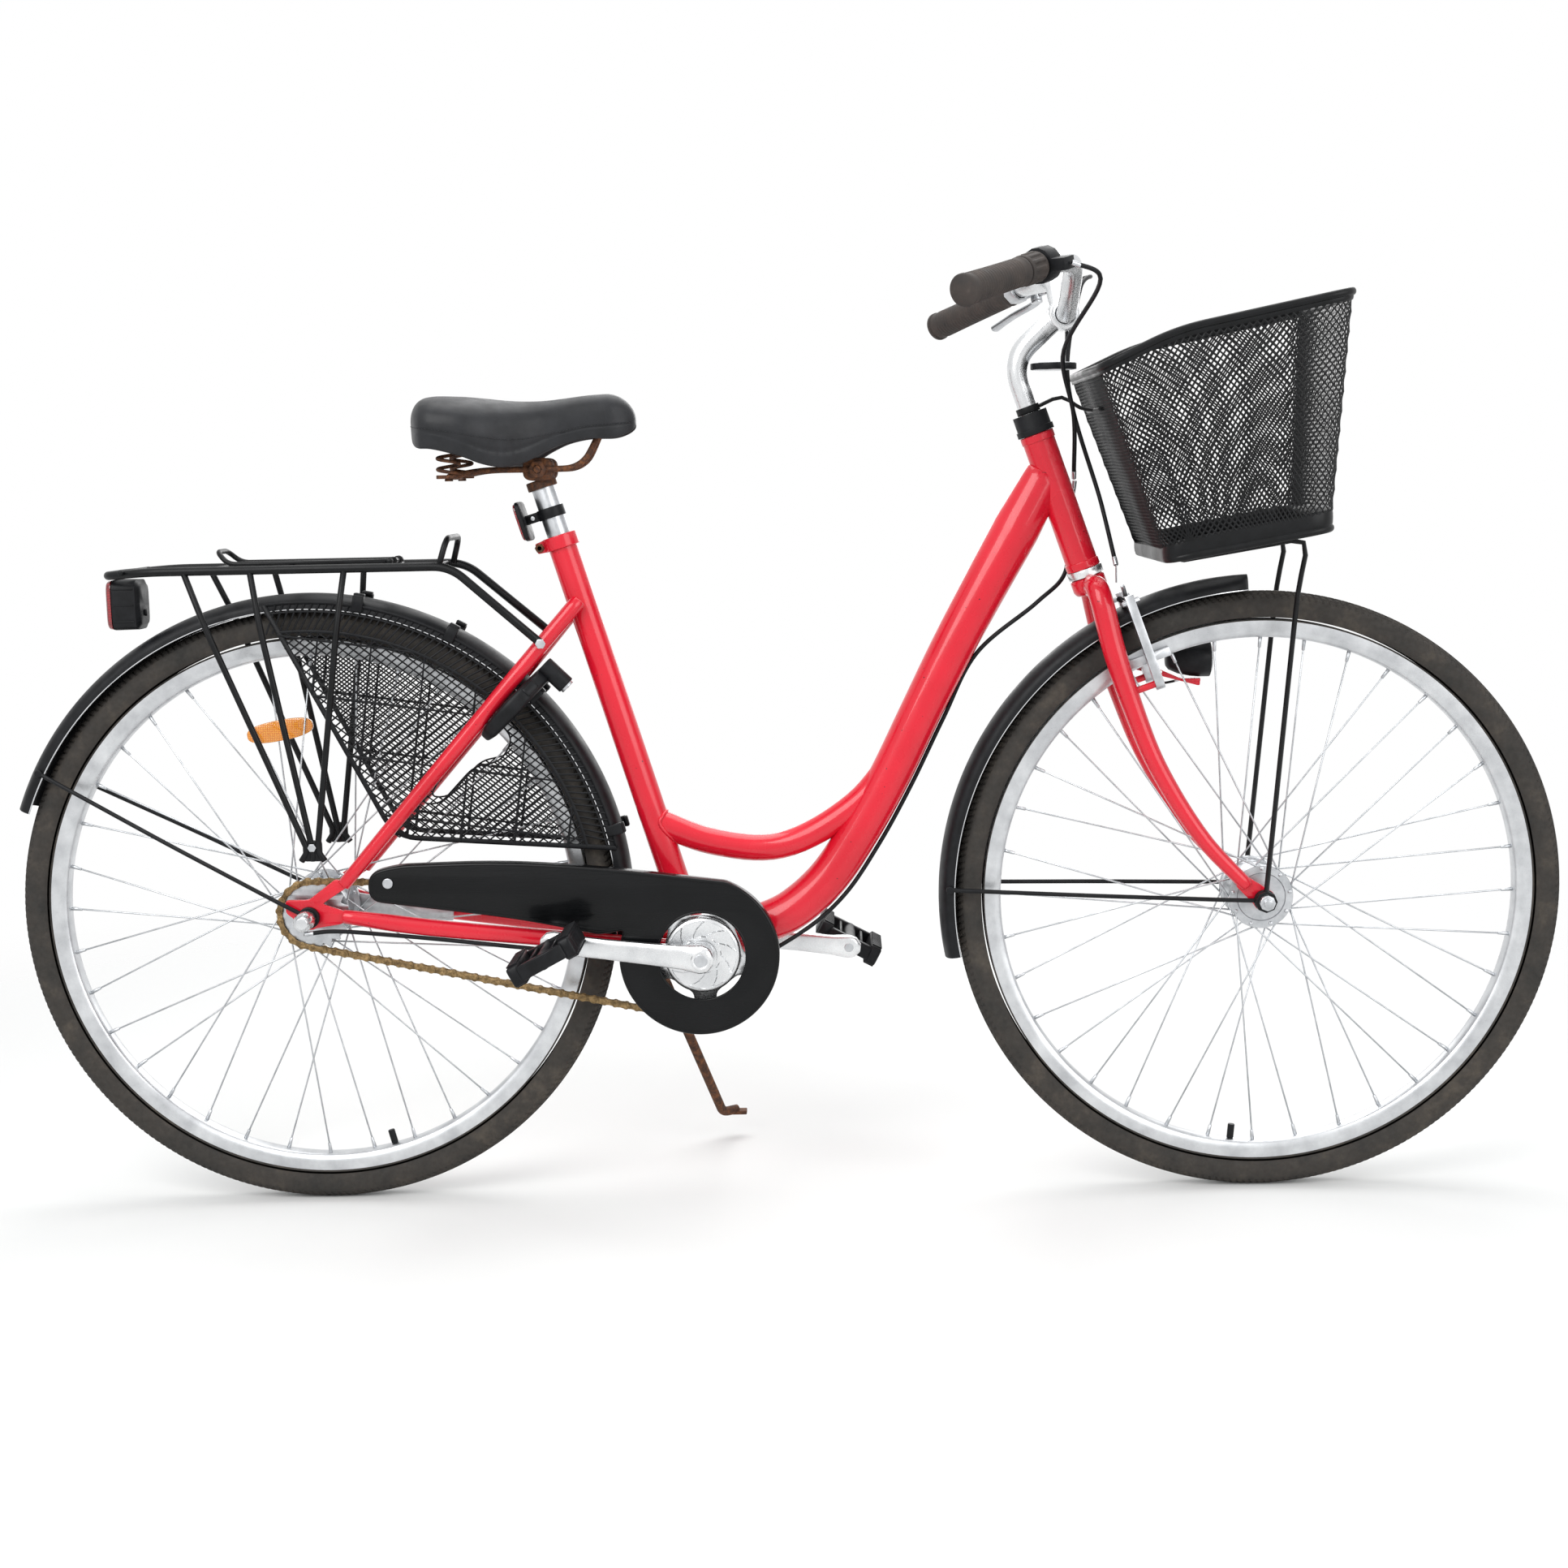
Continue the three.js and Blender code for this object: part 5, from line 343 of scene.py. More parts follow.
def block(start, stop, wide, deep, soft=1.0, sideways=(0, 1, 0), material=0):
    # a bar of squarish section: deep along the sideways direction, wide across it
    return tube([start, stop], [(wide, deep), (wide, deep)], 32, soft, material, sideways, 0.3)


def smoothPath(points, count=8):
    # centripetal Catmull-Rom curve through the points: knots grow by the root of each span's length
    points = np.asarray(points, float)
    full = np.vstack((2 * points[0] - points[1], points, 2 * points[-1] - points[-2]))
    knots = np.concatenate(((0.0,), np.cumsum(np.sqrt(np.linalg.norm(np.diff(full, axis=0), axis=1)))))
    rows = []
    for i in range(1, len(full) - 2):
        t = np.linspace(knots[i], knots[i + 1], count, endpoint=False)[:, None]
        k0, k1, k2, k3 = knots[i - 1:i + 3]
        a1 = (k1 - t) / (k1 - k0) * full[i - 1] + (t - k0) / (k1 - k0) * full[i]
        a2 = (k2 - t) / (k2 - k1) * full[i] + (t - k1) / (k2 - k1) * full[i + 1]
        a3 = (k3 - t) / (k3 - k2) * full[i + 1] + (t - k2) / (k3 - k2) * full[i + 2]
        b1 = (k2 - t) / (k2 - k0) * a1 + (t - k0) / (k2 - k0) * a2
        b2 = (k3 - t) / (k3 - k1) * a2 + (t - k1) / (k3 - k1) * a3
        rows.append((k2 - t) / (k2 - k1) * b1 + (t - k1) / (k2 - k1) * b2)
    return np.vstack(rows + [points[-1:]])


def roundedPath(points, radius, steps=6):
    # each corner is a quadratic curve that starts and ends the radius away from it
    points = np.asarray(points, float)
    share = np.linspace(0, 1, steps + 1)[:, None]
    path = [points[:1]]
    for before, corner, after in zip(points[:-2], points[1:-1], points[2:]):
        back, on = before - corner, after - corner
        reach = min(radius, np.linalg.norm(back) / 2.2, np.linalg.norm(on) / 2.2)
        start, stop = corner + unit(back) * reach, corner + unit(on) * reach
        path.append((1 - share) ** 2 * start + 2 * share * (1 - share) * corner + share ** 2 * stop)
    return np.vstack(path + [points[-1:]])


def roundedLoop(points, radius, steps=4):
    points = np.asarray(points, float)
    middle = (points[-1] + points[0]) / 2
    return roundedPath(np.vstack((middle, points, middle)), radius, steps)[:-1]


def spun(profile, origin=(0, 0, 0), axis=(0, 1, 0), segments=96, closed=False, material=0):
    # point = origin + axis * y + r (cos(t) u + sin(t) v) for each (r, y) of the profile
    profile = np.asarray(profile, float)
    axis = unit(axis)
    first = unit(np.cross(axis, (0, 0, 1) if abs(axis[2]) < 0.9 else (1, 0, 0)))
    second = np.cross(axis, first)
    turn = np.linspace(0, 2 * np.pi, segments, endpoint=False)
    around = np.cos(turn)[:, None] * first + np.sin(turn)[:, None] * second
    grid = (np.asarray(origin, float) + profile[None, :, 1, None] * axis
            + profile[None, :, 0, None] * around[:, None])
    return [gridPart(grid, True, closed, material)]


def pipe(inner, outer, low, high, soft, origin, axis, segments=48):
    # the rectangle between two radii and two heights, its corners eased, turned about the axis
    edge = [(inner, low), (outer, low), (outer, high), (inner, high)]
    return spun(roundedLoop(edge, soft, 3), origin, axis, segments, True)


def softBar(start, stop, radius, segments=32, soft=1.0, inner=0.0, material=0):
    # a round bar with eased edges: its half section turned about the line from start to stop
    start, stop = np.asarray(start, float), np.asarray(stop, float)
    length = np.linalg.norm(stop - start)
    edge = [(inner, 0), (radius, 0), (radius, length), (inner, length)]
    profile = roundedLoop(edge, soft, 3) if inner else roundedPath(edge, soft, 3)
    return spun(profile, start, stop - start, segments, bool(inner), material)


def plate(outline, fromY, toY, holes=(), bevel=0.4, material=0):
    # a filled flat curve, given thickness and a small bevel, from X and Z of the outline
    curve = bpy.data.curves.new("outline", "CURVE")
    curve.dimensions = "2D"
    curve.fill_mode = "BOTH"
    for loop in (outline, *holes):
        loop = np.asarray(loop, float)
        spline = curve.splines.new("POLY")
        spline.points.add(len(loop) - 1)
        rest = np.tile((0.0, 1.0), (len(loop), 1))
        spline.points.foreach_set("co", np.column_stack((loop, rest)).ravel())
        spline.use_cyclic_u = True
    half = abs(toY - fromY) / 2
    bevel = min(bevel, half * 0.9)
    curve.extrude = half - bevel
    curve.bevel_depth = bevel
    curve.bevel_resolution = 1
    curve.offset = -bevel
    holder = bpy.data.objects.new("outline", curve)
    bpy.context.scene.collection.objects.link(holder)
    bpy.context.view_layer.update()
    mesh = bpy.data.meshes.new_from_object(holder.evaluated_get(bpy.context.evaluated_depsgraph_get()))
    flat = np.zeros(len(mesh.vertices) * 3)
    mesh.vertices.foreach_get("co", flat)
    flat = flat.reshape(-1, 3)
    points = np.column_stack((flat[:, 0], (fromY + toY) / 2 - flat[:, 2], flat[:, 1]))
    faces = [list(polygon.vertices) for polygon in mesh.polygons]
    bpy.data.objects.remove(holder)
    bpy.data.curves.remove(curve)
    bpy.data.meshes.remove(mesh)
    return [(points, faces, material)]


def moved(parts, turn=None, shift=(0, 0, 0)):
    # each point becomes turn p + shift
    turn = np.eye(3) if turn is None else np.asarray(turn, float)
    return [(points @ turn.T + np.asarray(shift, float), faces, material) for points, faces, material in parts]


def acrossY(parts):
    return moved(parts, np.diag((1.0, -1.0, 1.0)))


def bothSides(parts):
    return parts + acrossY(parts)


def circle(x, z, radius, steps=32, start=0.0):
    turn = np.radians(start) + np.linspace(0, 2 * np.pi, steps, endpoint=False)
    return np.column_stack((x + radius * np.cos(turn), z + radius * np.sin(turn)))


def arc(x, z, radius, start, stop, steps=12):
    turn = np.radians(np.linspace(start, stop, steps + 1))
    return np.column_stack((x + radius * np.cos(turn), z + radius * np.sin(turn)))


def makePiece(name, parts, body, slot, replaced=(), extra=(), sharp=42, bevel=0.0):
    points, faces, numbers, start = [], [], [], 0
    for partPoints, partFaces, number in parts:
        points.append(partPoints)
        faces += [[i + start for i in face] for face in partFaces]
        numbers += [number] * len(partFaces)
        start += len(partPoints)
    mesh = bpy.data.meshes.new(name)
    mesh.from_pydata(place(np.vstack(points)).tolist(), [], faces)
    mesh.polygons.foreach_set("material_index", numbers)
    for material in (finishes[slot], *extra):
        mesh.materials.append(material)
    return finishPiece(name, mesh, body, replaced, sharp, bevel)


def finishPiece(name, mesh, body, replaced, sharp, bevel=0.0):
    shape = bmesh.new()
    shape.from_mesh(mesh)
    bmesh.ops.remove_doubles(shape, verts=shape.verts, dist=2e-6)
    bmesh.ops.recalc_face_normals(shape, faces=shape.faces)
    if bevel:
        bmesh.ops.dissolve_limit(shape, angle_limit=math.radians(1.2), verts=shape.verts, edges=shape.edges)
        hard = [edge for edge in shape.edges if len(edge.link_faces) == 2
                and edge.calc_face_angle(0) > math.radians(sharp)]
        bmesh.ops.bevel(shape, geom=hard, offset=bevel / 1000, segments=2, profile=0.5, affect="EDGES",
                        clamp_overlap=True)
    for face in shape.faces:
        face.smooth = True
    for edge in shape.edges:
        edge.smooth = len(edge.link_faces) != 2 or edge.calc_face_angle(0) < math.radians(sharp)
    shape.to_mesh(mesh)
    shape.free()
    piece = bpy.data.objects.new(name, mesh)
    bpy.context.scene.collection.objects.link(piece)
    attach(piece, body)
    if replaced:
        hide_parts(*replaced)
    return piece


def softened(node, bevel=0.5, sharp=47):
    # the CAD piece itself with its edges eased and its curved faces shaded round
    mesh = cadNodes[node].data.copy()
    mesh.materials.clear()
    mesh.materials.append(finishes[slotOf[node]])
    mesh.polygons.foreach_set("material_index", np.zeros(len(mesh.polygons), int))
    return finishPiece(node + ".eased", mesh, bodyOf[node], [node], sharp, bevel)


# Wheels
wheel = {"tyre": 349, "tyreHalf": 19, "treadBlocks": 274, "rimInner": 296, "spokes": 36, "spoke": 1.0}


def tyreParts(x):
    # r = 331 + 18 |cos p|^0.85, y = 19 sin p for p from bead to bead, less 1.7 mm in the grooves and 1 mm in
    # the fine cuts of the middle blocks
    angles = np.radians(np.concatenate((np.linspace(-128, -72, 7), np.linspace(-66, 66, 34),
                                        np.linspace(72, 128, 7))))
    blocks = wheel["treadBlocks"]
    turn = np.linspace(0, 2 * np.pi, blocks * 6, endpoint=False)
    across = wheel["tyreHalf"] * np.sin(angles)
    bulge = 331 + 18 * np.sign(np.cos(angles)) * np.abs(np.cos(angles)) ** 0.85
    lean = np.abs(np.degrees(angles))
    phase = (turn[:, None] * blocks / (2 * np.pi) + np.sign(angles)[None] * 0.25 + lean[None] * 0.018) % 1.0
    notch = (phase < 0.36) & (lean[None] > 24) & (lean[None] < 62)
    rib = (np.abs(lean - 20) < 3.2) | (np.abs(lean - 42) < 2.4)
    groove = np.where(notch | rib[None], 1.7, 0.0)
    sipe = (turn[:, None] * blocks / (2 * np.pi) + 0.5 + np.abs(across)[None] * 0.06) % 1.0 < 0.18
    sipe &= lean[None] < 14
    radius = bulge[None] - np.where(sipe, 1.0, groove)
    radius = np.where(np.abs(across)[None] < 4.0, np.minimum(radius, wheel["tyre"]), radius)
    grid = np.stack((x + radius * np.cos(turn)[:, None], np.broadcast_to(across, radius.shape),
                     radius * np.sin(turn)[:, None]), -1)
    bead = [(316.8, 14.6), (313.5, 10.2), (313.5, -10.2), (316.8, -14.6)]
    return [gridPart(grid, True, False)] + spun(bead, (x, 0, 0), segments=240)


def rimParts(x):
    # (r, y) round half the hollow section, mirrored about the middle and turned about the axle
    half = [(309, 10.7), (316, 10.7), (317.2, 11.4), (316.6, 12.5), (306, 12.5), (299, 11.4), (296.6, 8.5),
            (wheel["rimInner"], 4.5)]
    profile = half + [(r, -y) for r, y in reversed(half)]
    return spun(profile, (x, 0, 0), segments=240, closed=True)


def spokeParts(x, hub):
    # spoke i leaves its flange six pitches before or after its place in the rim
    count = wheel["spokes"]
    index = np.arange(count)
    side = np.where(index % 2, 1, -1)
    lean = np.where(index % 4 < 2, 1, -1)
    rimTurn = np.radians((index + 0.95) * 360 / count)
    hubTurn = rimTurn + lean * np.radians(6 * 360 / count)
    headY = side * (hub["flangeY"] + hub["wall"] / 2) + lean * 2.3
    near, far = hub["flange"] - 4, wheel["rimInner"]
    heads = np.stack((x + near * np.cos(hubTurn), headY, near * np.sin(hubTurn)), -1)
    feet = np.stack((x + far * np.cos(rimTurn), side * 3.0, far * np.sin(rimTurn)), -1)
    parts = []
    for head, foot in zip(heads, feet):
        way = unit(head - foot)
        parts += tube([head, foot], wheel["spoke"], 8, 0.2, sideways=(0, 1, 0.01))
        parts += tube([foot - way * 0.5, foot + way * 12], [2.3, 1.8], 8, 0.3, sideways=(0, 1, 0.01))
        parts += tube([head + (0, -2.6, 0), head + (0, 2.6, 0)], 2.3, 8, 0.5, sideways=(1, 0, 0))
    return parts


def hubParts(x, hub):
    # (r, y) from the middle of the shell over the flange to the end cap, mirrored and turned about the axle
    shell, flange, inside, wall = hub["shell"], hub["flange"], hub["flangeY"], hub["wall"]
    outside, cap, end = inside + wall, hub["endRadius"], hub["end"]
    half = [(shell, 0), (shell, inside - 5), (shell + 3, inside), (flange - 1, inside + 0.5),
            (flange, inside + wall / 2), (flange - 1, outside - 0.4), (flange - 9, outside),
            (flange - 10, outside - 1.2), (cap + 1, outside - 1), (cap, outside + 0.5), (cap, end - 0.8),
            (cap - 0.8, end), (5.4, end)]
    profile = [(r, -y) for r, y in reversed(half)] + half[1:]
    return spun(profile, (x, 0, 0), segments=96)


def valveParts(x, degrees):
    # the cap's half section turned about a line out from the axle
    way = np.array((math.cos(math.radians(degrees)), 0, math.sin(math.radians(degrees))))
    profile = [(0, 0), (3.6, 0), (4.0, 1), (4.0, 16), (3.2, 16.6), (3.0, 18), (3.0, 24)]
    return spun(profile, np.array((x, 0, 0)) + way * 279.2, way, 20)


hubs = {"front": {"flange": 37, "flangeY": 29, "wall": 6.6, "shell": 31, "end": 42, "endRadius": 11},
        "rear": {"flange": 40, "flangeY": 27, "wall": 6.6, "shell": 30, "end": 34, "endRadius": 22}}
for end, x, valveAngle in (("front", 1091, -95.5), ("rear", 0, -75.5)):
    makePiece(end + "TyreTread", tyreParts(x), end + "_wheel", "tyre_rubber", [end + "_tyre"], sharp=30)
    makePiece(end + "RimHoop", rimParts(x), end + "_wheel", "alloy", [end + "_rim"], sharp=50)
    makePiece(end + "HubAndSpokes", hubParts(x, hubs[end]) + spokeParts(x, hubs[end]), end + "_wheel",
              "zinc_steel", [end + "_hub_and_spokes"], sharp=50)
    makePiece(end + "ValveCap", valveParts(x, valveAngle), end + "_wheel", "black_plastic")
print("wheels made")


# Mudguards with rolled edges, their stays and eyes
guard = {"radius": 368, "depth": 17, "half": 27, "wall": 1.6, "stay": 2.5, "eyeRadius": 12.5, "eyeWall": 6.4}


def guardSection():
    # y = half sin t, r = edge + depth |cos t|^0.75, and the same one wall further in, joined round the edges
    t = np.radians(np.linspace(-90, 90, 25))
    depth, half, wall = guard["depth"], guard["half"], guard["wall"]
    sine, arch, edge = np.sin(t), np.abs(np.cos(t)) ** 0.75, guard["radius"] - depth
    outside = np.column_stack((edge + depth * arch, half * sine))
    inside = np.column_stack((edge + (depth - wall) * arch, (half - wall) * sine))
    return np.vstack((outside, inside[::-1]))


def guardParts(x, start, stop, pointed):
    # the section carried round the axle, narrowed by a quarter ellipse at a pointed end, and a bright thread
    # along both edges
    section = guardSection()
    turn = np.radians(np.linspace(start, stop, 161))
    tip = np.clip((np.linspace(start, stop, 161) - start) / 10.5, 0, 1)
    narrow = 0.35 + 0.65 * np.sqrt(1 - (1 - tip) ** 2) if pointed else np.ones_like(tip)
    radius, across = section[None, :, 0], section[None, :, 1] * narrow[:, None]
    grid = np.stack((x + radius * np.cos(turn)[:, None], across, radius * np.sin(turn)[:, None]), -1)
    parts = [gridPart(grid, False, True)]
    half = len(section) // 2
    for ring in (grid[0], grid[-1]):
        parts.append(gridPart(np.stack((ring[:half], ring[::-1][:half]))))
    for sign in (1, -1):
        edge = np.stack((x + 350.6 * np.cos(turn), sign * 26.2 * narrow, 350.6 * np.sin(turn)), -1)
        parts += tube(edge, 0.9, 6, 0, material=1)
    return parts


def eyeParts(x, eyeY):
    return pipe(5.9, guard["eyeRadius"], 0, guard["eyeWall"], 1.2, (x, eyeY, 0), (0, 1, 0), 36)


def guardStay(x, degrees, eyeY):
    # a wire from the bolt at the guard's edge, out past the spokes and in to its eye on the axle
    middleY, half = eyeY + guard["eyeWall"] / 2, guard["half"]
    way = np.array((math.cos(math.radians(degrees)), math.sin(math.radians(degrees))))
    reach = [(359.5, half), (184, half + (middleY - half) * 0.65), (37.5, middleY), (10.1, middleY)]
    points = [(x + far * way[0], y, far * way[1]) for far, y in reach]
    bolt = np.array((x + 356 * way[0], 25.5, 356 * way[1]))
    sideways = (0, 0.3, 1) if abs(way[0]) > 0.7 else (1, 0.3, 0)
    return (tube(roundedPath(points, 30, 5), guard["stay"], 12, sideways=sideways)
            + softBar(bolt, bolt + (0, 5, 0), 4.5, 18) + eyeParts(x, eyeY))


makePiece("frontMudguardShell", guardParts(1091, 92, 191, True) + bothSides(guardStay(1091, 178, 55.3)),
          "steering", "black_plastic", ["front_mudguard"], [whiteTrim])
makePiece("rearMudguardShell", guardParts(0, -6.5, 160, False) + bothSides(guardStay(0, 152, 63.3)),
          "frame", "black_plastic", ["rear_mudguard"], [whiteTrim])
print("mudguards made")


# Frame: brazed steel tubes
def weld(root, rootWay, rootRadius, tubePoint, tubeWay, tubeRadius, bead=2.2):
    # where the lines of a tube's skin meet the other tube's cylinder: |p + t q| = R across the root's way
    rootWay, tubeWay = unit(rootWay), unit(tubeWay)
    first = unit(np.cross(tubeWay, rootWay if abs(np.dot(tubeWay, rootWay)) < 0.95 else (0, 1, 0)))
    second = np.cross(tubeWay, first)
    turn = np.linspace(0, 2 * np.pi, 49)
    around = np.cos(turn)[:, None] * first + np.sin(turn)[:, None] * second
    ring = np.asarray(tubePoint, float) + tubeRadius * around
    offset = ring - np.asarray(root, float)
    flat = offset - (offset @ rootWay)[:, None] * rootWay
    ray = -tubeWay - np.dot(-tubeWay, rootWay) * rootWay
    a, b = ray @ ray, flat @ ray
    c = (flat ** 2).sum(1) - rootRadius ** 2
    reach = (-b - np.sqrt(np.maximum(b * b - a * c, 0))) / a
    path = ring - tubeWay * reach[:, None]
    return tube(path, bead, 8, 0, sideways=tubeWay)[:1]


# lines of the tubes; mainRise is each main point's share of that tube's rise
crankCentre = np.array((449.0, 0, -53))
crankSpot = (449, -53)
mainLine = [crankCentre, (517.5, 0, -28.3), (550.2, 0, -13.5), (592.7, 0, 22.8), (632.4, 0, 79.9),
            (669, 0, 144.6), (706.8, 0, 221), (744.6, 0, 295.1), (782, 0, 363), (817, 0, 425), (851, 0, 486)]
mainRise = np.array((0, 0.045, 0.072, 0.138, 0.242, 0.36, 0.499, 0.634, 0.785, 0.917, 1))
crossLine = [(394.8, 0, 96), (459, 0, 70.4), (540.7, 0, 64), (628.3, 0, 110.5), (686.7, 0, 180.3)]
seatStay = [(316.5, 21, 354), (261.2, 41, 290.4), (178.2, 48.8, 195), (40, 60.5, 36)]
chainStay = [(438.5, 25, -53), (368, 35.8, -43.4), (134.7, 53.4, -15.9), (38, 60.5, 0)]
seatTube, crossTube, headLength = 16.5, 15.5, 162
seatUp = np.array((-0.29045, 0, 0.95689))
seatAhead = np.array((0.95689, 0, 0.29045))
seatTop = np.array((294.0, 0, 428.0))
headBottom = np.array((893.0, 0, 378.0))
headUp = np.array((-0.32733, 0, 0.94491))


def fromSeatTop(along, ahead=0.0, left=0.0):
    # a place by its distance up the seat post from the tube's top, ahead of it, and to the left
    return seatTop + seatUp * along + seatAhead * ahead + np.array((0, left, 0))


def frameParts():
    # round tubes along the lines above; the main tube widens across by 7 mm over its upper half
    flare = np.maximum(0, mainRise - 0.5) * 2
    wide = 24 + 3.5 * flare
    wide[-1] = 23
    deep = np.full(len(wide), 24.0)
    deep[-1] = 18
    line = smoothPath(mainLine, 7)
    share = np.linspace(0, len(mainLine) - 1, len(line))
    rows = range(len(wide))
    sizes = np.column_stack((np.interp(share, rows, wide), np.interp(share, rows, deep)))
    parts = tube(line, sizes, 40, 1)
    parts += tube(smoothPath(crossLine, 8), crossTube, 32, 1)
    parts += pipe(14, 18.5, 0, headLength, 1.2, headBottom, headUp)
    for low, high in ((0, 9), (headLength - 9, headLength)):
        parts += pipe(17, 19.6, low, high, 1.0, headBottom, headUp)
    parts += pipe(14, seatTube, -498, 0, 0.8, seatTop, seatUp, 40)
    parts += pipe(17.6, 21, -34, 34, 1.2, crankCentre, (0, 1, 0))
    third = np.linspace(0, 3, 25)
    side = tube(smoothPath(seatStay, 8), np.interp(third, (0, 2, 3), (9, 9, 7.6)), 20, 1)
    flat = np.column_stack((np.interp(third, (0, 2.4, 3), (10, 10, 8)), np.full(25, 8.0)))
    side += tube(smoothPath(chainStay, 8), flat, 20, 1)
    outline = np.vstack((arc(0, 0, 15, 200, 300, 8), [(38, -8.5), (46.5, 4.2), (15, 15), (48, 36), (32, 44),
                                                      (0, 20), (-27, 20), (-27, 5)]))
    side += plate(roundedLoop(outline, 4, 3), 58, 63, [circle(0, 0, 5.8)], 0.8)
    for x, y, z in ((250.5, 42, 278.1), (371.7, 35.2, -43.9)):
        parts += tube([(x, -y, z), (x, y, z)], 6, 20, 1, sideways=(0, 0, 1))
    parts += bothSides(side)
    parts += weld(seatTop, seatUp, seatTube, crossLine[1], (64.2, 0, -25.6), crossTube)
    return parts


makePiece("frameTubes", frameParts(), "frame", "painted_red", ["frame"], sharp=50)

bladeLine = [(899.6, 0, 359.1), (905.3, 38.8, 353.7), (921.6, 48.5, 287.3), (942.6, 49.5, 222.6),
             (970.4, 50.5, 154.4), (1021.1, 51.5, 71.8), (1071.9, 52.5, 16.2)]


def forkParts():
    # a tapering blade each side from crown to dropout, the crown and steerer turned about the head tube's line
    line = smoothPath(bladeLine, 8)
    share = np.linspace(0, 6, len(line))
    side = tube(line, np.interp(share, (0, 1, 2, 6), (13, 13, 13, 8)), 24, 1, sideways=(0.6, 0.5, 0.4))
    away = unit((1071.85 - 1091, 0, 16.16))
    turn = np.array((-away[2], 0, away[0]))
    corner = [np.array((1091.0, 0, 0)) + away * 36 + turn * sign * 8 for sign in (-1, 1)]
    outline = np.vstack((arc(1091, 0, 13, -45, 45, 6), [(c[0], c[2]) for c in corner],
                         arc(1091, 0, 13, 200, 270, 4)))
    side += plate(roundedLoop(outline, 3, 3), 50, 55, [circle(1091, 0, 5.8)], 0.8)
    side += softBar((934, 44, 236.2), (978, 44, 251.5), 4, 24)
    crown = roundedPath([(0, -29), (17, -29), (20, -24), (20, -12), (17.5, -9.4), (0, -9.4)], 2, 3)
    parts = spun(crown, headBottom, headUp, 48)
    steerer = [(11.5, -10), (12.8, -10), (12.8, 177.6), (12.2, 178), (11.5, 178)]
    parts += spun(steerer, headBottom, headUp, 36, True)
    holes = [circle(x, z, 1.9, 16) for x, z in ((955, 262), (966, 259), (977, 256), (988, 253))]
    tab = [(925.8, 265.4), (925.8, 283.4), (1012, 244.8), (1034, 244.8), (1034, 235.8)]
    parts += plate(roundedLoop(tab, 3, 3), 51.7, 54.7, holes, 0.5)
    parts += plate([(1012, 241.8), (1034, 241.8), (1034, 244.8), (1012, 244.8)], 49.5, 69, (), 0.5)
    return parts + bothSides(side)


makePiece("forkBlades", forkParts(), "steering", "painted_red", ["fork"], sharp=50)
print("frame and fork made")


# Bar, stem and grips
clampCentre = np.array((871.64, 0, 662.69))
barHalf = [(871.64, 30, 662.69), (871.64, 70, 682.69), (869.64, 116, 707.69), (859.64, 142, 708.69),
           (837.64, 165, 705.69)]
barTip = np.array((744.64, 289, 670.69))
barBase = np.array((837.64, 165, 705.69))
barWay = unit(barTip - barBase)


def alongBar(distance):
    return barBase + barWay * distance


def handlebarParts():
    # half the bar's line, mirrored, with one radius
    half = np.vstack((smoothPath(barHalf, 8), barTip[None]))
    line = np.vstack((half[::-1] * (1, -1, 1), half))
    return tube(line, 10.9, 32, 1, sideways=(0.2, 0, 1))


def stemParts():
    # a round quill that grows from 10.9 to 13 mm round its bend, and the clamp's collar about the bar
    corners = [(859.6, 0, 474.4), (811.5, 0, 613.3), (861.2, 0, 659.1)]
    line = roundedPath(corners, 42, 12)
    size = np.interp(np.linspace(0, 1, len(line)), (0, 0.12, 1), (10.9, 11, 13))
    parts = tube(line, size, 32, 1)
    collar = roundedLoop([(11.4, -21), (18, -21), (18, 21), (11.4, 21)], 2.2, 4)
    parts += spun(collar, clampCentre, (0, 1, 0), 48, True)
    parts += softBar(clampCentre + (-15, 0, -21), clampCentre + (-15, 0, -12), 5, 6)
    return parts


makePiece("handlebarTube", handlebarParts(), "steering", "polished_alloy", ["handlebar"])
makePiece("stemNeck", stemParts(), "steering", "polished_alloy", ["stem"])


def gripParts(start, reach):
    # long shallow rings every 4.6 mm, a plain collar at the inner end and a thicker closed cap
    length = reach - start
    along = np.linspace(0, length - 6, 170)
    base = 15.3 + 1.3 * (along / length) ** 2
    ring = 0.55 * (np.cos(along / 4.6 * 2 * np.pi) > 0.1) * (along > 12) * (along < length - 14)
    flare = 1.0 * np.exp(-((along - 3) / 2.5) ** 2)
    profile = [(11.5, 0), (14.6, 0)] + list(zip(base + flare - 0.5 + ring, along + 0.6)) + \
        [(17, length - 5), (17, length - 1.5), (15.5, length), (0, length)]
    return spun(profile, alongBar(start), barWay, 48)


makePiece("gripLeftSleeve", gripParts(16.8, 162.9), "steering", "grip_rubber", ["grip_left"], sharp=55)
makePiece("gripRightSleeve", acrossY(gripParts(52.4, 162.9)), "steering", "grip_rubber", ["grip_right"],
          sharp=55)
print("bar and grips made")


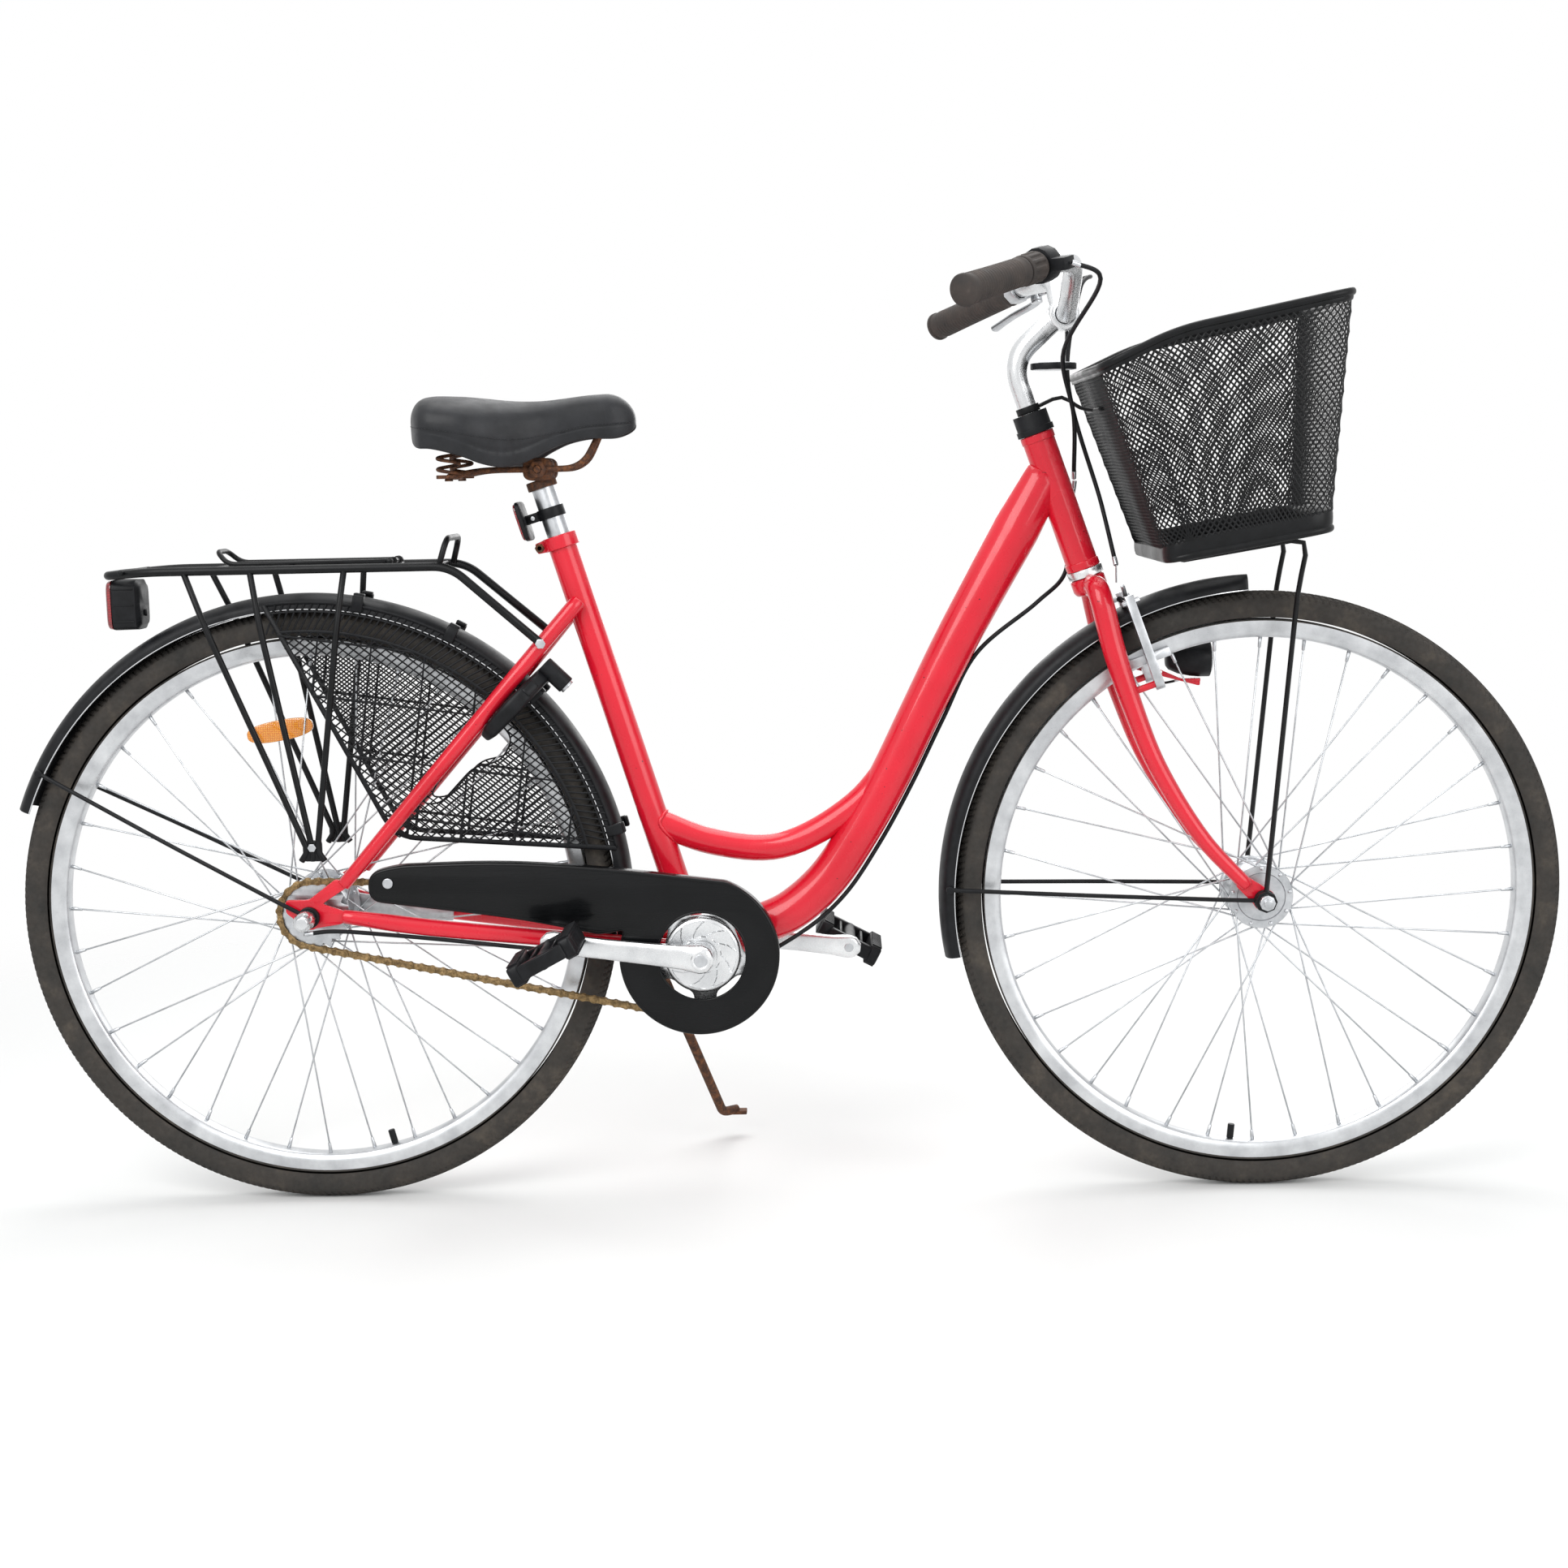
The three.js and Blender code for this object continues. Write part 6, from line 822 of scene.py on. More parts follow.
# Nets: strands in one direction, each cut to what lies inside the outline and outside the holes
def strandsIn(outline, holes, degrees, pitch):
    # the strand's crossings with all edges, sorted along it, bound its inside stretches in pairs
    loops = [np.asarray(loop, float) for loop in (outline, *holes)]
    starts = np.vstack(loops)
    ends = np.vstack([np.roll(loop, -1, axis=0) for loop in loops])
    way = np.array((math.cos(math.radians(degrees)), math.sin(math.radians(degrees))))
    normal = np.array((-way[1], way[0]))
    first, last = starts @ normal, ends @ normal
    found = []
    for offset in np.arange(first.min() + pitch * 0.37, first.max(), pitch):
        crossing = (first - offset) * (last - offset) < 0
        share = (offset - first[crossing]) / (last[crossing] - first[crossing])
        spots = starts[crossing] + share[:, None] * (ends[crossing] - starts[crossing])
        spots = spots[np.argsort(spots @ way)]
        found += [(spots[i], spots[i + 1]) for i in range(0, len(spots) - 1, 2)]
    return found


def closedTube(loop, radii, sides=12, material=0, sideways=(0, 0, 1)):
    # a tube along a loop: made with one step more at each end, which are then left off
    loop = np.asarray(loop, float)
    around = np.vstack((loop[-1:], loop, loop[:2]))
    rings = tube(around, radii, sides, 0, material, sideways)[0][0].reshape(len(around), sides, 3)
    return [gridPart(rings[1:-1], False, True, material)]


# Basket: expanded steel mesh on walls with rounded corners, a coated rim and a solid band round the foot
basket = {"foot": [(970, 391), (1149, 422)], "top": [(894, 597), (1163, 671)], "footHalf": 138, "topHalf": 168,
          "kink": 0.3, "kinkRise": 15, "corner": 30, "strands": 148, "strand": (0.95, 0.42), "slant": 0.19}


def basketRings():
    # the foot's and the rim's four-sided outlines with rounded corners and a kink in each side
    rings = []
    for (rear, front), half, rise in ((basket["foot"], basket["footHalf"], 0),
                                      (basket["top"], basket["topHalf"], basket["kinkRise"])):
        rear, front = np.array(rear, float), np.array(front, float)
        side = [rear, rear + (front - rear) * basket["kink"] + (0, rise), front]
        corners = [(p[0], -half, p[1]) for p in side] + [(p[0], half, p[1]) for p in reversed(side)]
        rings.append(roundedLoop(corners, basket["corner"], 8))
    return rings


footRing, topRing = basketRings()
ringSteps = np.linalg.norm(np.diff(np.vstack((topRing, topRing[:1])), axis=0), axis=1)
ringKnots = np.concatenate(((0.0,), np.cumsum(ringSteps))) / ringSteps.sum()


def onBasket(around, rise):
    # around runs from 0 to 1 round the walls, and rise from 0 at the foot to 1 at the rim
    around = np.asarray(around, float) % 1.0
    low, high = [np.stack([np.interp(around, ringKnots, np.append(column, column[0])) for column in ring.T], -1)
                 for ring in (footRing, topRing)]
    return low + (high - low) * np.asarray(rise, float)[..., None]


def basketParts():
    # strands climb the walls leaning both ways, others cross the floor, and rings close the foot and the rim
    parts = []
    rise = np.linspace(0, 1, 13)
    for i in range(basket["strands"]):
        for sign in (1, -1):
            line = onBasket(i / basket["strands"] + sign * rise * basket["slant"], rise)
            outwards = unit((line - (1050, 0, 0)) * (1, 1, 0))
            parts.append(tube(line, basket["strand"], 4, 0, 0, outwards)[0])
    (rearX, rearZ), (frontX, frontZ) = basket["foot"]
    slope = (frontZ - rearZ) / (frontX - rearX)
    for degrees in (45, -45):
        for a, b in strandsIn(footRing[:, :2], (), degrees, 6.0):
            ends = [(p[0], p[1], rearZ + (p[0] - rearX) * slope) for p in (a, b)]
            parts.append(tube(ends, (0.9, 0.45), 4, 0, 0, (0, 0, 1))[0])
    around = np.linspace(0, 1, 161)[:-1]
    parts += closedTube(onBasket(around, np.full(160, 1.0)), (3.4, 4.2), 14)
    parts += closedTube(onBasket(around, np.full(160, 0.982)), (1.2, 4.2), 12)
    parts += closedTube(onBasket(around, np.full(160, 0.0)), (3.6, 4.2), 14)
    parts += closedTube(onBasket(around, np.full(160, 0.045)), (1.3, 9.5), 12)
    for x in (1030, 1090):
        z = rearZ + (x - rearX) * slope
        parts += tube([(x, -136, z), (x, 136, z)], 2.2, 12, 0.5, 0, (0, 0, 1))
    return parts


makePiece("basketMesh", basketParts(), "steering", "black_paint", ["basket"], sharp=60)
print("basket made")


# Skirt guards: black plastic net clipped to the rear mudguard, with a ribbed band and a cut-out for the lock
skirt = {"y": 28.2, "outer": 358.6, "inner": 325.5, "from": 11, "to": 97, "corner": (96, 86), "pitch": 7.6,
         "clips": (79.7, 62, 43.3, 14.4)}
lockHole = roundedLoop([(128, 124), (150, 124), (190, 166), (222, 172), (237, 198), (214, 226), (188, 214),
                        (160, 180)], 12, 4)


def onNet(points):
    points = np.asarray(points, float)
    return np.column_stack((points[:, 0], np.full(len(points), skirt["y"]), points[:, 1]))


def skirtParts():
    # two sets of thin strands cross between the inner arc and the corner; short ribs, hoops and a hem frame them
    rim = arc(0, 0, skirt["outer"], skirt["from"], skirt["to"], 80)
    inner = arc(0, 0, skirt["inner"], skirt["from"] + 1.2, skirt["to"] - 1.6, 80)
    outline = np.vstack((inner, [skirt["corner"]]))
    parts = []
    for degrees in (38, -38):
        for a, b in strandsIn(outline, [lockHole], degrees, skirt["pitch"]):
            parts.append(tube(onNet([a, b]), (1.0, 0.8), 6, 0)[0])
    for degrees, pitch in ((82, 62), (-8, 64)):
        for a, b in strandsIn(outline, [lockHole], degrees, pitch):
            parts.append(tube(onNet([a, b]), (1.7, 0.95), 8, 0)[0])
    for turn in np.arange(skirt["from"] + 1.5, skirt["to"] - 1.5, 1.35):
        spot = [arc(0, 0, far, turn + lean, turn + lean, 0)[0]
                for far, lean in ((325, 2.6), (342, 1.0), (357, 0))]
        parts.append(tube(onNet(spot), (1.15, 0.85), 6, 0)[0])
    parts += tube(onNet(rim), (1.6, 0.95), 8, 0.2)
    parts += tube(onNet(arc(0, 0, 348, skirt["from"], skirt["to"], 80)), (1.1, 0.9), 8, 0.2)
    parts += tube(onNet(inner), (1.9, 0.95), 8, 0.2)
    edge = roundedPath([rim[-1], skirt["corner"], rim[0]], 26, 6)
    parts += tube(onNet(edge), (3.0, 1.0), 10, 0.3)
    parts += closedTube(onNet(lockHole), (1.0, 2.4), 8, 0, (0, 1, 0))
    for turn in skirt["clips"]:
        a, b = (arc(0, 0, far, turn, turn, 0)[0] for far in (352, 371))
        parts += block((a[0], 27.6, a[1]), (b[0], 27.6, b[1]), 6.5, 3.4, 1.2)
        parts += block((b[0], 28.4, b[1]), (b[0], 19, b[1]), 6, 2.2, 0.8, (a[0] - b[0], 0, a[1] - b[1]))
    return parts


makePiece("skirtNetLeft", skirtParts(), "frame", "black_plastic", ["skirt_guard_left"], sharp=60)
makePiece("skirtNetRight", acrossY(skirtParts()), "frame", "black_plastic", ["skirt_guard_right"], sharp=60)
print("skirt guards made")


# Saddle: padded shell with a raised tail, a dip, a rounded nose and a deep flap under each thigh
saddle = {"tail": 134, "nose": 386, "stitch": 4.0, "fill": 0.8}
saddleRows = np.array([
    # share of the length, half width, top, widest side, lower edge
    (0.00, 66, 582, 556, 529), (0.06, 84, 585, 554, 528), (0.13, 93, 587, 552, 527),
    (0.24, 94.5, 586, 548, 520), (0.34, 86, 583.5, 544, 510), (0.43, 70, 581, 541, 506),
    (0.52, 53, 580, 541, 511), (0.61, 41, 580.5, 544, 523), (0.70, 35, 582.5, 548, 532),
    (0.80, 31, 585, 552, 536), (0.90, 28, 586, 554, 536), (1.00, 24, 584, 555, 538)])


def saddleParts():
    # both ends close on a quarter ellipse: the section shrinks by the root of 1 - u^2 over the last part
    share = (1 - np.cos(np.linspace(0, np.pi, 121))) / 2
    rows = smoothPath(saddleRows, 10)
    order = np.argsort(rows[:, 0])
    half, top, side, low = [np.interp(share, rows[order, 0], rows[order, k]) for k in (1, 2, 3, 4)]
    tail, nose = np.clip(1 - share / 0.085, 0, 1), np.clip((share - 0.87) / 0.13, 0, 1)
    close = np.sqrt(np.clip(1 - tail ** 2.2, 0.0004, 1)) * np.sqrt(np.clip(1 - nose ** 2, 0.0004, 1))
    middle = side - 2
    top, low = middle + (top - middle) * (0.12 + 0.88 * close), middle + (low - middle) * (0.2 + 0.8 * close)
    half = half * (0.2 + 0.8 * close)
    # outward share of the half width, and height: -1 at the lower edge, 0 at the widest side, 1 at the top
    shape = np.array([(0.0, -0.66), (0.5, -0.68), (0.74, -0.8), (0.84, -0.97), (0.89, -1.0), (0.935, -0.82),
                      (0.975, -0.42), (1.0, 0.0), (0.99, 0.24), (0.945, 0.48), (0.86, 0.68), (0.72, 0.84),
                      (0.54, 0.94), (0.34, 0.99), (0.16, 1.0), (0.0, 0.985)])
    fine = smoothPath(shape, 6)
    ring = np.vstack((fine, fine[-2:0:-1] * (-1, 1)))
    x = saddle["tail"] + (saddle["nose"] - saddle["tail"]) * share
    y = half[:, None] * ring[None, :, 0]
    height = ring[None, :, 1]
    z = side[:, None] + np.where(height > 0, (top - side)[:, None] * height, (side - low)[:, None] * height)
    across = np.abs(ring[None, :, 0])
    along = share[:, None]
    dip = (5.0 * np.exp(-(across / 0.2) ** 2) * np.exp(-((along - 0.2) / 0.17) ** 2)
           + 2.2 * np.exp(-(across / 0.3) ** 2) * np.exp(-((along - 0.55) / 0.14) ** 2)) * (height > 0.8)
    # the cover's seam dips below the widest line at the flap; soft pulls run down from it over the flap
    seamLine = -0.22 - 0.3 * np.exp(-((along - 0.42) / 0.2) ** 2)
    seam = 1.2 * np.exp(-((height - seamLine) / 0.05) ** 2) * (along > 0.03) * (along < 0.985)
    pulls = 1.1 * np.exp(-((height + 0.45) / 0.3) ** 2) * np.exp(-((along - 0.42) / 0.13) ** 2) * np.sin(
        along * 190 + height * 3)
    y = y - np.sign(y) * np.minimum(seam + pulls, np.abs(y) * 0.3)
    grid = np.stack((np.broadcast_to(x[:, None], y.shape), y, z - dip), -1)
    parts = [gridPart(grid, False, True), fanPart(grid[0]), fanPart(grid[-1])]
    # stitches: short raised threads every 4 mm just above the seam
    for sign in (1, -1):
        column = np.argmin(np.abs(ring[:, 1] + 0.16) + (ring[:, 0] * sign < 0.5) * 9)
        line = grid[6:-6, column] + (0, 0.35 * sign, 0)
        far = np.concatenate(((0.0,), np.cumsum(np.linalg.norm(np.diff(line, axis=0), axis=1))))
        for at in np.arange(4, far[-1] - 4, saddle["stitch"]):
            ends = [[np.interp(spot, far, line[:, k]) for k in range(3)] for spot in (at, at + 2.6)]
            parts += tube(ends, 0.45, 5, 0.15, sideways=(0, 0, 1))
    return parts


saddlePiece = makePiece("saddleCushion", saddleParts(), "seatpost", "vinyl", ["saddle"], sharp=75)
print("saddle made")


# Saddle frame and springs of rusted wire, and the clamp that holds them on the post
def saddleFrameParts():
    # each coil climbs 41.5 mm round a 12 mm circle in 3.4 turns, between two washers
    corners = [(346, 7.3, 544.6), (325.2, 22, 503.2), (211.8, 22, 503.2), (178, 40, 497)]
    half = smoothPath(roundedPath(corners, 24, 5), 3)
    parts = tube(np.vstack((half[::-1], half * (1, -1, 1))), 3.5, 14, 0.6, sideways=(0.1, 0.2, 1))
    parts += tube([(178, -45, 496.6), (178, 45, 496.6)], 3.5, 14, 0.8, sideways=(0, 0, 1))
    turn = np.linspace(0, 2 * np.pi * 3.4, 150)
    rise = np.linspace(0, 1, 150)
    coil = np.column_stack((178 + 12 * np.cos(turn), 46 + 12 * np.sin(turn), 499.2 + 41.5 * rise))
    side = tube(coil, 2.1, 10, 0.6, sideways=(0, 0, 1))
    side += softBar((178, 46, 494.4), (178, 46, 498.6), 14, 36, 1.0)
    side += softBar((178, 46, 491.6), (178, 46, 494.4), 5, 6, 0.6)
    side += softBar((178, 46, 540.2), (178, 46, 543.2), 14, 36, 0.8)
    return parts + bothSides(side)


def saddleClampParts():
    # two serrated cheeks on each rail, the bolt through them with its nuts, and a short socket on the post
    x = 275.48
    parts = pipe(13.5, 17.2, 56, 66, 1.2, seatTop, seatUp, 40)
    parts += tube([(x, -26.5, 503), (x, 26.5, 503)], 7.0, 28, 1.2, sideways=(0, 0, 1))
    side = softBar((x, 24.8, 503), (x, 29, 503), 10.4, 6, 0.8) + softBar((x, 29, 503), (x, 31, 503), 4, 20, 0.6)
    for y, wide in ((12, 3.2), (20.2, 2.6)):
        side += tube([(x, y - wide, 503), (x, y + wide, 503)], [(17.5, 13), (17.5, 13)], 36, 1.2,
                     sideways=(0, 0, 1), power=0.6)
    for i in range(20):
        turn = i * math.pi / 10
        spot = np.array((x + 13 * math.cos(turn), 16.4, 503 + 11 * math.sin(turn)))
        side += block(spot, spot + (0, 1.6, 0), 1.0, 0.7, 0.2, (0, 0, 1))
    return parts + bothSides(side)


makePiece("saddleWireFrame", saddleFrameParts(), "seatpost", "rusty_steel", ["saddle_frame"], sharp=50)
makePiece("saddleClampCheeks", saddleClampParts(), "seatpost", "rusty_steel", ["saddle_clamp"], sharp=50)
makePiece("seatpostTube", pipe(11.4, 13.4, -90, 63, 0.8, seatTop, seatUp), "seatpost", "zinc_steel",
          ["seatpost"], sharp=50)


def collarParts():
    # red band with a slot behind, and two ears drawn together by a rusted bolt
    turn = np.radians(np.linspace(186, 534, 60))
    profile = roundedLoop([(16.8, -15), (20, -15), (20, 0), (16.8, 0)], 1.0, 3)
    grid = (seatTop + profile[None, :, 1, None] * seatUp + profile[None, :, 0, None]
            * (np.cos(turn)[:, None] * seatAhead + np.sin(turn)[:, None] * (0, 1, 0))[:, None])
    parts = [gridPart(grid, False, True, 1), fanPart(grid[0], 1), fanPart(grid[-1], 1)]
    for sign in (1, -1):
        ear = [fromSeatTop(-7.5, -18.5, sign * 3.6), fromSeatTop(-7.5, -29, sign * 3.6)]
        parts += tube(ear, [(2.2, 7), (2.2, 6)], 28, 1.0, 1, seatUp, 0.5)
    parts += softBar(fromSeatTop(-7.5, -25, -9), fromSeatTop(-7.5, -25, 9), 3, 20, 0.5)
    parts += softBar(fromSeatTop(-7.5, -25, -9), fromSeatTop(-7.5, -25, -5.9), 5.6, 6, 0.6)
    parts += softBar(fromSeatTop(-7.5, -25, 5.9), fromSeatTop(-7.5, -25, 9), 5.6, 24, 0.9)
    return parts


makePiece("seatCollarBand", collarParts(), bodyOf["seat_collar"], "rusty_steel", ["seat_collar"],
          [finishes["painted_red"]], 50)
print("saddle frame made")


# Chain guard: a pressed sheet with a rolled lip, open where the lower run of the chain leaves it
def inset(loop, distance):
    # each point moves square to the line between its neighbours
    ahead = unit(np.roll(loop, -1, axis=0) - np.roll(loop, 1, axis=0))
    return loop + distance * np.column_stack((-ahead[:, 1], ahead[:, 0]))


def chainGuardParts():
    # the lip is a row of insets of the outline, 13 mm deep, or 0.4 mm where the chain leaves the guard below
    corners = np.vstack((arc(446, -53, 92, -200, 70, 60), [(332.9, 52.5), (219.8, 61), (103, 58.5), (69, 50),
                                                           (69, 17), (238.65, -6), (332.9, -26)]))
    loop = roundedLoop(corners, 60, 5)
    lowest = np.interp(loop[:, 0], (64, 238.65, 332.9, 360, 372), (19, -4, -24, -44, -127))
    leaves = (lowest >= loop[:, 1] - 0.5) & (loop[:, 0] < 372) & (loop[:, 1] < 19)
    lip = np.where(leaves, -61.8, -49.0)
    rings = [(0, lip), (0, -61.4), (0.35, -62.6), (1.1, -63.5), (2.4, -64.0), (4.0, -64.0), (4.0, -62.0),
             (2.6, -62.0), (1.9, -61.3), (1.9, lip)]
    rows = []
    for distance, y in rings:
        flat = inset(loop, distance)
        rows.append(np.column_stack((flat[:, 0], np.broadcast_to(y, len(flat)), flat[:, 1])))
    parts = [gridPart(np.stack(rows), True, True)]
    parts += plate(inset(loop, 4.0), -64, -62, [circle(*crankSpot, 51, 72)], 0.3)
    window = circle(*crankSpot, 51.6, 72)
    parts += closedTube(np.column_stack((window[:, 0], np.full(72, -63.0), window[:, 1])), (1.6, 1.6), 10, 0,
                        (0, 1, 0))
    parts += softBar((92, -66, 38), (92, -63.8, 38), 6, 24, 0.8, material=1)
    return parts


makePiece("chainGuardSheet", chainGuardParts(), "frame", "gloss_black", ["chain_guard"],
          [finishes["zinc_steel"]], 50)
print("chain guard made")


# Cranks, chainring and the pressed disc on its face
# Both starts, in degrees, turn the teeth so that the chain's pins lie between them
crankReach = 170
drive = {"links": 100, "y": -45.0, "ring": 76.9, "ringTeeth": 38, "ringStart": 2.6, "sprocket": 38.6,
         "sprocketTeeth": 19, "sprocketStart": 2.8, "sheet": (-46.1, -43.9)}


def crankArm(degrees, side):
    # a squarish bar whose width and depth follow the table of reaches, on a turned boss
    turn = math.radians(degrees)
    way = np.array((math.cos(turn), 0, math.sin(turn)))
    axis = crankCentre + (0, side * 77, 0)
    reach = np.array((-14.0, -9, 0, 9, 20, 60, 110, 150, 162, 170, 178, 184))
    wide = np.array((6.0, 14.5, 17, 16, 14.2, 12.6, 11.6, 12, 13.4, 14, 12, 5))
    deep = np.array((9.0, 12, 12.4, 11.6, 8.2, 6.4, 6, 6.4, 6.8, 6.8, 6.2, 4))
    fine = np.linspace(reach[0], reach[-1], 70)
    radii = np.column_stack((np.interp(fine, reach, wide), np.interp(fine, reach, deep)))
    lift = np.interp(fine, reach, (0, 0, 0, 0, -1, -2.2, -1.2, 0, 0, 0, 0, 0)) * -side
    line = axis + fine[:, None] * way + np.column_stack((np.zeros(70), lift, np.zeros(70)))
    parts = tube(line, radii, 36, 0, 0, (0, 1, 0), 0.62)
    boss = [(0, 12.2), (7, 12.2), (8, 13), (10.5, 13.2), (11.2, 12.6), (11.2, 10)]
    parts += spun(boss, axis, (0, side, 0), 48)
    parts += softBar(axis + (0, side * 12, 0), axis + (0, side * 13.4, 0), 7.4, 32, 0.5, material=1)
    eye = axis + way * crankReach
    parts += softBar(eye + (0, side * 4, 0), eye + (0, side * 8.2, 0), 8.2, 28, 0.6, material=1)
    parts += softBar(eye + (0, -side * 7.6, 0), eye + (0, -side * 5, 0), 5.5, 24, 0.6, material=1)
    return parts


def toothed(x, z, radius, teeth, height, start=0.0):
    # five points a tooth: low, rising, both ends of the tip, falling
    share = np.array((0.0, 0.22, 0.42, 0.58, 0.78))
    low, flank, tip = radius - height * 0.45, radius - height * 0.1, radius + height * 0.55
    far = np.array((low, flank, tip, tip, flank))
    turn = np.radians(start) + (np.arange(teeth)[:, None] + share[None]) * 2 * np.pi / teeth
    return np.stack((x + far * np.cos(turn), z + far * np.sin(turn)), -1).reshape(-1, 2)


def pinwheel():
    # depth of the relief falls along each of nine curved blades and jumps up to the next one
    radius = np.concatenate((np.linspace(17, 21, 3), np.linspace(22, 39, 22), np.linspace(39.6, 44, 5)))
    turn = np.linspace(0, 2 * np.pi, 216, endpoint=False)
    blade = (turn[None] * 9 / (2 * np.pi) + 0.045 * (radius[:, None] - 20)) % 1.0
    field = ((radius > 21.5) & (radius < 39.3))[:, None]
    dome = 2.2 * np.clip((44 - radius) / 5, 0, 1) ** 0.6
    y = -54.6 - dome[:, None] + np.where(field, 1.5 * (1 - blade), 0.0)
    x, z = crankSpot
    grid = np.stack((x + radius[:, None] * np.cos(turn), y, z + radius[:, None] * np.sin(turn)), -1)
    back = spun([(44, -54.6), (44, -51.6), (17, -51.6)], crankCentre, (0, 1, 0), 216)
    return [gridPart(grid, False, True)] + back


def chainringParts():
    # a toothed plate with five windows and five bolts, and the turned sleeve that carries it
    x, z = crankSpot
    holes = [circle(x, z, 17.4, 32)]
    window = ((48, -0.36), (66, -0.42), (68, 0), (66, 0.42), (48, 0.36))
    for i in range(5):
        spot = math.radians(i * 72 + 20)
        holes.append(roundedLoop([(x + far * math.cos(spot + lean), z + far * math.sin(spot + lean))
                                  for far, lean in window], 6, 3))
    teeth = toothed(x, z, drive["ring"], drive["ringTeeth"], 7.4, drive["ringStart"])
    parts = plate(teeth, *drive["sheet"], holes, 0.3)
    for i in range(5):
        spot = math.radians(i * 72 + 56)
        bolt = np.array((x + 30 * math.cos(spot), -46, z + 30 * math.sin(spot)))
        parts += softBar(bolt, bolt + (0, -5.4, 0), 4.4, 18)
    return parts + spun([(9, -64.6), (16.8, -64.6), (16.8, -44), (9, -44)], crankCentre, (0, 1, 0), 48, True)


leftSleeve = spun([(9, 44), (13, 44), (14, 66), (9, 66)], crankCentre, (0, 1, 0), 40, True)
makePiece("crankRight", crankArm(173, -1) + chainringParts() + pinwheel(), "crank", "polished_alloy",
          ["crank_right_and_chainring"], [finishes["zinc_steel"]], 40)
makePiece("crankLeft", crankArm(353, 1) + leftSleeve, "crank", "polished_alloy", ["crank_left"],
          [finishes["zinc_steel"]], 40)
print("cranks made")


# Chain: a hundred links, inner and outer pairs of plates in turn, with rollers and pin ends
def chainPins():
    # pins lie at equal steps along the two straight runs and the two arcs
    x, z = crankSpot
    lean = math.acos((drive["ring"] - drive["sprocket"]) / math.hypot(x, z))
    base = math.atan2(-z, -x)
    up, down = base - lean, base + lean
    path = np.vstack([np.column_stack((centreX + radius * np.cos(turn), centreZ + radius * np.sin(turn)))
                      for centreX, centreZ, radius, turn in (
                          (x, z, drive["ring"], np.linspace(down - 2 * np.pi, up, 200)),
                          (0, 0, drive["sprocket"], np.linspace(up, down, 120)))])
    path = np.vstack((path, path[:1]))
    far = np.concatenate(((0.0,), np.cumsum(np.linalg.norm(np.diff(path, axis=0), axis=1))))
    spots = np.arange(drive["links"]) * far[-1] / drive["links"]
    return np.column_stack([np.interp(spots, far, path[:, k]) for k in (0, 1)])


def linkPlate(length, fat):
    # two round ends joined by a waist
    right = arc(length / 2, 0, fat, -125, 125, 12)
    left = arc(-length / 2, 0, fat, 55, 305, 12)
    return np.vstack((right, [(0, fat * 0.72)], left, [(0, -fat * 0.72)]))


def chainParts():
    # each link is the same pair of plates, turned and moved to lie from its pin to the next
    pins = chainPins()
    following = np.roll(pins, -1, axis=0)
    pitch = float(np.linalg.norm(following[0] - pins[0]))
    outer, inner = [plate(linkPlate(pitch, fat), -far, -near, (), 0.2)
                    + plate(linkPlate(pitch, fat), near, far, (), 0.2)
                    for fat, near, far in ((4.3, 2.9, 3.9), (4.2, 1.8, 2.75))]
    joint = spun([(0, -4.4), (1.6, -4.4), (1.8, -4.2), (1.8, -1.7), (3.4, -1.7), (3.4, 1.7), (1.8, 1.7),
                  (1.8, 4.2), (1.6, 4.4), (0, 4.4)], (0, 0, 0), (0, 1, 0), 12)
    parts = []
    for i, (a, b) in enumerate(zip(pins, following)):
        way = unit(b - a)
        turn = np.array(((way[0], 0, -way[1]), (0, 1, 0), (way[1], 0, way[0])))
        middle = ((a[0] + b[0]) / 2, drive["y"], (a[1] + b[1]) / 2)
        parts += moved(outer if i % 2 else inner, turn, middle)
        parts += moved(joint, None, (a[0], drive["y"], a[1]))
    return parts


def sprocketParts():
    teeth = toothed(0, 0, drive["sprocket"], drive["sprocketTeeth"], 7.2, drive["sprocketStart"])
    sleeve = spun([(6, -54), (17, -54), (17, -36), (6, -36)], (0, 0, 0), (0, 1, 0), 40, True)
    return plate(teeth, *drive["sheet"], [circle(0, 0, 17, 24)], 0.3) + sleeve


makePiece("chainLinks", chainParts(), bodyOf["chain"], "rusty_chain", ["chain"], sharp=40)
makePiece("sprocketTeeth", sprocketParts(), "sprocket", "zinc_steel", ["sprocket"], sharp=40)
print("chain made")


# Pedals: two ribbed rails of black plastic on a barrel, joined by end plates
pedal = {"rail": 32.5, "lip": 39.6, "from": 93, "to": 179, "ribs": (98, 176, 7.2), "ribHeight": 12.2}


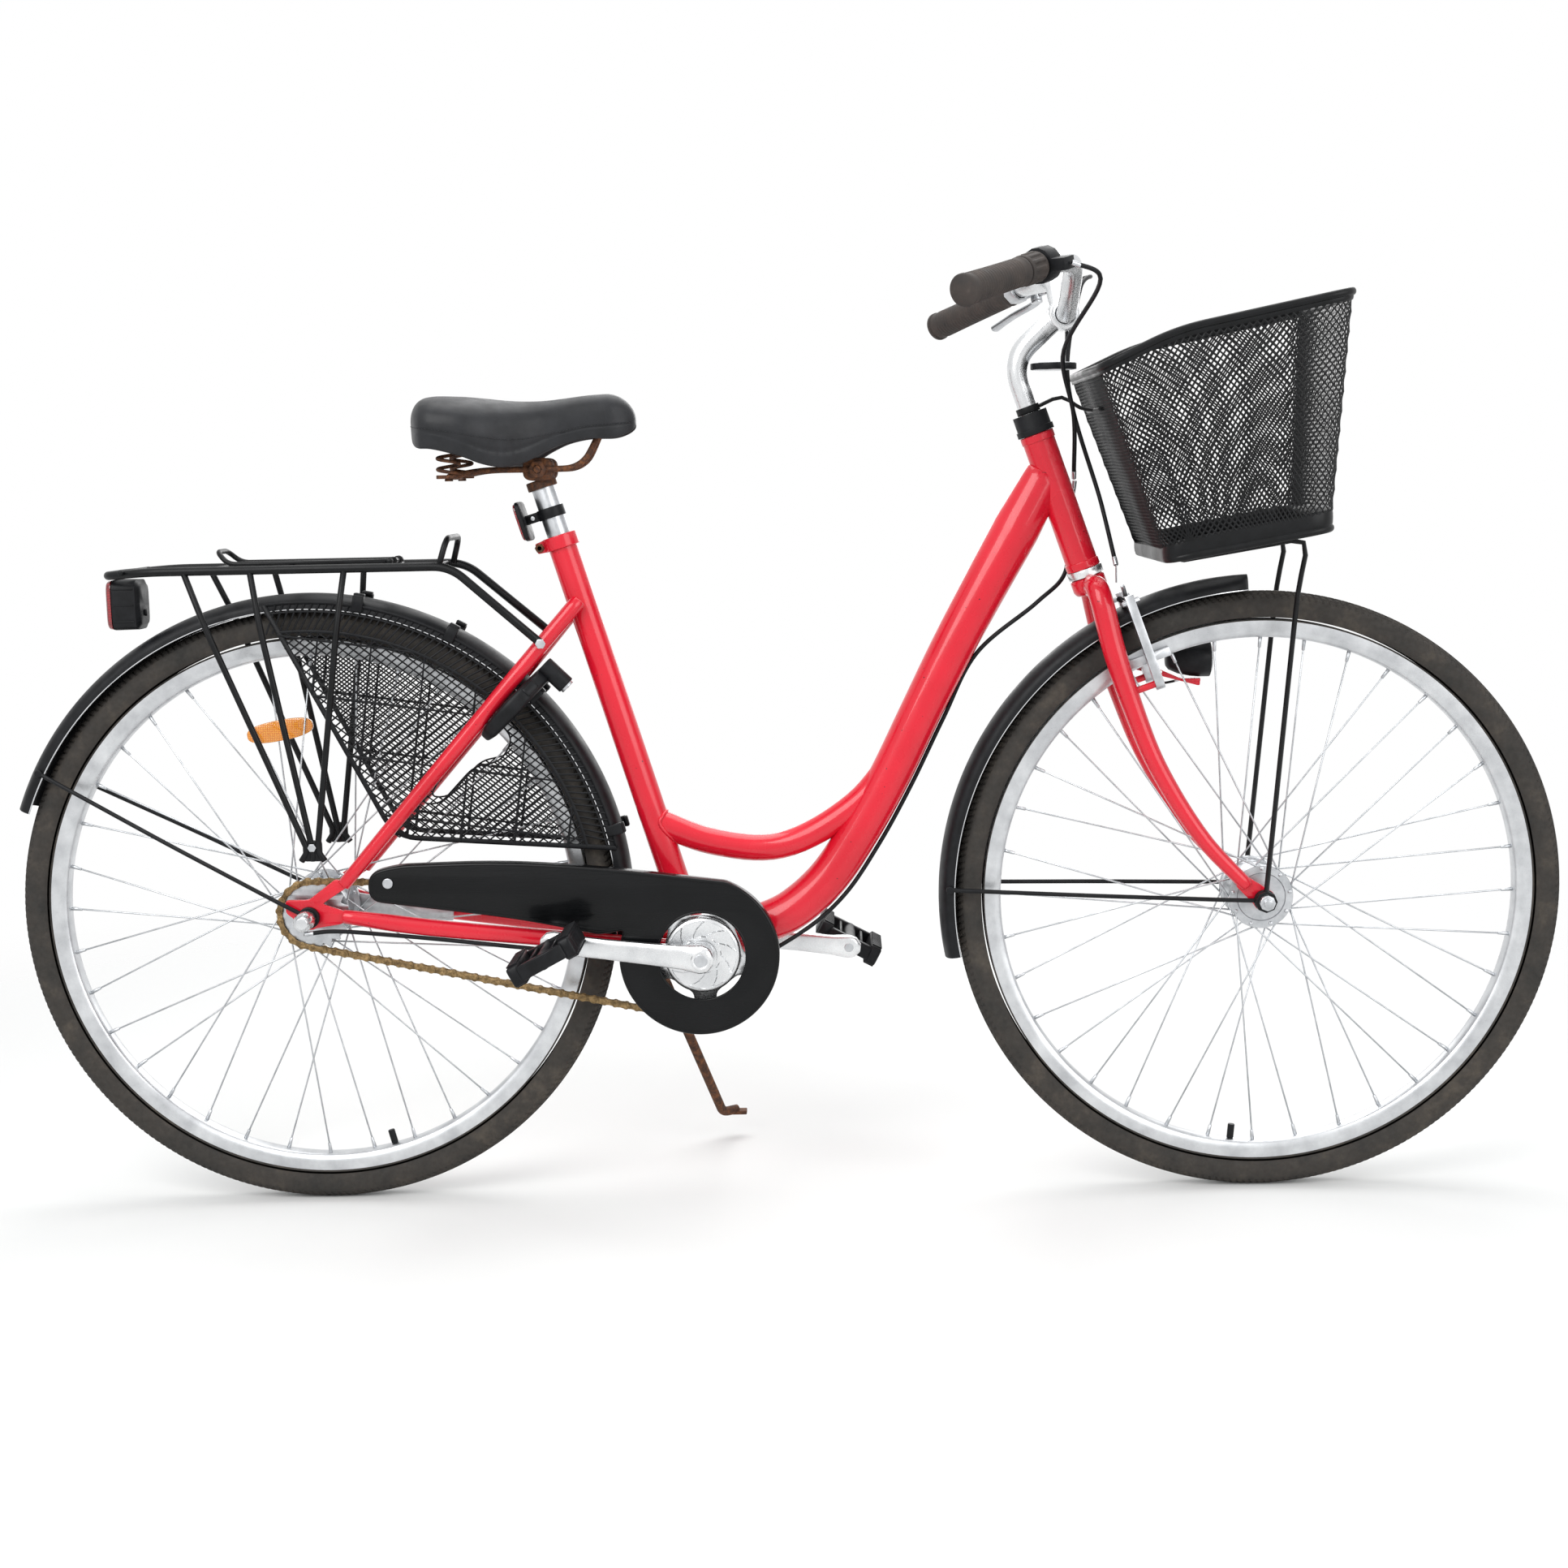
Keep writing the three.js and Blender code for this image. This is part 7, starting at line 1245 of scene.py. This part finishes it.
def pedalParts(centre, side, tilt):
    # at(u, y, v): u across the pedal's tread, y out from the bike's middle, v up through its thickness
    turn = math.radians(tilt)
    ahead, up = np.array((math.cos(turn), 0, math.sin(turn))), np.array((-math.sin(turn), 0, math.cos(turn)))

    def at(u, y, v=0.0):
        return np.array((centre[0], side * y, centre[1])) + ahead * u + up * v

    parts = []
    for sign in (1, -1):
        u, lip = sign * pedal["rail"], sign * pedal["lip"]
        parts += block(at(u, pedal["from"]), at(u, pedal["to"]), 7.2, 11.5, 1.6, up)
        parts += block(at(lip, 106), at(lip, 166), 0.9, 7.8, 0.4, up)
        for y in np.arange(*pedal["ribs"]):
            for v in (pedal["ribHeight"], -pedal["ribHeight"]):
                parts += block(at(u - 6.4, y, v), at(u + 6.4, y, v), 1.7, 1.0, 0.4, up)
    for y, wide in ((96.5, 5), (176, 4.6)):
        parts += block(at(-28, y), at(28, y), wide, 8.6, 1.2, up)
    for u in (-14, 14):
        parts += block(at(u, 97), at(u, 176), 1.8, 7.2, 0.5, up)
    parts += tube([at(0, 94), at(0, 104), at(0, 168), at(0, 178)], (9.3, 8.2, 8.2, 9.3), 28, 0.8, 0, (0, 0, 1))
    parts += softBar(at(0, 178), at(0, 180), 6.2, 28, 0.7)
    return parts


for name, node, centre, side, tilt in (("pedalRightBlock", "pedal_right", (280.27, -32.28), -1, 28),
                                       ("pedalLeftBlock", "pedal_left", (617.73, -73.72), 1, -28)):
    axle = [(centre[0], side * y, centre[1]) for y in (84.4, 94)]
    parts = pedalParts(centre, side, tilt) + softBar(*axle, 5.5, 24, 0.6, material=1)
    makePiece(name, parts, node, "black_plastic", [node], [finishes["zinc_steel"]], 50)
print("pedals made")


# Ring lock: a moulded horseshoe round the tyre with a fuller case and a steel key cylinder on the drive side
lockCentre = np.array((239.2, 0, 234.6))
lockUp = np.array((0.7034, 0, 0.7108))
lockAhead = np.array((0.7108, 0, -0.7034))


def onLock(radius, degrees, ahead=0.0):
    turn = np.radians(np.asarray(degrees, float))[..., None]
    return lockCentre + radius * (np.cos(turn) * (0, 1, 0) + np.sin(turn) * lockUp) + lockAhead * ahead


def lockParts():
    # a squarish bar round an arc of 57 mm, fuller towards the keyhole, and the barrel of the cylinder
    degrees = np.linspace(-52, 232, 90)
    swell = np.interp(degrees, (-52, -44, 60, 110, 175, 215, 232), (0.75, 1, 1, 1.06, 1.25, 1.1, 0.7))
    line = onLock(57, degrees)
    parts = tube(line, np.column_stack((8.0 * swell, 8.0 * swell)), 32, 1.5, 0, lockAhead, 0.55)
    for spot in (30, 150):
        a = onLock(64, spot)
        parts += block(a - lockAhead * 6, a + lockAhead * 6, 9, 3.5, 1.2, unit(a - lockCentre))
    barrel = lockCentre + lockUp * 60 + np.array((0, -34.0, 0))
    parts += softBar(barrel - lockAhead * 8, barrel + lockAhead * 27, 10.6, 36, 1.6)
    parts += softBar(barrel + lockAhead * 26, barrel + lockAhead * 30, 8.4, 36, 0.8, material=1)
    parts += block(barrel + lockAhead * 29.9, barrel + lockAhead * 30.3, 3.2, 0.7, 0.1, lockUp)
    return parts


makePiece("ringLockCase", lockParts(), "frame", "black_plastic", ["ring_lock_body"],
          [finishes["zinc_steel"]], 50)
print("lock made")


# Lamps and reflectors
def spokeReflector():
    # oval of half axes 39 and 12: 39 |cos t|^0.8 and 12 |sin t|^0.7 with their signs, leaned by 10 degrees
    spot, turn = math.radians(100), math.radians(10)
    oval = np.linspace(0, 2 * np.pi, 60, endpoint=False)
    cosine, sine = np.cos(oval), np.sin(oval)
    flat = np.column_stack((39 * np.sign(cosine) * np.abs(cosine) ** 0.8, 12 * np.sign(sine) * np.abs(sine) ** 0.7))
    flat = flat @ np.array(((math.cos(turn), math.sin(turn)), (-math.sin(turn), math.cos(turn))))
    return plate(flat + (213 * math.cos(spot), 213 * math.sin(spot)), -8, -2, (), 1.2)


makePiece("spokeReflectorOval", spokeReflector(), "rear_wheel", "amber_lens", ["wheel_reflector"], sharp=50)


def postReflector():
    # a red face in a squarish back, a strap round the post and the arm between them
    height = 27
    parts = block(fromSeatTop(height, -37.6), fromSeatTop(height, -34), 21.6, 26.6, 1.0)
    parts += block(fromSeatTop(height, -35.4), fromSeatTop(height, -30), 23, 28, 1.2, material=1)
    strap = roundedLoop([(13.7, 21), (15.8, 21), (15.8, 33), (13.7, 33)], 0.7, 2)
    parts += spun(strap, seatTop, seatUp, 40, True, material=1)
    parts += block(fromSeatTop(height, -31), fromSeatTop(height, -14), 5.4, 3.2, 0.6, material=1)
    parts += softBar(fromSeatTop(height, -22, -5), fromSeatTop(height, -22, 5), 2.6, 16, 0.4, material=2)
    return parts


makePiece("postReflectorBlock", postReflector(), "seatpost", "red_lens", ["post_reflector"],
          [finishes["black_plastic"], finishes["zinc_steel"]], 45)


def rearLampParts():
    # a case in the shape of a wide pad, three ribs on its side and the screw that holds it to the rack
    case = tube([(-188, 0, 358.7), (-192, 0, 358.7), (-216, 0, 358.7), (-219.7, 0, 358.7)],
                [(24, 19), (28.6, 23.6), (29, 24), (29, 24)], 48, 1.2, 0, (0, 1, 0), 0.36)
    case += softBar((-188.5, 0, 349), (-185, 0, 349), 4, 18)
    for z in (340, 358.7, 377):
        case += block((-218, -24.1, z), (-194, -24.1, z), 0.8, 0.5, 0.2)
    return case


makePiece("rearLampCase", rearLampParts(), "frame", "black_plastic", ["rear_light"], sharp=45)
lampLens = tube([(-220, 0, 358.7), (-223.6, 0, 358.7), (-225.4, 0, 358.7), (-226, 0, 358.7)],
                [(28.6, 23.6), (28.2, 23.2), (26.8, 21.8), (24, 19)], 48, 0, 0, (0, 1, 0), 0.36)
makePiece("rearLampLens", lampLens, "frame", "red_lens", ["rear_light_lens"], sharp=50)


def headlampParts():
    # case, silvered bowl and ribbed lens turned about the beam's axis
    case = [(0, -28), (9, -28), (13, -25), (18, -14), (21, 0), (22, 10), (22, 22.4), (21.4, 23), (20.6, 22.6),
            (20.4, 16)]
    bowl = [(20.4, 21), (17.5, 8), (11, -4), (4.5, -9), (0, -9.5)]
    lensFace = [(0, 28), (8, 27.4), (15, 25.8), (19.6, 23.6), (20.5, 22.6), (20.5, 21.4)]
    centre = (1023, 62, 268)
    return (spun(case, centre, (1, 0, 0), 56) + spun(bowl, centre, (1, 0, 0), 56, material=1)
            + spun(lensFace, centre, (1, 0, 0), 56, material=2)
            + block((1019, 62, 289), (1030, 62, 289.6), 6, 2.2, 0.6, (0, 0, 1)))


makePiece("headlampCase", headlampParts(), "steering", "black_plastic", ["headlight"],
          [finishes["polished_alloy"], clearLens], 45)
for height, sign in ((609.3, 1), (602.1, -1)):
    face = [(0, 1.0 * sign), (16, 0.9 * sign), (22, 0.4 * sign), (22.4, 0)]
    makePiece("frontReflectorFace" + ("Top" if sign > 0 else "Foot"), spun(face, (859.6, 0, height), (0, 0, 1), 48),
              "steering", "alloy", sharp=50)
print("lamps made")


# Twist grip and brake lever
def twistParts():
    # finger ribs: the radius swings over twelve flutes round the bar, and fades at both ends
    along = np.concatenate(((0, 0.6), np.linspace(1.5, 28.5, 24), (29.4, 30)))
    turn = np.linspace(0, 2 * np.pi, 144, endpoint=False)
    body = np.interp(along, (0, 0.6, 1.5, 28.5, 29.4, 30), (15.2, 16, 16.4, 16.4, 16, 15.2))
    flute = 0.8 * np.tanh(3 * np.cos(12 * turn))[None] * ((along > 4) & (along < 26))[:, None]
    radius = body[:, None] + flute - 0.4
    first = unit(np.cross(barWay, (0, 0, 1)))
    second = np.cross(barWay, first)
    way = np.cos(turn)[:, None] * first + np.sin(turn)[:, None] * second
    grid = alongBar(20.8) + along[:, None, None] * barWay + radius[..., None] * way[None]
    hole = alongBar(20.8) + np.array((0.0, 30.0))[:, None, None] * barWay + 11.4 * way[None]
    return [gridPart(np.concatenate((hole[:1], grid, hole[1:])), False, True)]


makePiece("twistSleeve", acrossY(twistParts()), "twist_shifter", "grip_rubber", ["twist_grip"], sharp=60)

aheadOfBar = np.array((0.8, 0.6, 0))
aboveBar = np.array((-0.13216, 0.17621, 0.97544))


def nearBar(along, ahead, rise):
    return alongBar(along) + aheadOfBar * ahead + aboveBar * rise


def leverParts():
    # a flat blade with rounded edges along a curve beside the grip, and the round eye at its pivot
    line = smoothPath([np.array((857.43, 188.61, 695.9)), nearBar(30.4, 46.9, -8), nearBar(68.8, 43, -13),
                       nearBar(108, 45.4, -17.6)], 12)
    share = np.linspace(0, 1, len(line))
    radii = np.column_stack((np.interp(share, (0, 0.2, 0.85, 1), (6.4, 5.4, 5.0, 6.2)),
                             np.interp(share, (0, 0.2, 0.85, 1), (3.8, 3.9, 3.9, 4.0))))
    parts = tube(line, radii, 28, 1.2, 0, aboveBar, 0.75)
    return parts + softBar(line[0] - aboveBar * 3.9, line[0] + aboveBar * 3.9, 6.9, 28, 0.8)


makePiece("brakeLeverBlade", leverParts(), "brake_lever", "zinc_steel", ["brake_lever"], sharp=50)
print("shifter and lever made")


# Rear rack and its sprung clip: bent rod, welded where the rods cross
rack = {"rail": 55, "deck": 397, "front": 176, "tail": -221, "lug": (277.2, 308.84),
        "crossRods": (0.06, 0.3, 0.54, 0.82, 0.95), "legs": (0.24, 0.43, 0.7)}


def rackParts():
    # the rails are one rod round the deck; places of cross rods and legs are shares of the deck's length
    rail, deck, front, tail = rack["rail"], rack["deck"], rack["front"], rack["tail"]
    lugX, lugZ = rack["lug"]
    half = roundedPath([(lugX, 63.8, lugZ), (front, rail, deck), (-165.4, rail, deck), (tail, 34.1, 393),
                        (tail, 0, 393)], 20, 8)
    parts = tube(np.vstack((half, (half * (1, -1, 1))[-2::-1])), 4.9, 20, 0.6, 0, (0.1, 0.3, 1))
    hoop = [(163, 50, deck), (172, 44, 428), (172, -44, 428), (163, -50, deck)]
    parts += tube(roundedPath(hoop, 15, 8), 3.5, 16, 0.5, 0, (1, 0, 0.2))
    for share in rack["crossRods"]:
        x = tail + (front - tail) * share
        parts += tube([(x, -rail, deck), (x, rail, deck)], 3, 16, 0.5, 0, (0, 0, 1))
    side = []
    for i, share in enumerate(rack["legs"]):
        top = tail + (front - tail) * share
        foot = np.array((9 + (i - 1) * 5.5, 69, 78))
        shoulder = (top + (foot[0] - top) * 0.2, 69, deck + (78 - deck) * 0.2)
        toe = foot + ((i - 1) * 8, 0, -12)
        side += tube(roundedPath([(top, rail, deck), shoulder, foot, toe], 24, 6), 3.6, 16, 0.6, 0, (0, 1, 0.02))
    side += plate(roundedLoop([(-2, 90), (-2, 66), (20, 66), (20, 90)], 4, 3), 67.2, 70.8, (), 0.6)
    side += softBar((9, 70, 82), (9, 74, 82), 5, 6, 0.6, material=1)
    side += softBar((lugX, 59.2, lugZ), (lugX, 70.8, lugZ), 4, 20, 0.8, material=1)
    side += softBar((lugX, 68.4, lugZ), (lugX, 71, lugZ), 6, 6, 0.6, material=1)
    return parts + bothSides(side)


makePiece("rackRods", rackParts(), "frame", "black_paint", ["rear_rack"], [finishes["zinc_steel"]], 50)


def clipParts():
    # a bent rod on its pivot bar, with a spring of six turns either side of the middle
    x, z = 104.54, 403.17
    side = [(x, 30, z), (-80.46, 30, z), (-94.46, 21, 417.17)]
    loop = roundedPath(side + [(along, -out, rise) for along, out, rise in reversed(side)], 14, 7)
    parts = tube(loop, 3, 16, 0.5, 0, (0.2, 0.1, 1))
    parts += tube([(x, -36, z), (x, 36, z)], 3.2, 20, 0.6, 0, (0, 0, 1))
    turn = np.linspace(0, 2 * np.pi * 6, 97)
    for sign in (1, -1):
        coil = np.column_stack((x + 3.9 * np.cos(turn), sign * (12 + turn * 0.33), z + 3.9 * np.sin(turn)))
        parts += tube(coil, 0.8, 6, 0, 0, (0, 1, 0))
    return parts


makePiece("rackClipRod", clipParts(), "rack_clip", "black_paint", ["rack_clip"], sharp=50)
print("rack made")


# Cables in black outer casing, each whole along its route, with metal ferrules
def cablePiece(name, node, points, radius, count=12, more=()):
    line = smoothPath(points, count)
    parts = tube(line, radius, 14, 0.5, 0, (0.1, 0.2, 0.97))
    for stop, way in ((line[0], unit(line[2] - line[0])), (line[-1], unit(line[-3] - line[-1]))):
        parts += softBar(stop, stop + way * radius * 4, radius * 1.12, 16, 0.4, material=1)
    makePiece(name, parts + list(more), bodyOf[node], "black_plastic", [node], [finishes["zinc_steel"]], 50)


# the brake's inner wire leaves its casing for the bent pipe, and runs from arm to arm through a rubber bellows
fold = np.arange(49)
bellows = np.column_stack((np.full(49, 934.5), 8 - fold * 0.7, np.full(49, 341.5)))
brakeWire = (tube([(926.9, -24, 383), (928.2, -15, 362)], 0.9, 10, 0, 1)
             + tube([(934.5, 36, 341.5), (934.5, -45, 341.5)], 0.9, 10, 0.2, 1, (0, 0, 1))
             + tube(bellows, 2.6 + 0.7 * np.cos(fold * np.pi / 2), 20, 0.2, 0, (0, 0, 1)))
cablePiece("brakeCableCasing", "front_brake_cable", [
    (861.61, 183.04, 699.53), (913.61, 123.04, 713.53), (896.85, 60, 696.82), (879.07, 36, 595.42),
    (914.94, 12, 449.1), (926.9, -24, 381.92)], 2.5, more=brakeWire)
cablePiece("shiftCableUpperCasing", "shift_cable_upper", [
    (860.66, -194.46, 703.49), (890.66, -182.46, 691.49), (864.31, -60, 613.59), (880.24, -20, 549.26),
    (884.22, 20, 479.73)], 2.5)
cablePiece("shiftCableLowerCasing", "shift_cable_lower", [
    (885, 20, 477.46), (878.27, 24.5, 420.52), (873.06, 19.6, 371.09), (840.31, 2.6, 340.7), (769.81, 0, 283.27),
    (730.84, 0, 208.88), (692.79, -1.28, 132.05), (655.19, -5.06, 65.54), (612.59, -8.38, 4.69),
    (564.58, -10.5, -36.18), (470, -32, -78.2), (417, -38.4, -73), (373, -38.4, -59.12), (269.4, -50, -45.2),
    (98.78, -60.5, -23.39), (27.5, -78, -13.9), (0, -93, -13.9)], 2.5)
cablePiece("dynamoWireCasing", "dynamo_wire", [
    (1078, 61.3, 20), (1021.12, 62.55, 71.82), (970.38, 62.8, 154.41), (942.62, 63.05, 222.64), (1012, 68, 242)], 1.5)
print("cables made")


# Side stand: rusted round bar with an eye at its pivot and a bent foot
def standParts():
    pivot = np.array((395.0, 40, -89))
    axis = np.array((0.03794, 0.80713, 0.58915))
    down = np.array((0.21017, 0.56994, -0.79435))
    middle = pivot - axis * 6.5
    line = roundedPath([middle + down * 5.5, (454, 200, -312), (472, 214, -312)], 9, 6)
    parts = tube(line, 5.9, 24, 0.8, 0, (0.3, -0.6, 0.5))
    parts += pipe(4.5, 11, 0, 13, 1.0, pivot - axis * 13, axis, 36)
    parts += block((460, 214, -315.3), (484, 214, -315.3), 2.6, 8, 0.6, (0, 1, 0))
    return parts


makePiece("sideStandBar", standParts(), "kickstand", "rusty_steel", ["kickstand_leg"], sharp=50)
print("side stand made")


# Every other CAD piece keeps its form, with eased edges and round shading
for node in cadNodes:
    if not cadNodes[node].hide_render:
        softened(node)
print("other pieces eased")


# Studio: a pale floor that fades into white, soft light from both sides and above
# Camera, glass and polished faces see plain white all round, other rays a dimmer room; lamps: spot, size, watts
studioLook = {"floor": "#EDEDEB", "fade": (0.95, 2.3), "room": "#E3E6EB", "roomStrength": 0.5}
lamps = {"keySoftbox": ((-1.6, -2.6, 2.6), 2.4, 85), "fillSoftbox": ((2.4, -2.2, 1.6), 2.2, 40),
         "topSoftbox": ((0.2, 0.6, 3.2), 2.6, 60), "rearSoftbox": ((0.5, 3.0, 1.8), 2.2, 30)}


def studio():
    material, tree, shader = startMaterial("paleStudioFloor", Roughness=0.75, Specular_IOR_Level=0.2)
    shader.inputs["Base Color"].default_value = hexColour(studioLook["floor"])
    far = addNode(tree, "VectorMath", {0: where(tree)}, operation="LENGTH").outputs["Value"]
    near, gone = studioLook["fade"]
    fade = addNode(tree, "MapRange", {"Value": far, "From Min": near, "From Max": gone, "To Min": 0.0,
                                      "To Max": 1.0}, interpolation_type="SMOOTHSTEP").outputs[0]
    clear = addNode(tree, "BsdfTransparent")
    mixed = addNode(tree, "MixShader", {0: fade, 1: shader.outputs[0], 2: clear.outputs[0]})
    output = [node for node in tree.nodes if node.type == "OUTPUT_MATERIAL"][0]
    tree.links.new(mixed.outputs[0], output.inputs[0])
    mesh = bpy.data.meshes.new("studioFloor")
    mesh.from_pydata([(-5, -5, 0), (5, -5, 0), (5, 5, 0), (-5, 5, 0)], [], [(0, 1, 2, 3)])
    mesh.materials.append(material)
    floor = bpy.data.objects.new("studioFloor", mesh)
    bpy.context.scene.collection.objects.link(floor)
    world = bpy.data.worlds.new("softStudio")
    world.use_nodes = True
    sky = world.node_tree
    sky.nodes.clear()
    path = addNode(sky, "LightPath")
    seen = addNode(sky, "Math", {0: path.outputs["Is Camera Ray"], 1: path.outputs["Is Transmission Ray"]},
                   operation="MAXIMUM")
    seen = addNode(sky, "Math", {0: seen.outputs[0], 1: path.outputs["Is Glossy Ray"]}, operation="MAXIMUM")
    room = addNode(sky, "Background", {"Color": hexColour(studioLook["room"]),
                                       "Strength": studioLook["roomStrength"]})
    white = addNode(sky, "Background", {"Color": (1, 1, 1, 1), "Strength": 1.0})
    both = addNode(sky, "MixShader", {0: seen.outputs[0], 1: room.outputs[0], 2: white.outputs[0]})
    sky.links.new(both.outputs[0], addNode(sky, "OutputWorld").inputs[0])
    bpy.context.scene.world = world
    for name, (spot, size, watts) in lamps.items():
        light = bpy.data.lights.new(name, "AREA")
        light.size = size
        light.energy = watts
        lamp = bpy.data.objects.new(name, light)
        lamp.location = spot
        lamp.rotation_euler = (Vector((0, 0, 0.5)) - Vector(spot)).to_track_quat("-Z", "Y").to_euler()
        bpy.context.scene.collection.objects.link(lamp)
    bpy.context.scene.view_settings.view_transform = "Standard"


studio()
print("studio set")
